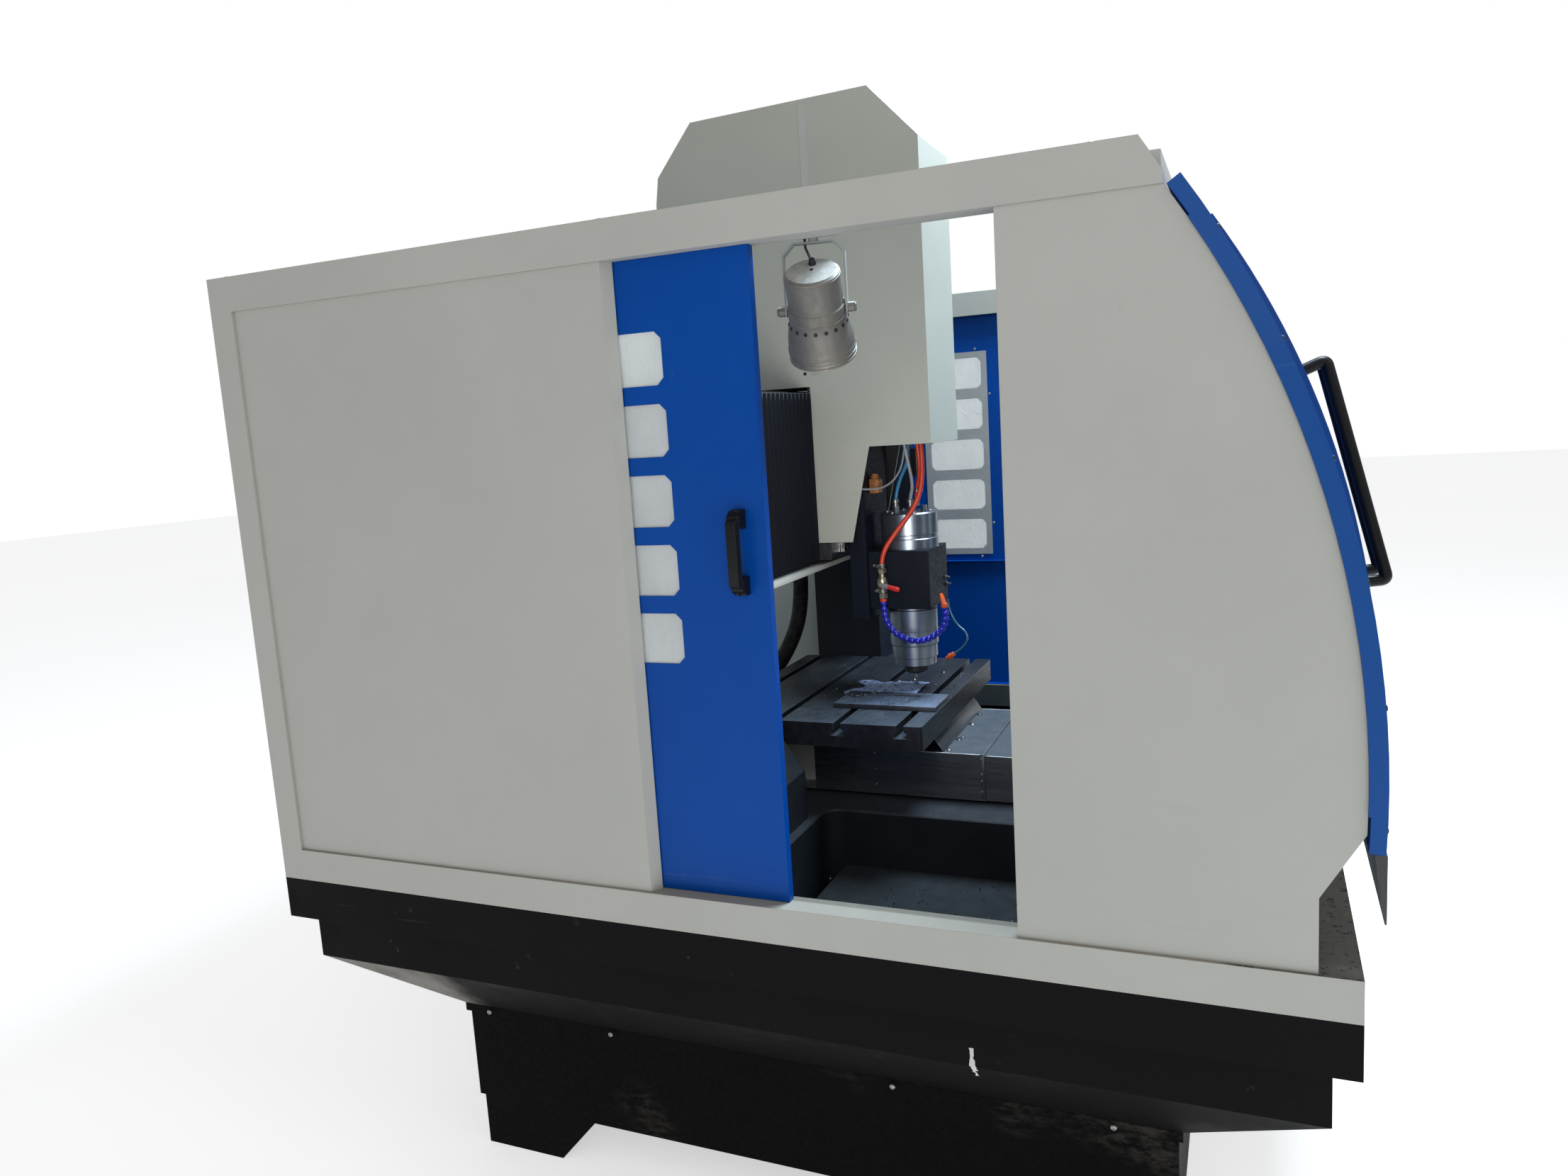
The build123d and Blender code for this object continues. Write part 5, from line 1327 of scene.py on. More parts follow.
@dataclass
class SubAssembly:
    """A group of pieces of the machine, with the finishes of the CAD nodes that it dresses."""

    finishes: Finishes
    nodes: ClassVar[dict[str, str]] = {}
    pieces: list[Object] = field(default_factory=list)

    def dress(self) -> None:
        """Put each CAD node's finish on it."""
        for node, finish in self.nodes.items():
            self.finishes.put_on(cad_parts[node], finish)

    def add(
        self, piece: Object, finish: str, body: str, *replaces: str, bend: tuple[str, Vector, Vector] | None = None
    ) -> None:
        """Finish a piece and let it ride on a body, or, where a bend is given, leave it fixed in place on no body.

        Args:
            piece: the mesh, in place.
            finish: the finish's name.
            body: the CAD body that it moves with; not used where a bend is given.
            replaces: the CAD nodes that it stands for.
            bend: the body that it ends on, where the bend starts and where it ends; only whether it is given is read.
        """
        if not piece.data.materials:
            piece.data.materials.append(self.finishes.materials[finish])
        apply_place(piece)
        if bend is None:
            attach(piece, body)
        else:
            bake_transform(piece)
        if replaces:
            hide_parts(*replaces)
        self.pieces.append(piece)

    def build(self) -> list[Object]:
        """Dress the CAD nodes and build the added pieces.

        Returns:
            The added pieces.
        """
        self.dress()
        self.model()
        return self.pieces

    def model(self) -> None:
        """Build the added pieces. Each sub-assembly has its own."""


def edge_row(start: Vector, end: Vector, count: int, direction: Vector) -> list[Place]:
    """Evenly spaced places from one point to another, all facing one way."""
    return [(start.lerp(end, index / (count - 1)), direction) for index in range(count)]


def both_sides(places: Sequence[Place]) -> list[Place]:
    """The places, and their mirror images on the other side of the machine."""
    flip = Matrix.Diagonal((-1, 1, 1))
    return [*places, *((flip @ point, flip @ way) for point, way in places)]


@dataclass
class Foundation(SubAssembly):
    """Base casting, coolant tank and chip tray."""

    nodes: ClassVar[dict[str, str]] = {
        "base_casting": "cast_black", "lower_tank": "tank_black", "chip_tray": "tank_black"}
    lip_x: float = 738
    lip_screw_z: float = 360
    lip_screw_y: tuple[float, ...] = (732, 399, -259, -686)
    tray_floor: float = 635
    chip_count: int = 520

    def model(self) -> None:
        """Add the screws under the base's lip and the chips on the tray's floor."""
        rows = [(mm(-self.lip_x, y, self.lip_screw_z), -X_AXIS) for y in self.lip_screw_y]
        self.add(screws("base_lip_screws", Head.PAN, 0.006, both_sides(rows)), "screw_zinc", "machine")
        self.add(self.strew_chips(), "chip_metal", "machine")

    def strew_chips(self) -> Object:
        """Strew fine curled chips over the tray's floor beside the bed.

        Returns:
            The chips.
        """
        places: list[Matrix] = []
        while len(places) < self.chip_count:
            x = random.uniform(330, 845) * random.choice((-1, 1))
            y = random.uniform(-1010, 100)
            if abs(x) < 345 and y > -960:
                continue
            size = random.uniform(0.5, 1.5)
            lean = Matrix.Rotation(random.uniform(0, 6.28), 4, "Z") @ Matrix.Rotation(random.uniform(-0.5, 0.5), 4, "X")
            places.append(Matrix.Translation(mm(x, y, self.tray_floor + 0.6)) @ lean @ Matrix.Scale(size, 4))
        return repeat("tray_chips", chip_pattern(), places)


def chip_pattern() -> Object:
    """Model one curled chip: a narrow strip bent over itself, about 7 mm long.

    Returns:
        The chip's mesh.
    """
    clear_selection()
    bpy.ops.mesh.primitive_plane_add(size=1, location=(0, 0, 0))
    chip = bpy.context.active_object
    chip.scale = (0.0015, 0.0022, 1)
    apply_place(chip)
    front, height = 0.00075, 0.0

    def at_front(edge: bpy.types.MeshEdge) -> bool:
        """The edge that the strip grows from."""
        ends = [chip.data.vertices[index].co for index in edge.vertices]
        return all(abs(end.x - front) < 1e-5 and abs(end.z - height) < 1e-5 for end in ends)

    for step in (0.0, 0.7, 1.4, 2.1):
        run, rise = 0.0018 * math.cos(step), 0.0018 * math.sin(step)
        with chosen(chip, "EDGE", at_front):
            extrude((run, 0, rise))
        front, height = front + run, height + rise
    modify(chip, "SOLIDIFY", thickness=0.0003)
    return chip


@dataclass
class Gantry(SubAssembly):
    """Bed, columns, crossbeam, guides, screws and motors that stand still."""

    nodes: ClassVar[dict[str, str]] = {
        "bed_casting": "bed_paint", "gantry_columns": "beam_paint", "crossbeam": "beam_paint",
        "linear_rails": "ground_steel",
        "screw_bearings": "dark_steel", "axis_motors": "motor_black", "x_screw": "dark_steel",
        "y_screw": "ground_steel",
        "z_screw": "ground_steel", "cable_conduit": "conduit_black"}
    rail_face_y: float = 96
    rail_z: tuple[float, ...] = (1420, 1670)
    rail_half: float = 660
    bed_rail_x: tuple[float, float] = (-140, 140)
    bed_rail_y: tuple[float, float] = (-520, 440)
    bed_rail_top: float = 799
    motor_screw_half: float = 36
    x_motor_end: Point = (824.5, 101, 1545)
    y_motor_end: Point = (0, 664.5, 835)
    y_motor_share: float = 1.28
    conduit_route: tuple[Point, ...] = (
        (430, 310, 1359), (430, 356, 1359), (430, 356, 1130), (430, 405, 1000), (430, 512.8, 860), (430, 552, 750),
        (430, 552, 635))
    conduit_radius: float = 24

    def model(self) -> None:
        """Add rail bolt plugs, motor details and the ribbed conduit."""
        plugs: list[Place] = []
        for z in self.rail_z:
            plugs += edge_row(mm(-self.rail_half, self.rail_face_y, z), mm(self.rail_half, self.rail_face_y, z), 23,
                -Y_AXIS)
        for x in self.bed_rail_x:
            front, rear = (mm(x, y, self.bed_rail_top) for y in self.bed_rail_y)
            plugs += edge_row(front, rear, 17, Z_AXIS)
        self.add(screws("rail_bolt_plugs", Head.SOCKET, 0.0065,
            [(point - way * 0.0066, way) for point, way in plugs]), "dark_steel", "machine")
        self.add(self.motor_screws(), "screw_black", "machine")
        self.add(self.motor_plugs(), "motor_black", "machine")
        self.add(self.ribbed_conduit(), "conduit_black", "machine", "cable_conduit")

    def motor_screws(self) -> Object:
        """Four socket screws at the rear end of both still motors.

        Returns:
            The screws.
        """
        places: list[Place] = []
        half, share = self.motor_screw_half, self.y_motor_share
        x, y, z = self.x_motor_end
        _, rear, height = self.y_motor_end
        for across in (-half, half):
            for up in (-half, half):
                places.append((mm(x, y + across, z + up), X_AXIS))
                places.append((mm(across * share, rear, height + up * share), Y_AXIS))
        return screws("motor_screws", Head.SOCKET, 0.0045, places)

    def motor_plugs(self) -> Object:
        """The round cable sockets on top of both still motors.

        Returns:
            The sockets.
        """
        rings = [(-0.002, 0.013), (0.008, 0.013), (0.008, 0.0105), (0.018, 0.0105), (0.019, 0.012), (0.026, 0.012),
            (0.027, 0.009)]
        parts = [turned("motor_plug", mm(790, 101, 1588), Z_AXIS, rings, 20),
            turned("motor_plug", mm(0, 630, 889), Z_AXIS, rings, 20)]
        return join("motor_plugs", parts)

    def ribbed_conduit(self) -> Object:
        """A corrugated hose: one rib, copied along the conduit's line.

        Returns:
            The hose.
        """
        pitch = 0.0062
        radius = self.conduit_radius / 1000
        rings = [(-pitch * 0.55, radius * 0.8), (-pitch * 0.3, radius * 0.97), (0, radius),
            (pitch * 0.3, radius * 0.97), (pitch * 0.55, radius * 0.8)]
        rib = turned("conduit_rib", ORIGIN, Z_AXIS, rings, 18)
        samples = line_samples([mm(*point) for point in self.conduit_route], pitch)
        return repeat("ribbed_conduit", rib, [standing(point, way) for point, way in samples])


@dataclass
class Bellows(SubAssembly):
    """The pleated covers over the X guides, one each side of the head."""

    nodes: ClassVar[dict[str, str]] = {"x_bellows": "bellows_black"}
    inner: float = 132
    pitch: float = 24
    pleats: int = 23
    low: float = 1340
    high: float = 1758
    front: float = 68
    back: float = 123.6
    depth: float = 13
    wall: float = 1.3

    def model(self) -> None:
        """Fold both covers, and add the guide strip below them and the end frames."""
        outer = self.inner + self.pitch * self.pleats
        covers = [(side, self.fold_cover(side, outer)) for side in (-1, 1)]
        for side, cover in covers:
            bend = ("head", mm(side * outer, 0, 0), mm(side * self.inner, 0, 0))
            self.add(cover, "bellows_black", "machine", "x_bellows", bend=bend)
        strip = block("bellows_guide_strip", mm(-688, 63, 1331.5), mm(688, 123.5, 1334))
        push(strip, lambda centre, normal: normal.z < -0.9, mm(0, 0, -0.01))
        lip = block("guide_strip_lip", mm(-688, 62.2, 1322), mm(688, 64.2, 1334))
        strip = join("bellows_guide_strip", [strip, lip])
        soften(strip, 0.0005)
        self.add(strip, "frame_beige", "machine")
        frames = [self.end_frame(side, outer) for side in (-1, 1)]
        self.add(join("bellows_end_frames", frames), "dark_steel", "machine")

    def fold_cover(self, side: int, outer: float) -> Object:
        """Fold one cover from an open box.

        Args:
            side: -1 for the near side and 1 for the far side.
            outer: distance of its outer end from the middle.

        Returns:
            The pleated cover, with the attribute fold on its vertices.
        """
        low_x, high_x = sorted((side * self.inner, side * outer))
        name = "near_bellows" if side < 0 else "far_bellows"
        cover = block(name, mm(low_x, self.front, self.low), mm(high_x, self.back, self.high))
        with faces(cover, lambda centre, normal: abs(normal.x) > 0.9 or normal.y > 0.9):
            bpy.ops.mesh.delete(type="FACE")

        def lies_along(edge: bpy.types.MeshEdge) -> bool:
            """The edges that run along X."""
            first, second = (cover.data.vertices[index].co for index in edge.vertices)
            return abs(first.x - second.x) > 0.01

        with chosen(cover, "EDGE", lies_along):
            bpy.ops.mesh.subdivide(number_cuts=2 * self.pleats - 1)
        half_pitch = self.pitch / 2000
        scale_y = (self.back - self.front - self.depth) / (self.back - self.front)
        scale_z = (self.high - self.low - 2 * self.depth) / (self.high - self.low)
        centre = mm(0, self.back, (self.low + self.high) / 2)

        def ring(vertex: bpy.types.MeshVertex) -> float:
            """How many half pleats a vertex lies from the inner end."""
            return (abs(vertex.co.x) - self.inner / 1000) / half_pitch

        with chosen(cover, "VERT", lambda vertex: round(ring(vertex)) % 2 == 1):
            bpy.ops.transform.resize(value=(1, scale_y, scale_z), center_override=centre)
        round_edges(cover, 0.0012, 2, 50)
        recalculate(cover)
        modify(cover, "SOLIDIFY", thickness=self.wall / 1000, offset=-1)
        fold = cover.data.attributes.new("fold", "FLOAT", "POINT")
        for vertex, mark in zip(cover.data.vertices, fold.data):
            mark.value = abs(ring(vertex) % 2 - 1)
        smooth(cover, 25)
        return cover

    def end_frame(self, side: int, outer: float) -> Object:
        """The thin metal frame that holds a cover's outer end.

        Args:
            side: -1 for the near side and 1 for the far side.
            outer: distance of the cover's outer end from the middle.

        Returns:
            The frame.
        """
        x0, x1 = sorted((side * (outer + 0.3), side * (outer + 3)))
        plate = block("end_frame", mm(x0, self.front - 1, self.low - 1), mm(x1, self.back, self.high + 1))
        soften(plate, 0.0006, 2)
        return plate


@dataclass
class SpindleHead(SubAssembly):
    """Head carriage, spindle, coolant lines and tool."""

    nodes: ClassVar[dict[str, str]] = {
        "x_carriage": "dark_steel", "x_blocks": "dark_steel", "z_rails": "ground_steel", "z_motor": "motor_black",
        "z_slide": "clamp_paint", "z_blocks": "ground_steel", "spindle_clamp": "clamp_paint",
        "spindle_body": "spindle_steel",
        "coolant_valve": "brass", "coolant_hose": "hose_blue", "nozzles": "nozzle_orange", "mist_tube": "mist_blue",
        "red_hoses": "hose_red", "spindle_lines": "line_gray", "spindle_shaft": "nut_steel", "end_mill": "carbide",
        "valve_lever": "lever_steel"}
    axis_y: float = -127
    cap_ring: float = 56
    cap_top: float = 1450
    valve: Point = (-108, -84, 0)
    valve_low: float = 1246
    valve_high: float = 1322
    clamp_low: Point = (-86, -197, 1215)
    clamp_high: Point = (86, -42, 1360)
    loop_route: tuple[Point, ...] = (
        (-108, -84, 1246), (-108, -84, 1218), (-108, -90, 1184), (-108, -116, 1152), (-108, -170, 1135),
        (-108, -222, 1158),
        (-108, -243, 1194), (-108, -238, 1228))
    loop_way: Point = (0, 0.26, 0.97)
    lead_route: tuple[Point, ...] = (
        (-97, -40, 1516), (-88, -62, 1514), (-52, -84, 1516), (-30, -106, 1535), (-22, -124, 1570), (-24, -134, 1640),
        (-24, -140, 1810),
        (-24, -140, 1900))
    red_route: tuple[Point, ...] = (
        (-62, -140, 1900), (-62, -140, 1810), (-60, -182, 1660), (-62, -186, 1530), (-72, -165, 1466),
        (-88, -122, 1412),
        (-108, -84, 1356), (-108, -84, 1322))
    spare_route: tuple[Point, ...] = (
        (-30, -140, 1900), (-30, -140, 1810), (-40, -166, 1640), (-30, -172, 1550), (-18, -154, 1506),
        (-18, -154, 1466))
    air_route: tuple[Point, ...] = ((-66, -122, 1900), (-66, -122, 1810), (-54, -160, 1600), (-36, -105, 1510),
        (-36, -105, 1466))
    cable_route: tuple[Point, ...] = (
        (-96, -120, 1900), (-96, -120, 1810), (-86, -152, 1600), (-62, -160, 1520), (-44, -145, 1488),
        (-44, -145, 1466))
    mist_route: tuple[Point, ...] = (
        (62, -202, 1215), (62, -202, 1193), (56, -222, 1152), (44, -256, 1130), (40, -250, 1098), (40, -213, 1074))

    def model(self) -> None:
        """Build the hoses, fittings, valve parts, beads, nozzles, screws and cutter."""
        bend = ("spindle_head", mm(0, 0, 1810), mm(0, 0, 1470))
        hoses = [self.line("red_hose", self.red_route, 6), self.line("red_return", self.spare_route, 6)]
        self.add(join("red_coolant_hoses", hoses), "hose_red", "head", "red_hoses", bend=bend)
        air = self.line("spindle_air_tube", self.air_route, 4)
        self.add(air, "tube_blue", "head", "spindle_lines", bend=bend)
        cable = self.line("spindle_cable", self.cable_route, 4)
        self.add(cable, "line_gray", "head", "spindle_lines", bend=bend)
        self.add(self.line("mist_line", self.mist_route, 2.6), "mist_blue", "spindle_head", "mist_tube")
        for make, finish, *replaces in (
            (self.coolant_beads, "hose_blue", "coolant_hose"), (self.nozzle_pair, "nozzle_orange", "nozzles"),
            (self.top_fittings, "screw_zinc"), (self.hose_clamps, "screw_zinc"), (self.valve_nuts, "brass"),
            (self.cap_screws, "screw_zinc"), (self.clamp_screws, "screw_black"), (self.chrome_bands, "nut_steel"),
        ):
            self.add(make(), finish, "spindle_head", *replaces)
        self.add(self.cutter(), "carbide", "spindle", "end_mill")
        self.add(self.nut_grips(), "dark_steel", "spindle")
        self.add(self.lever_sleeve(), "lever_red", "coolant_lever")
        for make, finish, *replaces in (
            (self.connector, "plug_orange"), (self.red_collar, "hose_red"),
            (self.clamp_block, "clamp_paint", "spindle_clamp"), (self.clamp_studs, "dark_steel"),
        ):
            self.add(make(), finish, "spindle_head", *replaces)
        lead = self.line("plug_lead", self.lead_route, 2.6)
        self.add(lead, "line_gray", "head", "spindle_lines", bend=bend)

    def line(self, name: str, route: Sequence[Point], radius: float) -> Object:
        """A hose or cable along its route, given in millimetres."""
        return tube(name, [mm(*point) for point in route], radius / 1000)

    def coolant_beads(self) -> Object:
        """Copy one moulded ball segment along the hose's drop and loop.

        Returns:
            The beads.
        """
        rings = [(-0.0066, 0.0052), (-0.006, 0.0074), (-0.003, 0.0083), (0.0015, 0.0081), (0.0038, 0.0066),
            (0.0045, 0.0048),
                 (0.0062, 0.0052), (0.0084, 0.0062), (0.0096, 0.0054)]
        bead = turned("hose_bead", ORIGIN, Z_AXIS, rings, 20)
        samples = line_samples([mm(*point) for point in self.loop_route], 0.0142)
        return repeat("coolant_hose_beads", bead, [standing(point, way) for point, way in samples])

    def nozzle_pair(self) -> Object:
        """The large nozzle on the blue hose and the small one on the mist line.

        Returns:
            The nozzles.
        """
        point, way = mm(*self.loop_route[-1]), Vector(self.loop_way).normalized()
        large = [(-0.006, 0.0072), (-0.004, 0.0085), (0.004, 0.0085), (0.0045, 0.0074), (0.007, 0.0074),
            (0.0075, 0.0068), (0.030, 0.0044), (0.031, 0.0038)]
        start, end = mm(*self.mist_route[-2]), mm(*self.mist_route[-1])
        run = (end - start).normalized()
        small = [(-0.007, 0.0034), (-0.0065, 0.0062), (0.0005, 0.0066), (0.001, 0.003), (0.0034, 0.003),
            (0.004, 0.0078), (0.009, 0.0074),
                 (0.0095, 0.003), (0.012, 0.003), (0.0126, 0.0056), (0.017, 0.005), (0.0175, 0.003), (0.021, 0.0028)]
        parts = [turned("large_nozzle", point, way, large, 18), turned("mist_nozzle", end, run, small, 18)]
        return join("coolant_nozzles", parts)

    def top_fittings(self) -> Object:
        """Push-in fittings on top of the spindle, above their hexagons.

        Returns:
            The fittings.
        """
        rings = [(0, 0.0078), (0.002, 0.0078), (0.0025, 0.006), (0.010, 0.006), (0.0105, 0.0082), (0.0165, 0.0082),
            (0.0185, 0.007)]
        tall = [(0, 0.0078), (0.003, 0.0078), (0.003, 0.0068), (0.012, 0.0068), (0.0125, 0.0088), (0.022, 0.0088),
            (0.024, 0.0076)]
        parts = [
            turned("fitting", mm(-18, -154, 1466), Z_AXIS, tall, 20),
            turned("fitting", mm(-36, -105, 1466), Z_AXIS, rings, 20),
            turned("fitting", mm(-44, -145, 1466), Z_AXIS, rings, 20),
        ]
        return join("push_in_fittings", parts)

    def hose_clamps(self) -> Object:
        """Worm-drive clamps above and below the valve and at the red return's end.

        Returns:
            The clamps.
        """
        valve_axis = mm(self.valve[0], self.valve[1], 0)
        parts: list[Object] = []
        for foot, radius, turn, reach in (
            (valve_axis + mm(0, 0, self.valve_high + 1), 0.0082, 2.55, 0.019),
            (valve_axis + mm(0, 0, self.valve_low + 14), 0.0106, 1.3, 0.008),
            (mm(-18, -154, 1500), 0.0074, 3.9, 0.008),
        ):
            band = turned("clamp_band", foot, Z_AXIS, [(0, radius), (0.0005, radius + 0.0009),
                (0.0085, radius + 0.0009), (0.009, radius)], 24)
            out = Vector((math.cos(turn), math.sin(turn), 0))
            side = Vector((-out.y, out.x, 0))
            housing = block("clamp_housing", mm(-7, -3, -4.5), mm(7, 3, 4.5))
            soften(housing, 0.0007, 1)
            middle = foot + Z_AXIS * 0.0045 + out * (radius + 0.0032)
            housing.data.transform(Matrix.Translation(middle) @ Matrix.Rotation(turn + 1.5708, 4, "Z"))
            rings = [(-0.013, 0.002), (-0.0125, 0.0028), (reach - 0.006, 0.0028), (reach - 0.0055, 0.0044),
                (reach, 0.0044), (reach + 0.0005, 0.0036)]
            parts += [band, housing, turned("clamp_worm", middle, -side, rings, 6)]
        return join("hose_clamps", parts)

    def valve_nuts(self) -> Object:
        """Hexagon ends and body ball of the coolant valve.

        Returns:
            The nuts and the ball.
        """
        axis = mm(self.valve[0], self.valve[1], 0)
        parts = [
            turned(name, axis + mm(0, 0, z), Z_AXIS, rings, sides) for name, z, rings, sides in (
                ("valve_nut", self.valve_low - 0.5, [(0, 0.0105), (0.001, 0.0118), (0.013, 0.0118), (0.014, 0.0105)],
                    6),
                ("valve_nut", self.valve_high - 14, [(0, 0.0105), (0.001, 0.0118), (0.013, 0.0118), (0.0145, 0.0098)],
                    6),
                ("valve_ball", 1266, [(0, 0.0102), (0.004, 0.0122), (0.016, 0.0132), (0.028, 0.0122),
                    (0.032, 0.0102)], 20))
        ]
        return join("valve_body_parts", parts)

    def lever_sleeve(self) -> Object:
        """The dipped red grip over the end of the valve's flat lever.

        Returns:
            The grip.
        """
        low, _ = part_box("valve_lever")
        pivot = mm(-124, self.valve[1], 1282)
        run = (Vector((pivot.x, low.y + 0.004, low.z + 0.005)) - pivot).normalized()
        start = pivot + run * 0.019
        rings = [(0, 0.004), (0.001, 0.0056), (0.010, 0.0062), (0.022, 0.0068), (0.028, 0.006), (0.0305, 0.003)]
        sleeve = turned("lever_grip", start, run, rings, 16)
        sleeve.data.transform(Matrix.Translation(start) @ Matrix.Diagonal((0.6, 1, 1, 1)) @ Matrix.Translation(-start))
        return sleeve

    def clamp_block(self) -> Object:
        """The clamp that grips the spindle's barrel, bored out of a block.

        Returns:
            The clamp.
        """
        clamp = block("spindle_clamp_block", mm(*self.clamp_low), mm(*self.clamp_high))
        bore = turned("bore", mm(0, self.axis_y, 1205), Z_AXIS, [(0, 0.0629), (0.165, 0.0629)], 72)
        soften(clamp, 0.0016)
        cut_out(clamp, bore)
        smooth(clamp, 20)
        return clamp

    def clamp_studs(self) -> Object:
        """Two studs with nuts that stand out of the clamp's front.

        Returns:
            The studs.
        """
        rings = [(0, 0.0058), (0.005, 0.0058), (0.0053, 0.003), (0.012, 0.003), (0.0126, 0.0024)]
        parts = [turned("clamp_stud", mm(x, self.clamp_low[1] - 0.2, z), -Y_AXIS, rings, 6) for x,
            z in ((62, 1273), (70, 1255))]
        return join("clamp_studs", parts)

    def cap_screws(self) -> Object:
        """Six socket screws in the spindle's top cap.

        Returns:
            The screws.
        """
        places = []
        for index in range(6):
            angle = math.radians(30 + 60 * index)
            x, y = self.cap_ring * math.cos(angle), self.axis_y + self.cap_ring * math.sin(angle)
            places.append((mm(x, y, self.cap_top - 2), Z_AXIS))
        return screws("spindle_cap_screws", Head.SOCKET, 0.0055, places)

    def clamp_screws(self) -> Object:
        """The clamp's pinch screws, in its far flank."""
        return screws("clamp_screws", Head.SOCKET, 0.0062, [(mm(86, -190, z), X_AXIS) for z in (1248, 1326)])

    def chrome_bands(self) -> Object:
        """Thin polished shoulder rings where the spindle's barrel steps in.

        Returns:
            The rings.
        """
        foot = mm(0, self.axis_y, 0)
        parts = []
        for z, radius, height in ((1150, 0.06125, 0.0012), (1204, 0.0628, 0.002)):
            rings = [(z / 1000, radius - 0.0006), (z / 1000 + 0.0004, radius), (z / 1000 + height - 0.0004, radius),
                (z / 1000 + height, radius - 0.0006)]
            parts.append(turned("chrome_band", foot, Z_AXIS, rings, 64))
        return join("spindle_bands", parts)

    def cutter(self) -> Object:
        """Twist a four-flute end mill up from a star-shaped face, with a plain shank.

        Returns:
            The end mill.
        """
        tip, top, steps, y = 1.0066, 1.032, 16, self.axis_y / 1000
        foot = Vector((0, y, tip))
        clear_selection()
        bpy.ops.mesh.primitive_circle_add(vertices=16, radius=0.005, fill_type="NGON", location=foot)
        mill = name_new("four_flute_cutter")
        with chosen(mill, "VERT", lambda vertex: vertex.index % 4 == 1):
            bpy.ops.transform.resize(value=(0.45, 0.45, 1), center_override=foot)
        rise = (top - tip) / steps
        with chosen(mill, "FACE", lambda face: True):
            for index in range(steps):
                extrude((0, 0, rise))
                level = (0, y, tip + rise * (index + 1))
                bpy.ops.transform.rotate(value=math.radians(9), orient_axis="Z", center_override=level)
        recalculate(mill)
        shank = turned("cutter_shank", mm(0, self.axis_y, 1031.5), Z_AXIS,
            [(0, 0.0046), (0.001, 0.005), (0.014, 0.005)], 24)
        whole = join("four_flute_cutter", [mill, shank])
        smooth(whole, 30)
        return whole

    def nut_grips(self) -> Object:
        """Spanner grooves round the collet nut, as raised lands.

        Returns:
            The lands.
        """
        parts = []
        for index in range(8):
            angle = math.radians(45 * index)
            land = block("nut_land", mm(26, -6, 1042), mm(30.6, 6, 1058))
            soften(land, 0.0008, 2)
            land.data.transform(Matrix.Translation(mm(0, self.axis_y, 0)) @ Matrix.Rotation(angle, 4, "Z"))
            parts.append(land)
        return join("collet_nut_lands", parts)

    def connector(self) -> Object:
        """The orange plug on the slide's front, with two key ribs and its collar.

        Returns:
            The plug.
        """
        body = block("slide_cable_plug", mm(-52, -66, 1502), mm(-20, -43, 1538))
        inset(body, lambda centre, normal: normal.y < -0.9, 0.006, 0.004)
        inset(body, lambda centre, normal: normal.y < -0.9 and abs(centre.z - 1.52) < 0.012, 0.004, -0.003)
        soften(body, 0.0015, 2)
        ribs = [block("plug_rib", mm(-55, -60, z), mm(-17, -48, z + 4)) for z in (1508, 1528)]
        collar = turned("plug_collar", mm(-36, -54, 1537), Z_AXIS,
            [(0, 0.0105), (0.006, 0.0105), (0.007, 0.0085), (0.013, 0.008)], 20)
        whole = join("slide_cable_plug", [body, *ribs, collar])
        soften(whole, 0.0008, 1, 40)
        return whole

    def red_collar(self) -> Object:
        """The red end piece between the valve and the blue hose."""
        rings = [(0, 0.0078), (0.001, 0.0088), (0.008, 0.0088), (0.009, 0.0076)]
        return turned("hose_end_collar", mm(self.valve[0], self.valve[1], self.valve_low - 8.5), Z_AXIS, rings, 24)


@dataclass
class HeadCover(SubAssembly):
    """The olive sheet cover over the Z axis."""

    nodes: ClassVar[dict[str, str]] = {"head_cover": "cover_olive"}
    side: float = 130

    def model(self) -> None:
        """Add the joint straps and the screws along the cover's edges."""
        straps = []
        for sign in (-1, 1):
            x0, x1 = sorted((sign * self.side, sign * (self.side + 0.6)))
            strap = block("cover_strap", mm(x0, 40, 1800), mm(x1, 61, 2428))
            soften(strap, 0.0002, 1)
            straps.append(strap)
        self.add(join("cover_joint_straps", straps), "strap_pale", "head")
        rows = [(mm(-self.side, 80, 1804), -X_AXIS)]
        self.add(screws("cover_screws", Head.PAN, 0.0042, both_sides(rows)), "screw_black", "head")


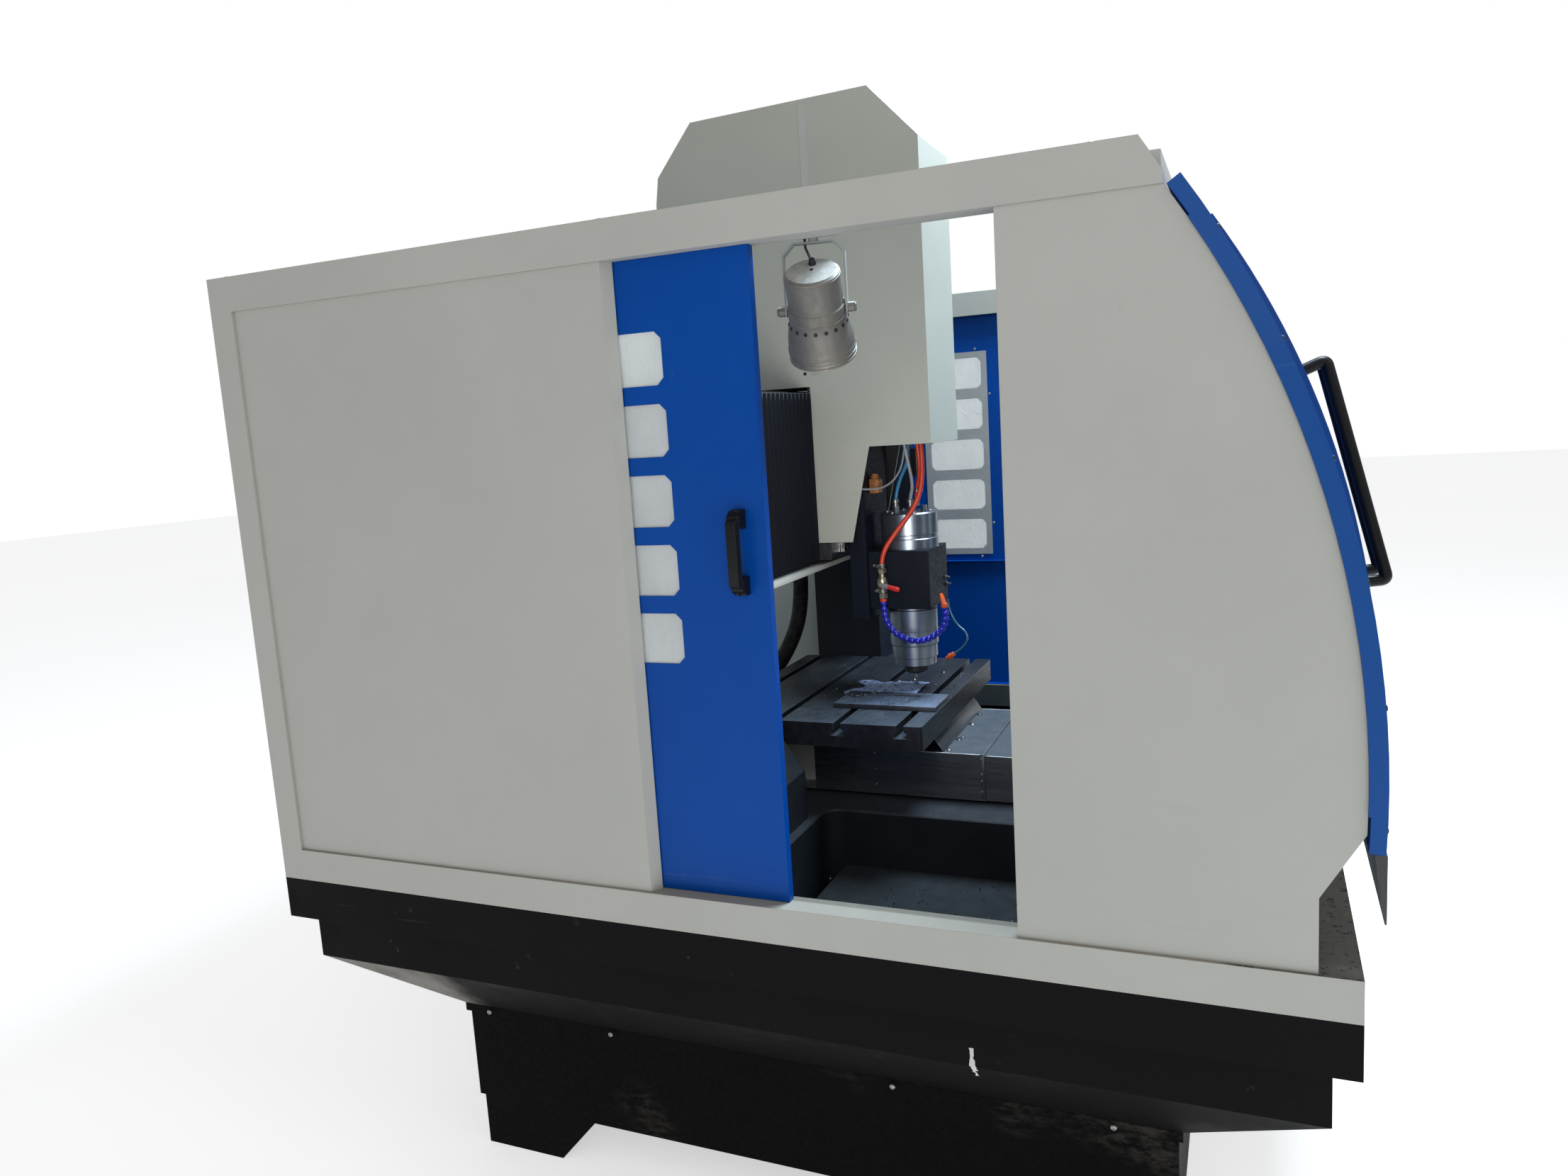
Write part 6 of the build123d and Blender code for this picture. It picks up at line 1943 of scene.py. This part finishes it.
@dataclass
class SideDoors(SubAssembly):
    """The two sliding side doors with their windows and handles."""

    nodes: ClassVar[dict[str, str]] = {
        "left_door": "door_blue", "left_door_windows": "window_clear", "left_door_handle": "handle_black",
        "right_door": "door_blue", "right_door_windows": "window_clear", "right_door_handle": "handle_black"}
    outer: float = 882
    shifts: ClassVar[dict[str, float]] = {"left": 0, "right": -182}
    window_front: float = 58
    window_width: float = 173
    screw_z: tuple[float, float] = (1333, 1745)
    screw_half: float = 73.5
    sheet_low: float = 1230
    sheet_high: float = 1882
    handle_y: float = -75
    handle_z: float = 1459

    def model(self) -> None:
        """Add the window screws, the handles and their screws."""
        for sign, name in ((-1, "left"), (1, "right")):
            body = f"{name}_door"
            shift = self.shifts[name]
            centre = self.window_front + shift + self.window_width / 2
            half = self.window_width / 2 + 29
            inner = -X_AXIS * sign
            face = sign * (self.outer - 20)
            ring = [(mm(face, centre + side, z), inner) for side in (-half, half) for z in self.screw_z]
            ring += [(mm(face, centre + side, z), inner) for side in (-self.screw_half, self.screw_half)
                     for z in (self.sheet_low - 7, self.sheet_high + 7)]
            self.add(screws(f"{name}_window_screws", Head.PAN, 0.0042, ring), "screw_zinc", body)
            self.add(self.bridge_handle(name, sign, self.handle_y + shift), "handle_black", body, f"{name}_door_handle")
            self.add(self.handle_screws(name, sign, self.handle_y + shift), "screw_black", body)

    def bridge_handle(self, name: str, sign: int, y: float) -> Object:
        """Shape a moulded bridge handle from two feet and a grip.

        Args:
            name: the door's side.
            sign: -1 for the near side and 1 for the far side.
            y: the handle's middle.

        Returns:
            The rounded handle.
        """
        outer = sign * self.outer
        grip_x = outer + sign * 42
        low, high = self.handle_z - 77.5, self.handle_z + 77.5

        def outward(centre: Vector, normal: Vector) -> bool:
            """Faces that look away from the door."""
            return normal.x * sign > 0.9

        parts = []
        for foot_z, end in ((low, 1), (high, -1)):
            z0, z1 = sorted((foot_z, foot_z + end * 34))
            x0, x1 = sorted((outer, outer + sign * 14))
            foot = block("handle_foot", mm(x0, y - 13, z0), mm(x1, y + 13, z1))
            push(foot, outward, mm(sign * 17, 0, end * 7))
            shrink(foot, outward, Vector((1, 0.92, 0.62)), mm(outer + sign * 31, y, foot_z + end * 12))
            inset(foot, lambda centre, normal, z=foot_z,
                e=end: normal.z * e < -0.5 and abs(centre.x - outer / 1000) > 0.012, 0.0035, -0.004)
            parts.append(foot)
        x0, x1 = sorted((grip_x - sign * 13, grip_x))
        grip = block("handle_grip", mm(x0, y - 13, low + 14), mm(x1, y + 13, high - 14))
        shrink(grip, outward, Vector((1, 0.8, 0.9)), mm(grip_x, y, self.handle_z))
        inset(grip, lambda centre, normal: abs(normal.y) > 0.8, 0.003, -0.0015)
        parts.append(grip)
        handle = join(f"{name}_bridge_handle", parts)
        soften(handle, 0.0022, 3, 25)
        return handle

    def handle_screws(self, name: str, sign: int, y: float) -> Object:
        """The two socket screws in the handle's feet.

        Args:
            name: the door's side.
            sign: -1 for the near side and 1 for the far side.
            y: the handle's middle.

        Returns:
            The screws.
        """
        outer = sign * self.outer
        places = [(mm(outer + sign * 12, y, self.handle_z + z), X_AXIS * sign) for z in (-73, 73)]
        return screws(f"{name}_handle_screws", Head.SOCKET, 0.005, places)


@dataclass
class FrontEnclosure(SubAssembly):
    """Curved front wings, front doors, their windows and handles, and the guide rail."""

    nodes: ClassVar[dict[str, str]] = {
        "front_wing_panels": "wing_blue", "front_guide_rail": "rail_black", "left_front_door": "wing_blue",
        "left_front_window": "window_tinted", "left_front_handle": "tube_black", "right_front_door": "wing_blue",
        "right_front_window": "window_tinted", "right_front_handle": "tube_black"}
    centre_y: float = 540
    centre_z: float = 1088
    wing_outer: float = 1647
    door_outer: float = 1672
    window_x: tuple[float, float] = (165, 395)
    window_angles: tuple[float, float] = (4, 22)
    handle_x: float = 80
    handle_angles: tuple[float, float] = (6.5, 22.3)
    handle_reach: float = 62
    handle_bend: float = 26

    def on_arc(self, radius: float, angle: float, x: float) -> Place:
        """A place on the front arc and the way it faces there, from an angle above the horizontal.

        Args:
            radius: the arc's radius.
            angle: degrees above the horizontal.
            x: the place along X.

        Returns:
            The place and its outward direction.
        """
        turn = math.radians(angle)
        way = Vector((0, -math.cos(turn), math.sin(turn)))
        return mm(x, self.centre_y, self.centre_z) + way * (radius / 1000), way

    def model(self) -> None:
        """Add wing screws, window seals, handle flanges, tube handles and centre seals."""
        angles = [-2.0, 4.5, 11, 17.5, 24, 30.5]
        rows = [self.on_arc(self.wing_outer, angle, 897) for angle in angles]
        self.add(screws("wing_screws", Head.PAN, 0.005, both_sides(rows)), "screw_black", "machine")
        for sign, name in ((-1, "left_front"), (1, "right_front")):
            body = f"{name}_door"
            self.add(self.window_seal(name, sign), "seal_rubber", body)
            flanges = [turned("handle_flange", *self.on_arc(self.door_outer, angle, sign * self.handle_x),
                              [(-0.0005, 0.021), (0.003, 0.021), (0.005, 0.019), (0.0055, 0.0135)],
                              28) for angle in self.handle_angles]
            self.add(join(f"{name}_handle_flanges", flanges), "tube_black", body)
            self.add(self.bent_handle(name, sign), "tube_black", body, f"{name}_handle")
            self.add(self.center_seal(name, sign), "seal_rubber", body)

    def bent_handle(self, name: str, sign: int) -> Object:
        """Bend a front door's tube handle: two feet square to the door and a straight grip.

        Args:
            name: the door's side.
            sign: -1 for the near door and 1 for the far one.

        Returns:
            The handle.
        """
        x = sign * self.handle_x
        feet = [self.on_arc(self.door_outer - 2, angle, x)[0] for angle in self.handle_angles]
        low, high = (self.on_arc(self.door_outer + self.handle_reach, angle, x)[0] for angle in self.handle_angles)
        bend = self.handle_bend / 1000
        along = (high - low).normalized() * bend
        out_low, out_high = (low - feet[0]).normalized() * bend, (high - feet[1]).normalized() * bend
        route = [feet[0], low - out_low, low - out_low, low, low + along, low + along,
                 high - along, high - along, high, high - out_high, high - out_high, feet[1]]
        return tube(f"{name}_tube_handle", route, 0.0125, 6)

    def window_seal(self, name: str, sign: int) -> Object:
        """Draw the rubber profile round a front window opening, along the curved edge.

        Args:
            name: the door's side.
            sign: -1 for the near door and 1 for the far one.

        Returns:
            The seal.
        """
        low, high = self.window_angles
        steps = 9
        corners: list[Vector] = []
        for x, first, last in ((self.window_x[0], low, high), (self.window_x[1], high, low)):
            for index in range(steps + 1):
                angle = first + (last - first) * index / steps
                corners.append(self.on_arc(self.door_outer, angle, sign * x)[0])
        route = spline(f"{name}_window_seal", corners, "POLY")
        route.data.splines[0].use_cyclic_u = True
        seal = thicken(route, 0.0036, 3)
        smooth(seal)
        return seal

    def center_seal(self, name: str, sign: int) -> Object:
        """The soft strip down the edge where the two front doors meet."""
        points = [self.on_arc(self.door_outer - 1, angle, sign * 2.6)[0] for angle in (-2.6, 4, 10, 16, 22, 28, 32.6)]
        return tube(f"{name}_center_seal", points, 0.0022, 2)


@dataclass
class Cabin(SubAssembly):
    """Welded frame, side panels and back wall."""

    nodes: ClassVar[dict[str, str]] = {
        "enclosure_frame": "frame_beige", "side_panels": "panel_beige", "back_wall": "panel_beige"}
    wall_rear: float = 1122

    def model(self) -> None:
        """Add the back wall's screws and the fasteners on the roof beams."""
        places: list[Place] = []
        for z in (812, 1100, 1395, 1690, 1976):
            for x in (-835, -18, 18, 835):
                places.append((mm(x, self.wall_rear, z), Y_AXIS))
        for x in (-560, -290, 290, 560):
            places += [(mm(x, self.wall_rear, 812), Y_AXIS), (mm(x, self.wall_rear, 1976), Y_AXIS)]
        self.add(screws("back_wall_screws", Head.PAN, 0.0055, places), "screw_zinc", "machine")
        lugs = both_sides([(mm(883, y, 2065), Z_AXIS) for y in (-700, -211, 163, 1098)])
        self.add(screws("roof_beam_screws", Head.HEX, 0.008, lugs), "screw_zinc", "machine")


@dataclass
class WorkLamp(SubAssembly):
    """The tilting work lamp on its bail."""

    nodes: ClassVar[dict[str, str]] = {
        "lamp_can": "lamp_metal", "lamp_bracket": "lamp_bracket", "lamp_cable": "lamp_cable"}
    pivot: Point = (-760, -200, 1884)
    yaw: float = 12.5
    swing: float = 35

    def axes(self) -> tuple[Vector, Vector, Vector, Vector]:
        """The lamp's pivot axis, its heading, its own axis and its side.

        Returns:
            The four directions.
        """
        yaw, swing = math.radians(self.yaw), math.radians(self.swing)
        across = Vector((-math.sin(yaw), math.cos(yaw), 0))
        ahead = Vector((math.cos(yaw), math.sin(yaw), 0))
        up = Z_AXIS * math.cos(swing) - ahead * math.sin(swing)
        side = ahead * math.cos(swing) + Z_AXIS * math.sin(swing)
        return across, ahead, up, side

    def model(self) -> None:
        """Add the vent holes, beads, bulb, knob caps, cable and bracket screws."""
        across, ahead, up, side = self.axes()
        pivot = mm(*self.pivot)
        vents = []
        for index in range(18):
            angle = 2 * math.pi * (index + 0.5) / 18
            out = (across * math.cos(angle) + side * math.sin(angle)).normalized()
            vents.append(turned("lamp_vent", pivot - up * 0.021 + out * 0.0535, out,
                [(-0.004, 0.0034), (0.0022, 0.0034), (0.0024, 0.0028)], 12))
        self.add(join("lamp_vents", vents), "seal_rubber", "lamp")
        hoops = [turned("lamp_hoop", pivot, up, rings, 48) for rings in (
            [(0.0655, 0.0498), (0.0665, 0.0512), (0.0685, 0.0512), (0.0695, 0.0498)],
            [(-0.0125, 0.0502), (-0.0118, 0.0532), (-0.0095, 0.0532), (-0.0088, 0.0502)],
            [(-0.083, 0.0618), (-0.082, 0.063), (-0.0805, 0.063), (-0.0795, 0.0618)],
            [(-0.0918, 0.0618), (-0.0915, 0.0634), (-0.0885, 0.0634), (-0.088, 0.0618)])]
        self.add(join("lamp_hoops", hoops), "lamp_metal", "lamp")
        bulb = turned("lamp_bulb", pivot, up, [(0.04, 0.013), (0.01, 0.013), (0.0, 0.014), (-0.02, 0.022),
            (-0.04, 0.03), (-0.058, 0.032),
                                               (-0.072, 0.028), (-0.081, 0.018), (-0.084, 0.006)], 32)
        self.add(bulb, "bulb_glass", "lamp")
        self.add(screws("lamp_top_screws", Head.PAN, 0.0036, [(pivot + up * 0.0755 + side * 0.004, up)]),
            "screw_black", "lamp")
        gland = turned("lamp_cable_gland", pivot + up * 0.0755 + side * 0.024, up,
                       [(0, 0.007), (0.004, 0.007), (0.0045, 0.0058), (0.010, 0.0055), (0.012, 0.0042)], 12)
        self.add(gland, "seal_rubber", "lamp")
        knobs = [turned("knob_cap", pivot + across * sign * 0.0695, across * sign,
            [(0, 0.0072), (0.001, 0.0078), (0.0025, 0.0072), (0.003, 0.005)], 16) for sign in (-1, 1)]
        self.add(join("lamp_knob_caps", knobs), "lamp_metal", "lamp")
        start = pivot + Z_AXIS * 0.131 + across * 0.018 + ahead * 0.018
        end = pivot + up * 0.076 + side * 0.024
        route = [start, start - Z_AXIS * 0.02, end + up * 0.026 + across * 0.006, end]
        cable = tube("lamp_lead", route, 0.0025)
        self.add(cable, "lamp_cable", "machine", "lamp_cable", bend=("lamp", start, end))
        bolts = [(mm(-852.5 + 3.5, y, 2045), X_AXIS) for y in (-225, -175)]
        self.add(screws("lamp_bracket_screws", Head.HEX, 0.0065, bolts), "screw_zinc", "machine")


@dataclass
class TableUnit(SubAssembly):
    """T-slot table, saddle, way covers and the work on the table."""

    nodes: ClassVar[dict[str, str]] = {
        "table": "table_iron", "table_saddle": "bed_paint", "y_blocks": "ground_steel", "way_cover_main": "cover_steel",
        "way_cover_middle": "cover_steel", "way_cover_front": "cover_steel", "rear_way_cover": "frame_beige",
        "work_plate": "plate_iron"}
    table_top: float = 994
    plate_top: float = 1006
    hood_half: float = 205
    hood_top: float = 890
    middle_half: float = 202
    middle_top: float = 887
    plate_low: Point = (-226, -238, 994)
    plate_high: Point = (-100, 18, 1006)
    chip_count: int = 260
    slot_y: tuple[float, ...] = (-189, -37, 115, 267)
    slot_half: float = 11
    cutter_clear: float = 36
    heaps: tuple[tuple[float, float, float, float], ...] = (
        (-148, -14, 1007, 13), (-140, -34, 1007, 10), (-136, 4, 1007, 10), (-40, 72, 994, 9), (60, -60, 994, 8),
        (230, -80, 994, 9), (180, -150, 994, 7), (-182, -254, 890, 8), (-92, -256, 890, 10), (-78, -262, 890, 6),
        (48, -256, 890, 9), (140, -254, 890, 7))

    def model(self) -> None:
        """Add chips, way cover rivets and lips, the edge beads, the scraper and the milled plate."""
        rivets = both_sides([(mm(self.hood_half, -336, z), X_AXIS) for z in (800, 826, 842, 879)])
        rivets += both_sides([(mm(self.hood_half, -60 - 14, z), X_AXIS) for z in (800, 840, 879)])
        self.add(screws("way_cover_rivets", Head.PAN, 0.0032, rivets), "screw_zinc", "table")
        self.add(self.hood_lip("main_cover_lip", self.hood_half, self.hood_top, -344), "cover_steel", "table")
        self.add(self.hood_lip("middle_cover_lip", self.middle_half, self.middle_top, -740), "cover_steel",
            "middle_way_cover")
        self.add(self.rolled_edges("main_cover_edges", self.hood_half, self.hood_top, (-334, -62)), "edge_highlight_paint",
            "table")
        self.add(self.scraper(), "cover_steel", "table")
        self.add(self.rolled_edges("middle_cover_edges", self.middle_half, self.middle_top, (-730, -350)),
            "edge_highlight_paint", "middle_way_cover")
        self.add(self.plate(), "plate_iron", "table", "work_plate")
        self.add(self.chip_crust("plate_chip_crust", mm(-200, -236, 1006.2), mm(-104, 14, 0), 0.004, 3), "chip_crust",
            "table")
        self.add(self.chip_crust("table_chip_crust", mm(-112, -196, 999), mm(70, 60, 0), 0.0085, 5), "chip_crust",
            "table")
        self.add(self.chip_bed(), "chip_bright", "table")
        self.add(self.chip_heaps(), "chip_metal", "table")

    def plate(self) -> Object:
        """The milled plate on the table, with the groove just cut in it.

        Returns:
            The plate.
        """
        plate = block("milled_plate", mm(*self.plate_low), mm(*self.plate_high))
        cut_out(plate, block("groove", mm(-136, -178, self.plate_top - 4), mm(-120, -92, self.plate_top + 4)))
        soften(plate, 0.0007, 2, 40)
        return plate

    def chip_crust(self, name: str, low: Vector, high: Vector, relief: float, seed: int) -> Object:
        """Lay a patchy crust of fine chips: an uneven sheet that shows only where it stands above the surface.

        Args:
            name: the piece's name.
            low: the patch's low corner, at the height of the sheet.
            high: its high corner.
            relief: height between the sheet's valleys and tops.
            seed: sets which lumps it gets.

        Returns:
            The crust.
        """
        clear_selection()
        middle, size = (low + high) / 2, high - low
        bpy.ops.mesh.primitive_grid_add(
            x_subdivisions=90, y_subdivisions=120, size=1, location=(middle.x, middle.y, low.z))
        crust = name_new(name)
        crust.scale = (size.x, size.y, 1)
        apply_place(crust)
        for strength, scale in ((relief, 0.03), (relief * 0.55, 0.006)):
            lumps = bpy.data.textures.new(f"{name}_{scale}", "CLOUDS")
            lumps.noise_scale, lumps.noise_depth = scale, 3
            modify(crust, "DISPLACE", texture=lumps, strength=strength, direction="Z", mid_level=0.5,
                   texture_coords="LOCAL")
        for vertex in crust.data.vertices:
            reach = max(abs(vertex.co.x - middle.x) / (size.x / 2), abs(vertex.co.y - middle.y) / (size.y / 2))
            wave = math.sin(vertex.co.x * 61 + seed) * math.sin(vertex.co.y * 47 + 2 * seed) * 0.18
            vertex.co.z -= relief * max(0.0, reach + wave - 0.62) * 3.2
        modify(crust, "SOLIDIFY", thickness=0.0008, offset=-1)
        smooth(crust, 50)
        return crust

    def hood_lip(self, name: str, half: float, top: float, front: float) -> Object:
        """Lay the bright stiffening strip round a cover's front edge.

        Args:
            name: the piece's name.
            half: half of the cover's width.
            top: the cover's height.
            front: the strip's front.

        Returns:
            The strip.
        """
        sides = ((-half, half, top - 0.2), (-half - 0.9, -half + 0.2, 782), (half - 0.2, half + 0.9, 782))
        lip = join(name, [block("lip", mm(x0, front, z), mm(x1, front + 9, top + 0.9)) for x0, x1, z in sides])
        soften(lip, 0.0003)
        return lip

    def rolled_edges(self, name: str, half: float, top: float, run: tuple[float, float]) -> Object:
        """The narrow bead along both top edges of a way cover, painted pale as a painted highlight.

        Args:
            name: the piece's name.
            half: half of the cover's width.
            top: the cover's height.
            run: the beads' ends along Y.

        Returns:
            The two beads.
        """
        parts = []
        for sign in (-1, 1):
            x0, x1 = sorted((sign * (half - 1.6), sign * (half + 0.3)))
            bead = block("cover_edge", mm(x0, run[0], top - 1.6), mm(x1, run[1], top + 0.3))
            soften(bead, 0.0007, 3)
            parts.append(bead)
        return join(name, parts)

    def scraper(self) -> Object:
        """The sloping scraper sheet between the table's front edge and the way cover.

        Returns:
            The sheet.
        """
        half, low, high = self.hood_half - 2, self.hood_top + 0.4, 937
        sheet = block("table_scraper", mm(-half, -247, low), mm(half, -244, high - 0.4))
        with faces(sheet, lambda place, facing: facing.z > 0.9):
            bpy.ops.transform.translate(value=(0, 0.03, 0))
        soften(sheet, 0.0008)
        return sheet

    def chip_place(self, x: float, y: float, z: float, size: float) -> Matrix:
        """A random lie for one chip at a point in millimetres."""
        lean = Matrix.Rotation(random.uniform(0, 6.28), 4, "Z") @ Matrix.Rotation(random.uniform(-0.9, 0.9), 4, "X")
        return Matrix.Translation(mm(x, y, z)) @ lean @ Matrix.Scale(size, 4)

    def chip_bed(self) -> Object:
        """Fine chips on the plate and on the table round it, thickest behind the cutter.

        Returns:
            The chips.
        """
        places: list[Matrix] = []
        while len(places) < self.chip_count:
            x, y = random.gauss(-70, 95), random.gauss(-70, 90)
            if not (-340 < x < 340 and -235 < y < 310):
                continue
            on_plate = all(low + 4 < at < high - 4 for low, at, high in zip(self.plate_low, (x, y), self.plate_high))
            if not on_plate and any(abs(y - slot) < self.slot_half for slot in self.slot_y):
                continue
            top = self.plate_top if on_plate else self.table_top
            if on_plate and math.hypot(x, y + 127) < self.cutter_clear:
                continue
            places.append(self.chip_place(x, y, top + 0.7, random.uniform(0.4, 1.0)))
        return repeat("table_chips", chip_pattern(), places)

    def chip_heaps(self) -> Object:
        """Small dark heaps of chips beside the cut.

        Returns:
            The heaps.
        """
        heaps = []
        for x, y, top, reach in self.heaps:
            outline = ((-0.0003, 1), (0.0012, 0.86), (0.0028, 0.55), (0.0036, 0.2))
            rings = [(height, reach * share / 1000) for height, share in outline]
            heap = turned("chip_heap", mm(x, y, top), Z_AXIS, rings, 14)
            for vertex in heap.data.vertices:
                sway = Vector((random.uniform(-1, 1), random.uniform(-1, 1), random.uniform(-0.2, 0.5)))
                vertex.co += sway * reach * 0.00012
            heaps.append(heap)
        return join("chip_heaps", heaps)


ASSEMBLIES = (Foundation, Gantry, Bellows, SpindleHead, HeadCover, SideDoors, FrontEnclosure, Cabin, WorkLamp,
    TableUnit)


# -------- studio


@dataclass
class Studio:
    """The pale floor, the soft light and the camera at the photograph's viewpoint."""

    eye: Point = (-2.663, -0.924, 1.673)
    right: Point = (0.38800, -0.91955, -0.06225)
    forward: Point = (0.90843, 0.39296, -0.14261)
    lens: float = 25.19
    sensor: float = 36
    floor_half: float = 30
    surround: float = 0.38

    def place_camera(self) -> None:
        """Stand the camera where the photograph was taken from."""
        data = bpy.data.cameras.new("view_camera")
        data.lens, data.sensor_width, data.sensor_fit = self.lens, self.sensor, "HORIZONTAL"
        data.clip_start, data.clip_end = 0.02, 200
        camera = put_in("view_camera", data)
        right, forward = Vector(self.right).normalized(), Vector(self.forward).normalized()
        turn = Matrix((right, right.cross(forward).normalized(), -forward)).transposed()
        camera.matrix_world = Matrix.Translation(Vector(self.eye)) @ turn.to_4x4()
        bpy.context.scene.camera = camera

    def lay_floor(self) -> None:
        """Lay the pale floor."""
        clear_selection()
        bpy.ops.mesh.primitive_plane_add(size=2 * self.floor_half, location=(0, 0, -0.0005))
        floor = name_new("studio_floor")
        look = Finish("studio_pale", (0.9, 0.9, 0.9), 0.85).start(0.1, emission_strength=0.56, emission_color=(1, 1, 1))
        tone = look.blend(look.mask(Effect.TONE, scale=0.3), (0.93, 0.93, 0.93), (0.96, 0.96, 0.96))
        look.feed(look.shader.inputs["Base Color"], tone)
        floor.data.materials.append(look.material)

    def area_light(self, name: str, place: Point, aim: Point, size: float, power: float, tint: Colour) -> None:
        """Hang one soft light.

        Args:
            name: the light's name.
            place: where it hangs.
            aim: the point that it faces.
            size: its width.
            power: its power in watts.
            tint: its colour.
        """
        data = bpy.data.lights.new(name, "AREA")
        data.shape, data.size, data.energy, data.color = "DISK", size, power, tint
        light = put_in(name, data)
        light.visible_camera = False
        turn = (Vector(place) - Vector(aim)).to_track_quat("Z", "Y")
        light.matrix_world = Matrix.Translation(Vector(place)) @ turn.to_matrix().to_4x4()

    def light(self) -> None:
        """Set the even white surroundings and the soft lights."""
        world = bpy.data.worlds.new("studio_surround")
        world.use_nodes = True
        graph = Graph(world.node_tree)
        lighting = graph.tree.nodes["Background"]
        lighting.inputs["Color"].default_value = (0.98, 0.99, 1, 1)
        lighting.inputs["Strength"].default_value = self.surround
        backdrop = graph.node("Background", {"Color": (1.0, 1.0, 1.0), "Strength": 1.0})
        path = graph.node("LightPath")
        seen = graph.calc("MAXIMUM", path.outputs["Is Camera Ray"], path.outputs["Is Transmission Ray"])
        choice = graph.node("MixShader", {0: seen, 1: lighting.outputs[0], 2: backdrop.outputs[0]})
        graph.feed(graph.tree.nodes["World Output"].inputs["Surface"], choice.outputs[0])
        bpy.context.scene.world = world
        bpy.context.scene.view_settings.view_transform = "Standard"
        self.area_light("front_softbox", (-1.6, -5.2, 4.4), (0, -0.1, 1.5), 3.0, 55, (1, 1, 1))
        self.area_light("door_softbox", (-3.4, -1.1, 2.7), (0, -0.1, 1.5), 1.8, 11, (1, 0.99, 0.96))
        self.area_light("doorway_fill", (-0.8, -0.27, 1.42), (0.1, -0.1, 1.45), 0.34, 2.4, (1, 0.98, 0.94))
        self.area_light("cabin_daylight", (0.55, -1.0, 4.2), (0.15, -0.25, 1.0), 1.6, 255, (0.68, 0.85, 1))

    def build(self) -> None:
        """Set up the camera, the floor and the light."""
        self.place_camera()
        self.lay_floor()
        self.light()
        log.info("studio: camera, floor and lights")


# -------- building it all


def main() -> None:
    """Build the studio and every sub-assembly in order."""
    random.seed(11)
    Studio().build()
    finishes = Finishes()
    for kind in ASSEMBLIES:
        for piece in kind(finishes).build():
            log.info("%s: %s, %d faces", kind.__name__, piece.name, len(piece.data.polygons))
    clear_selection()


if __name__ == "__main__":
    main()
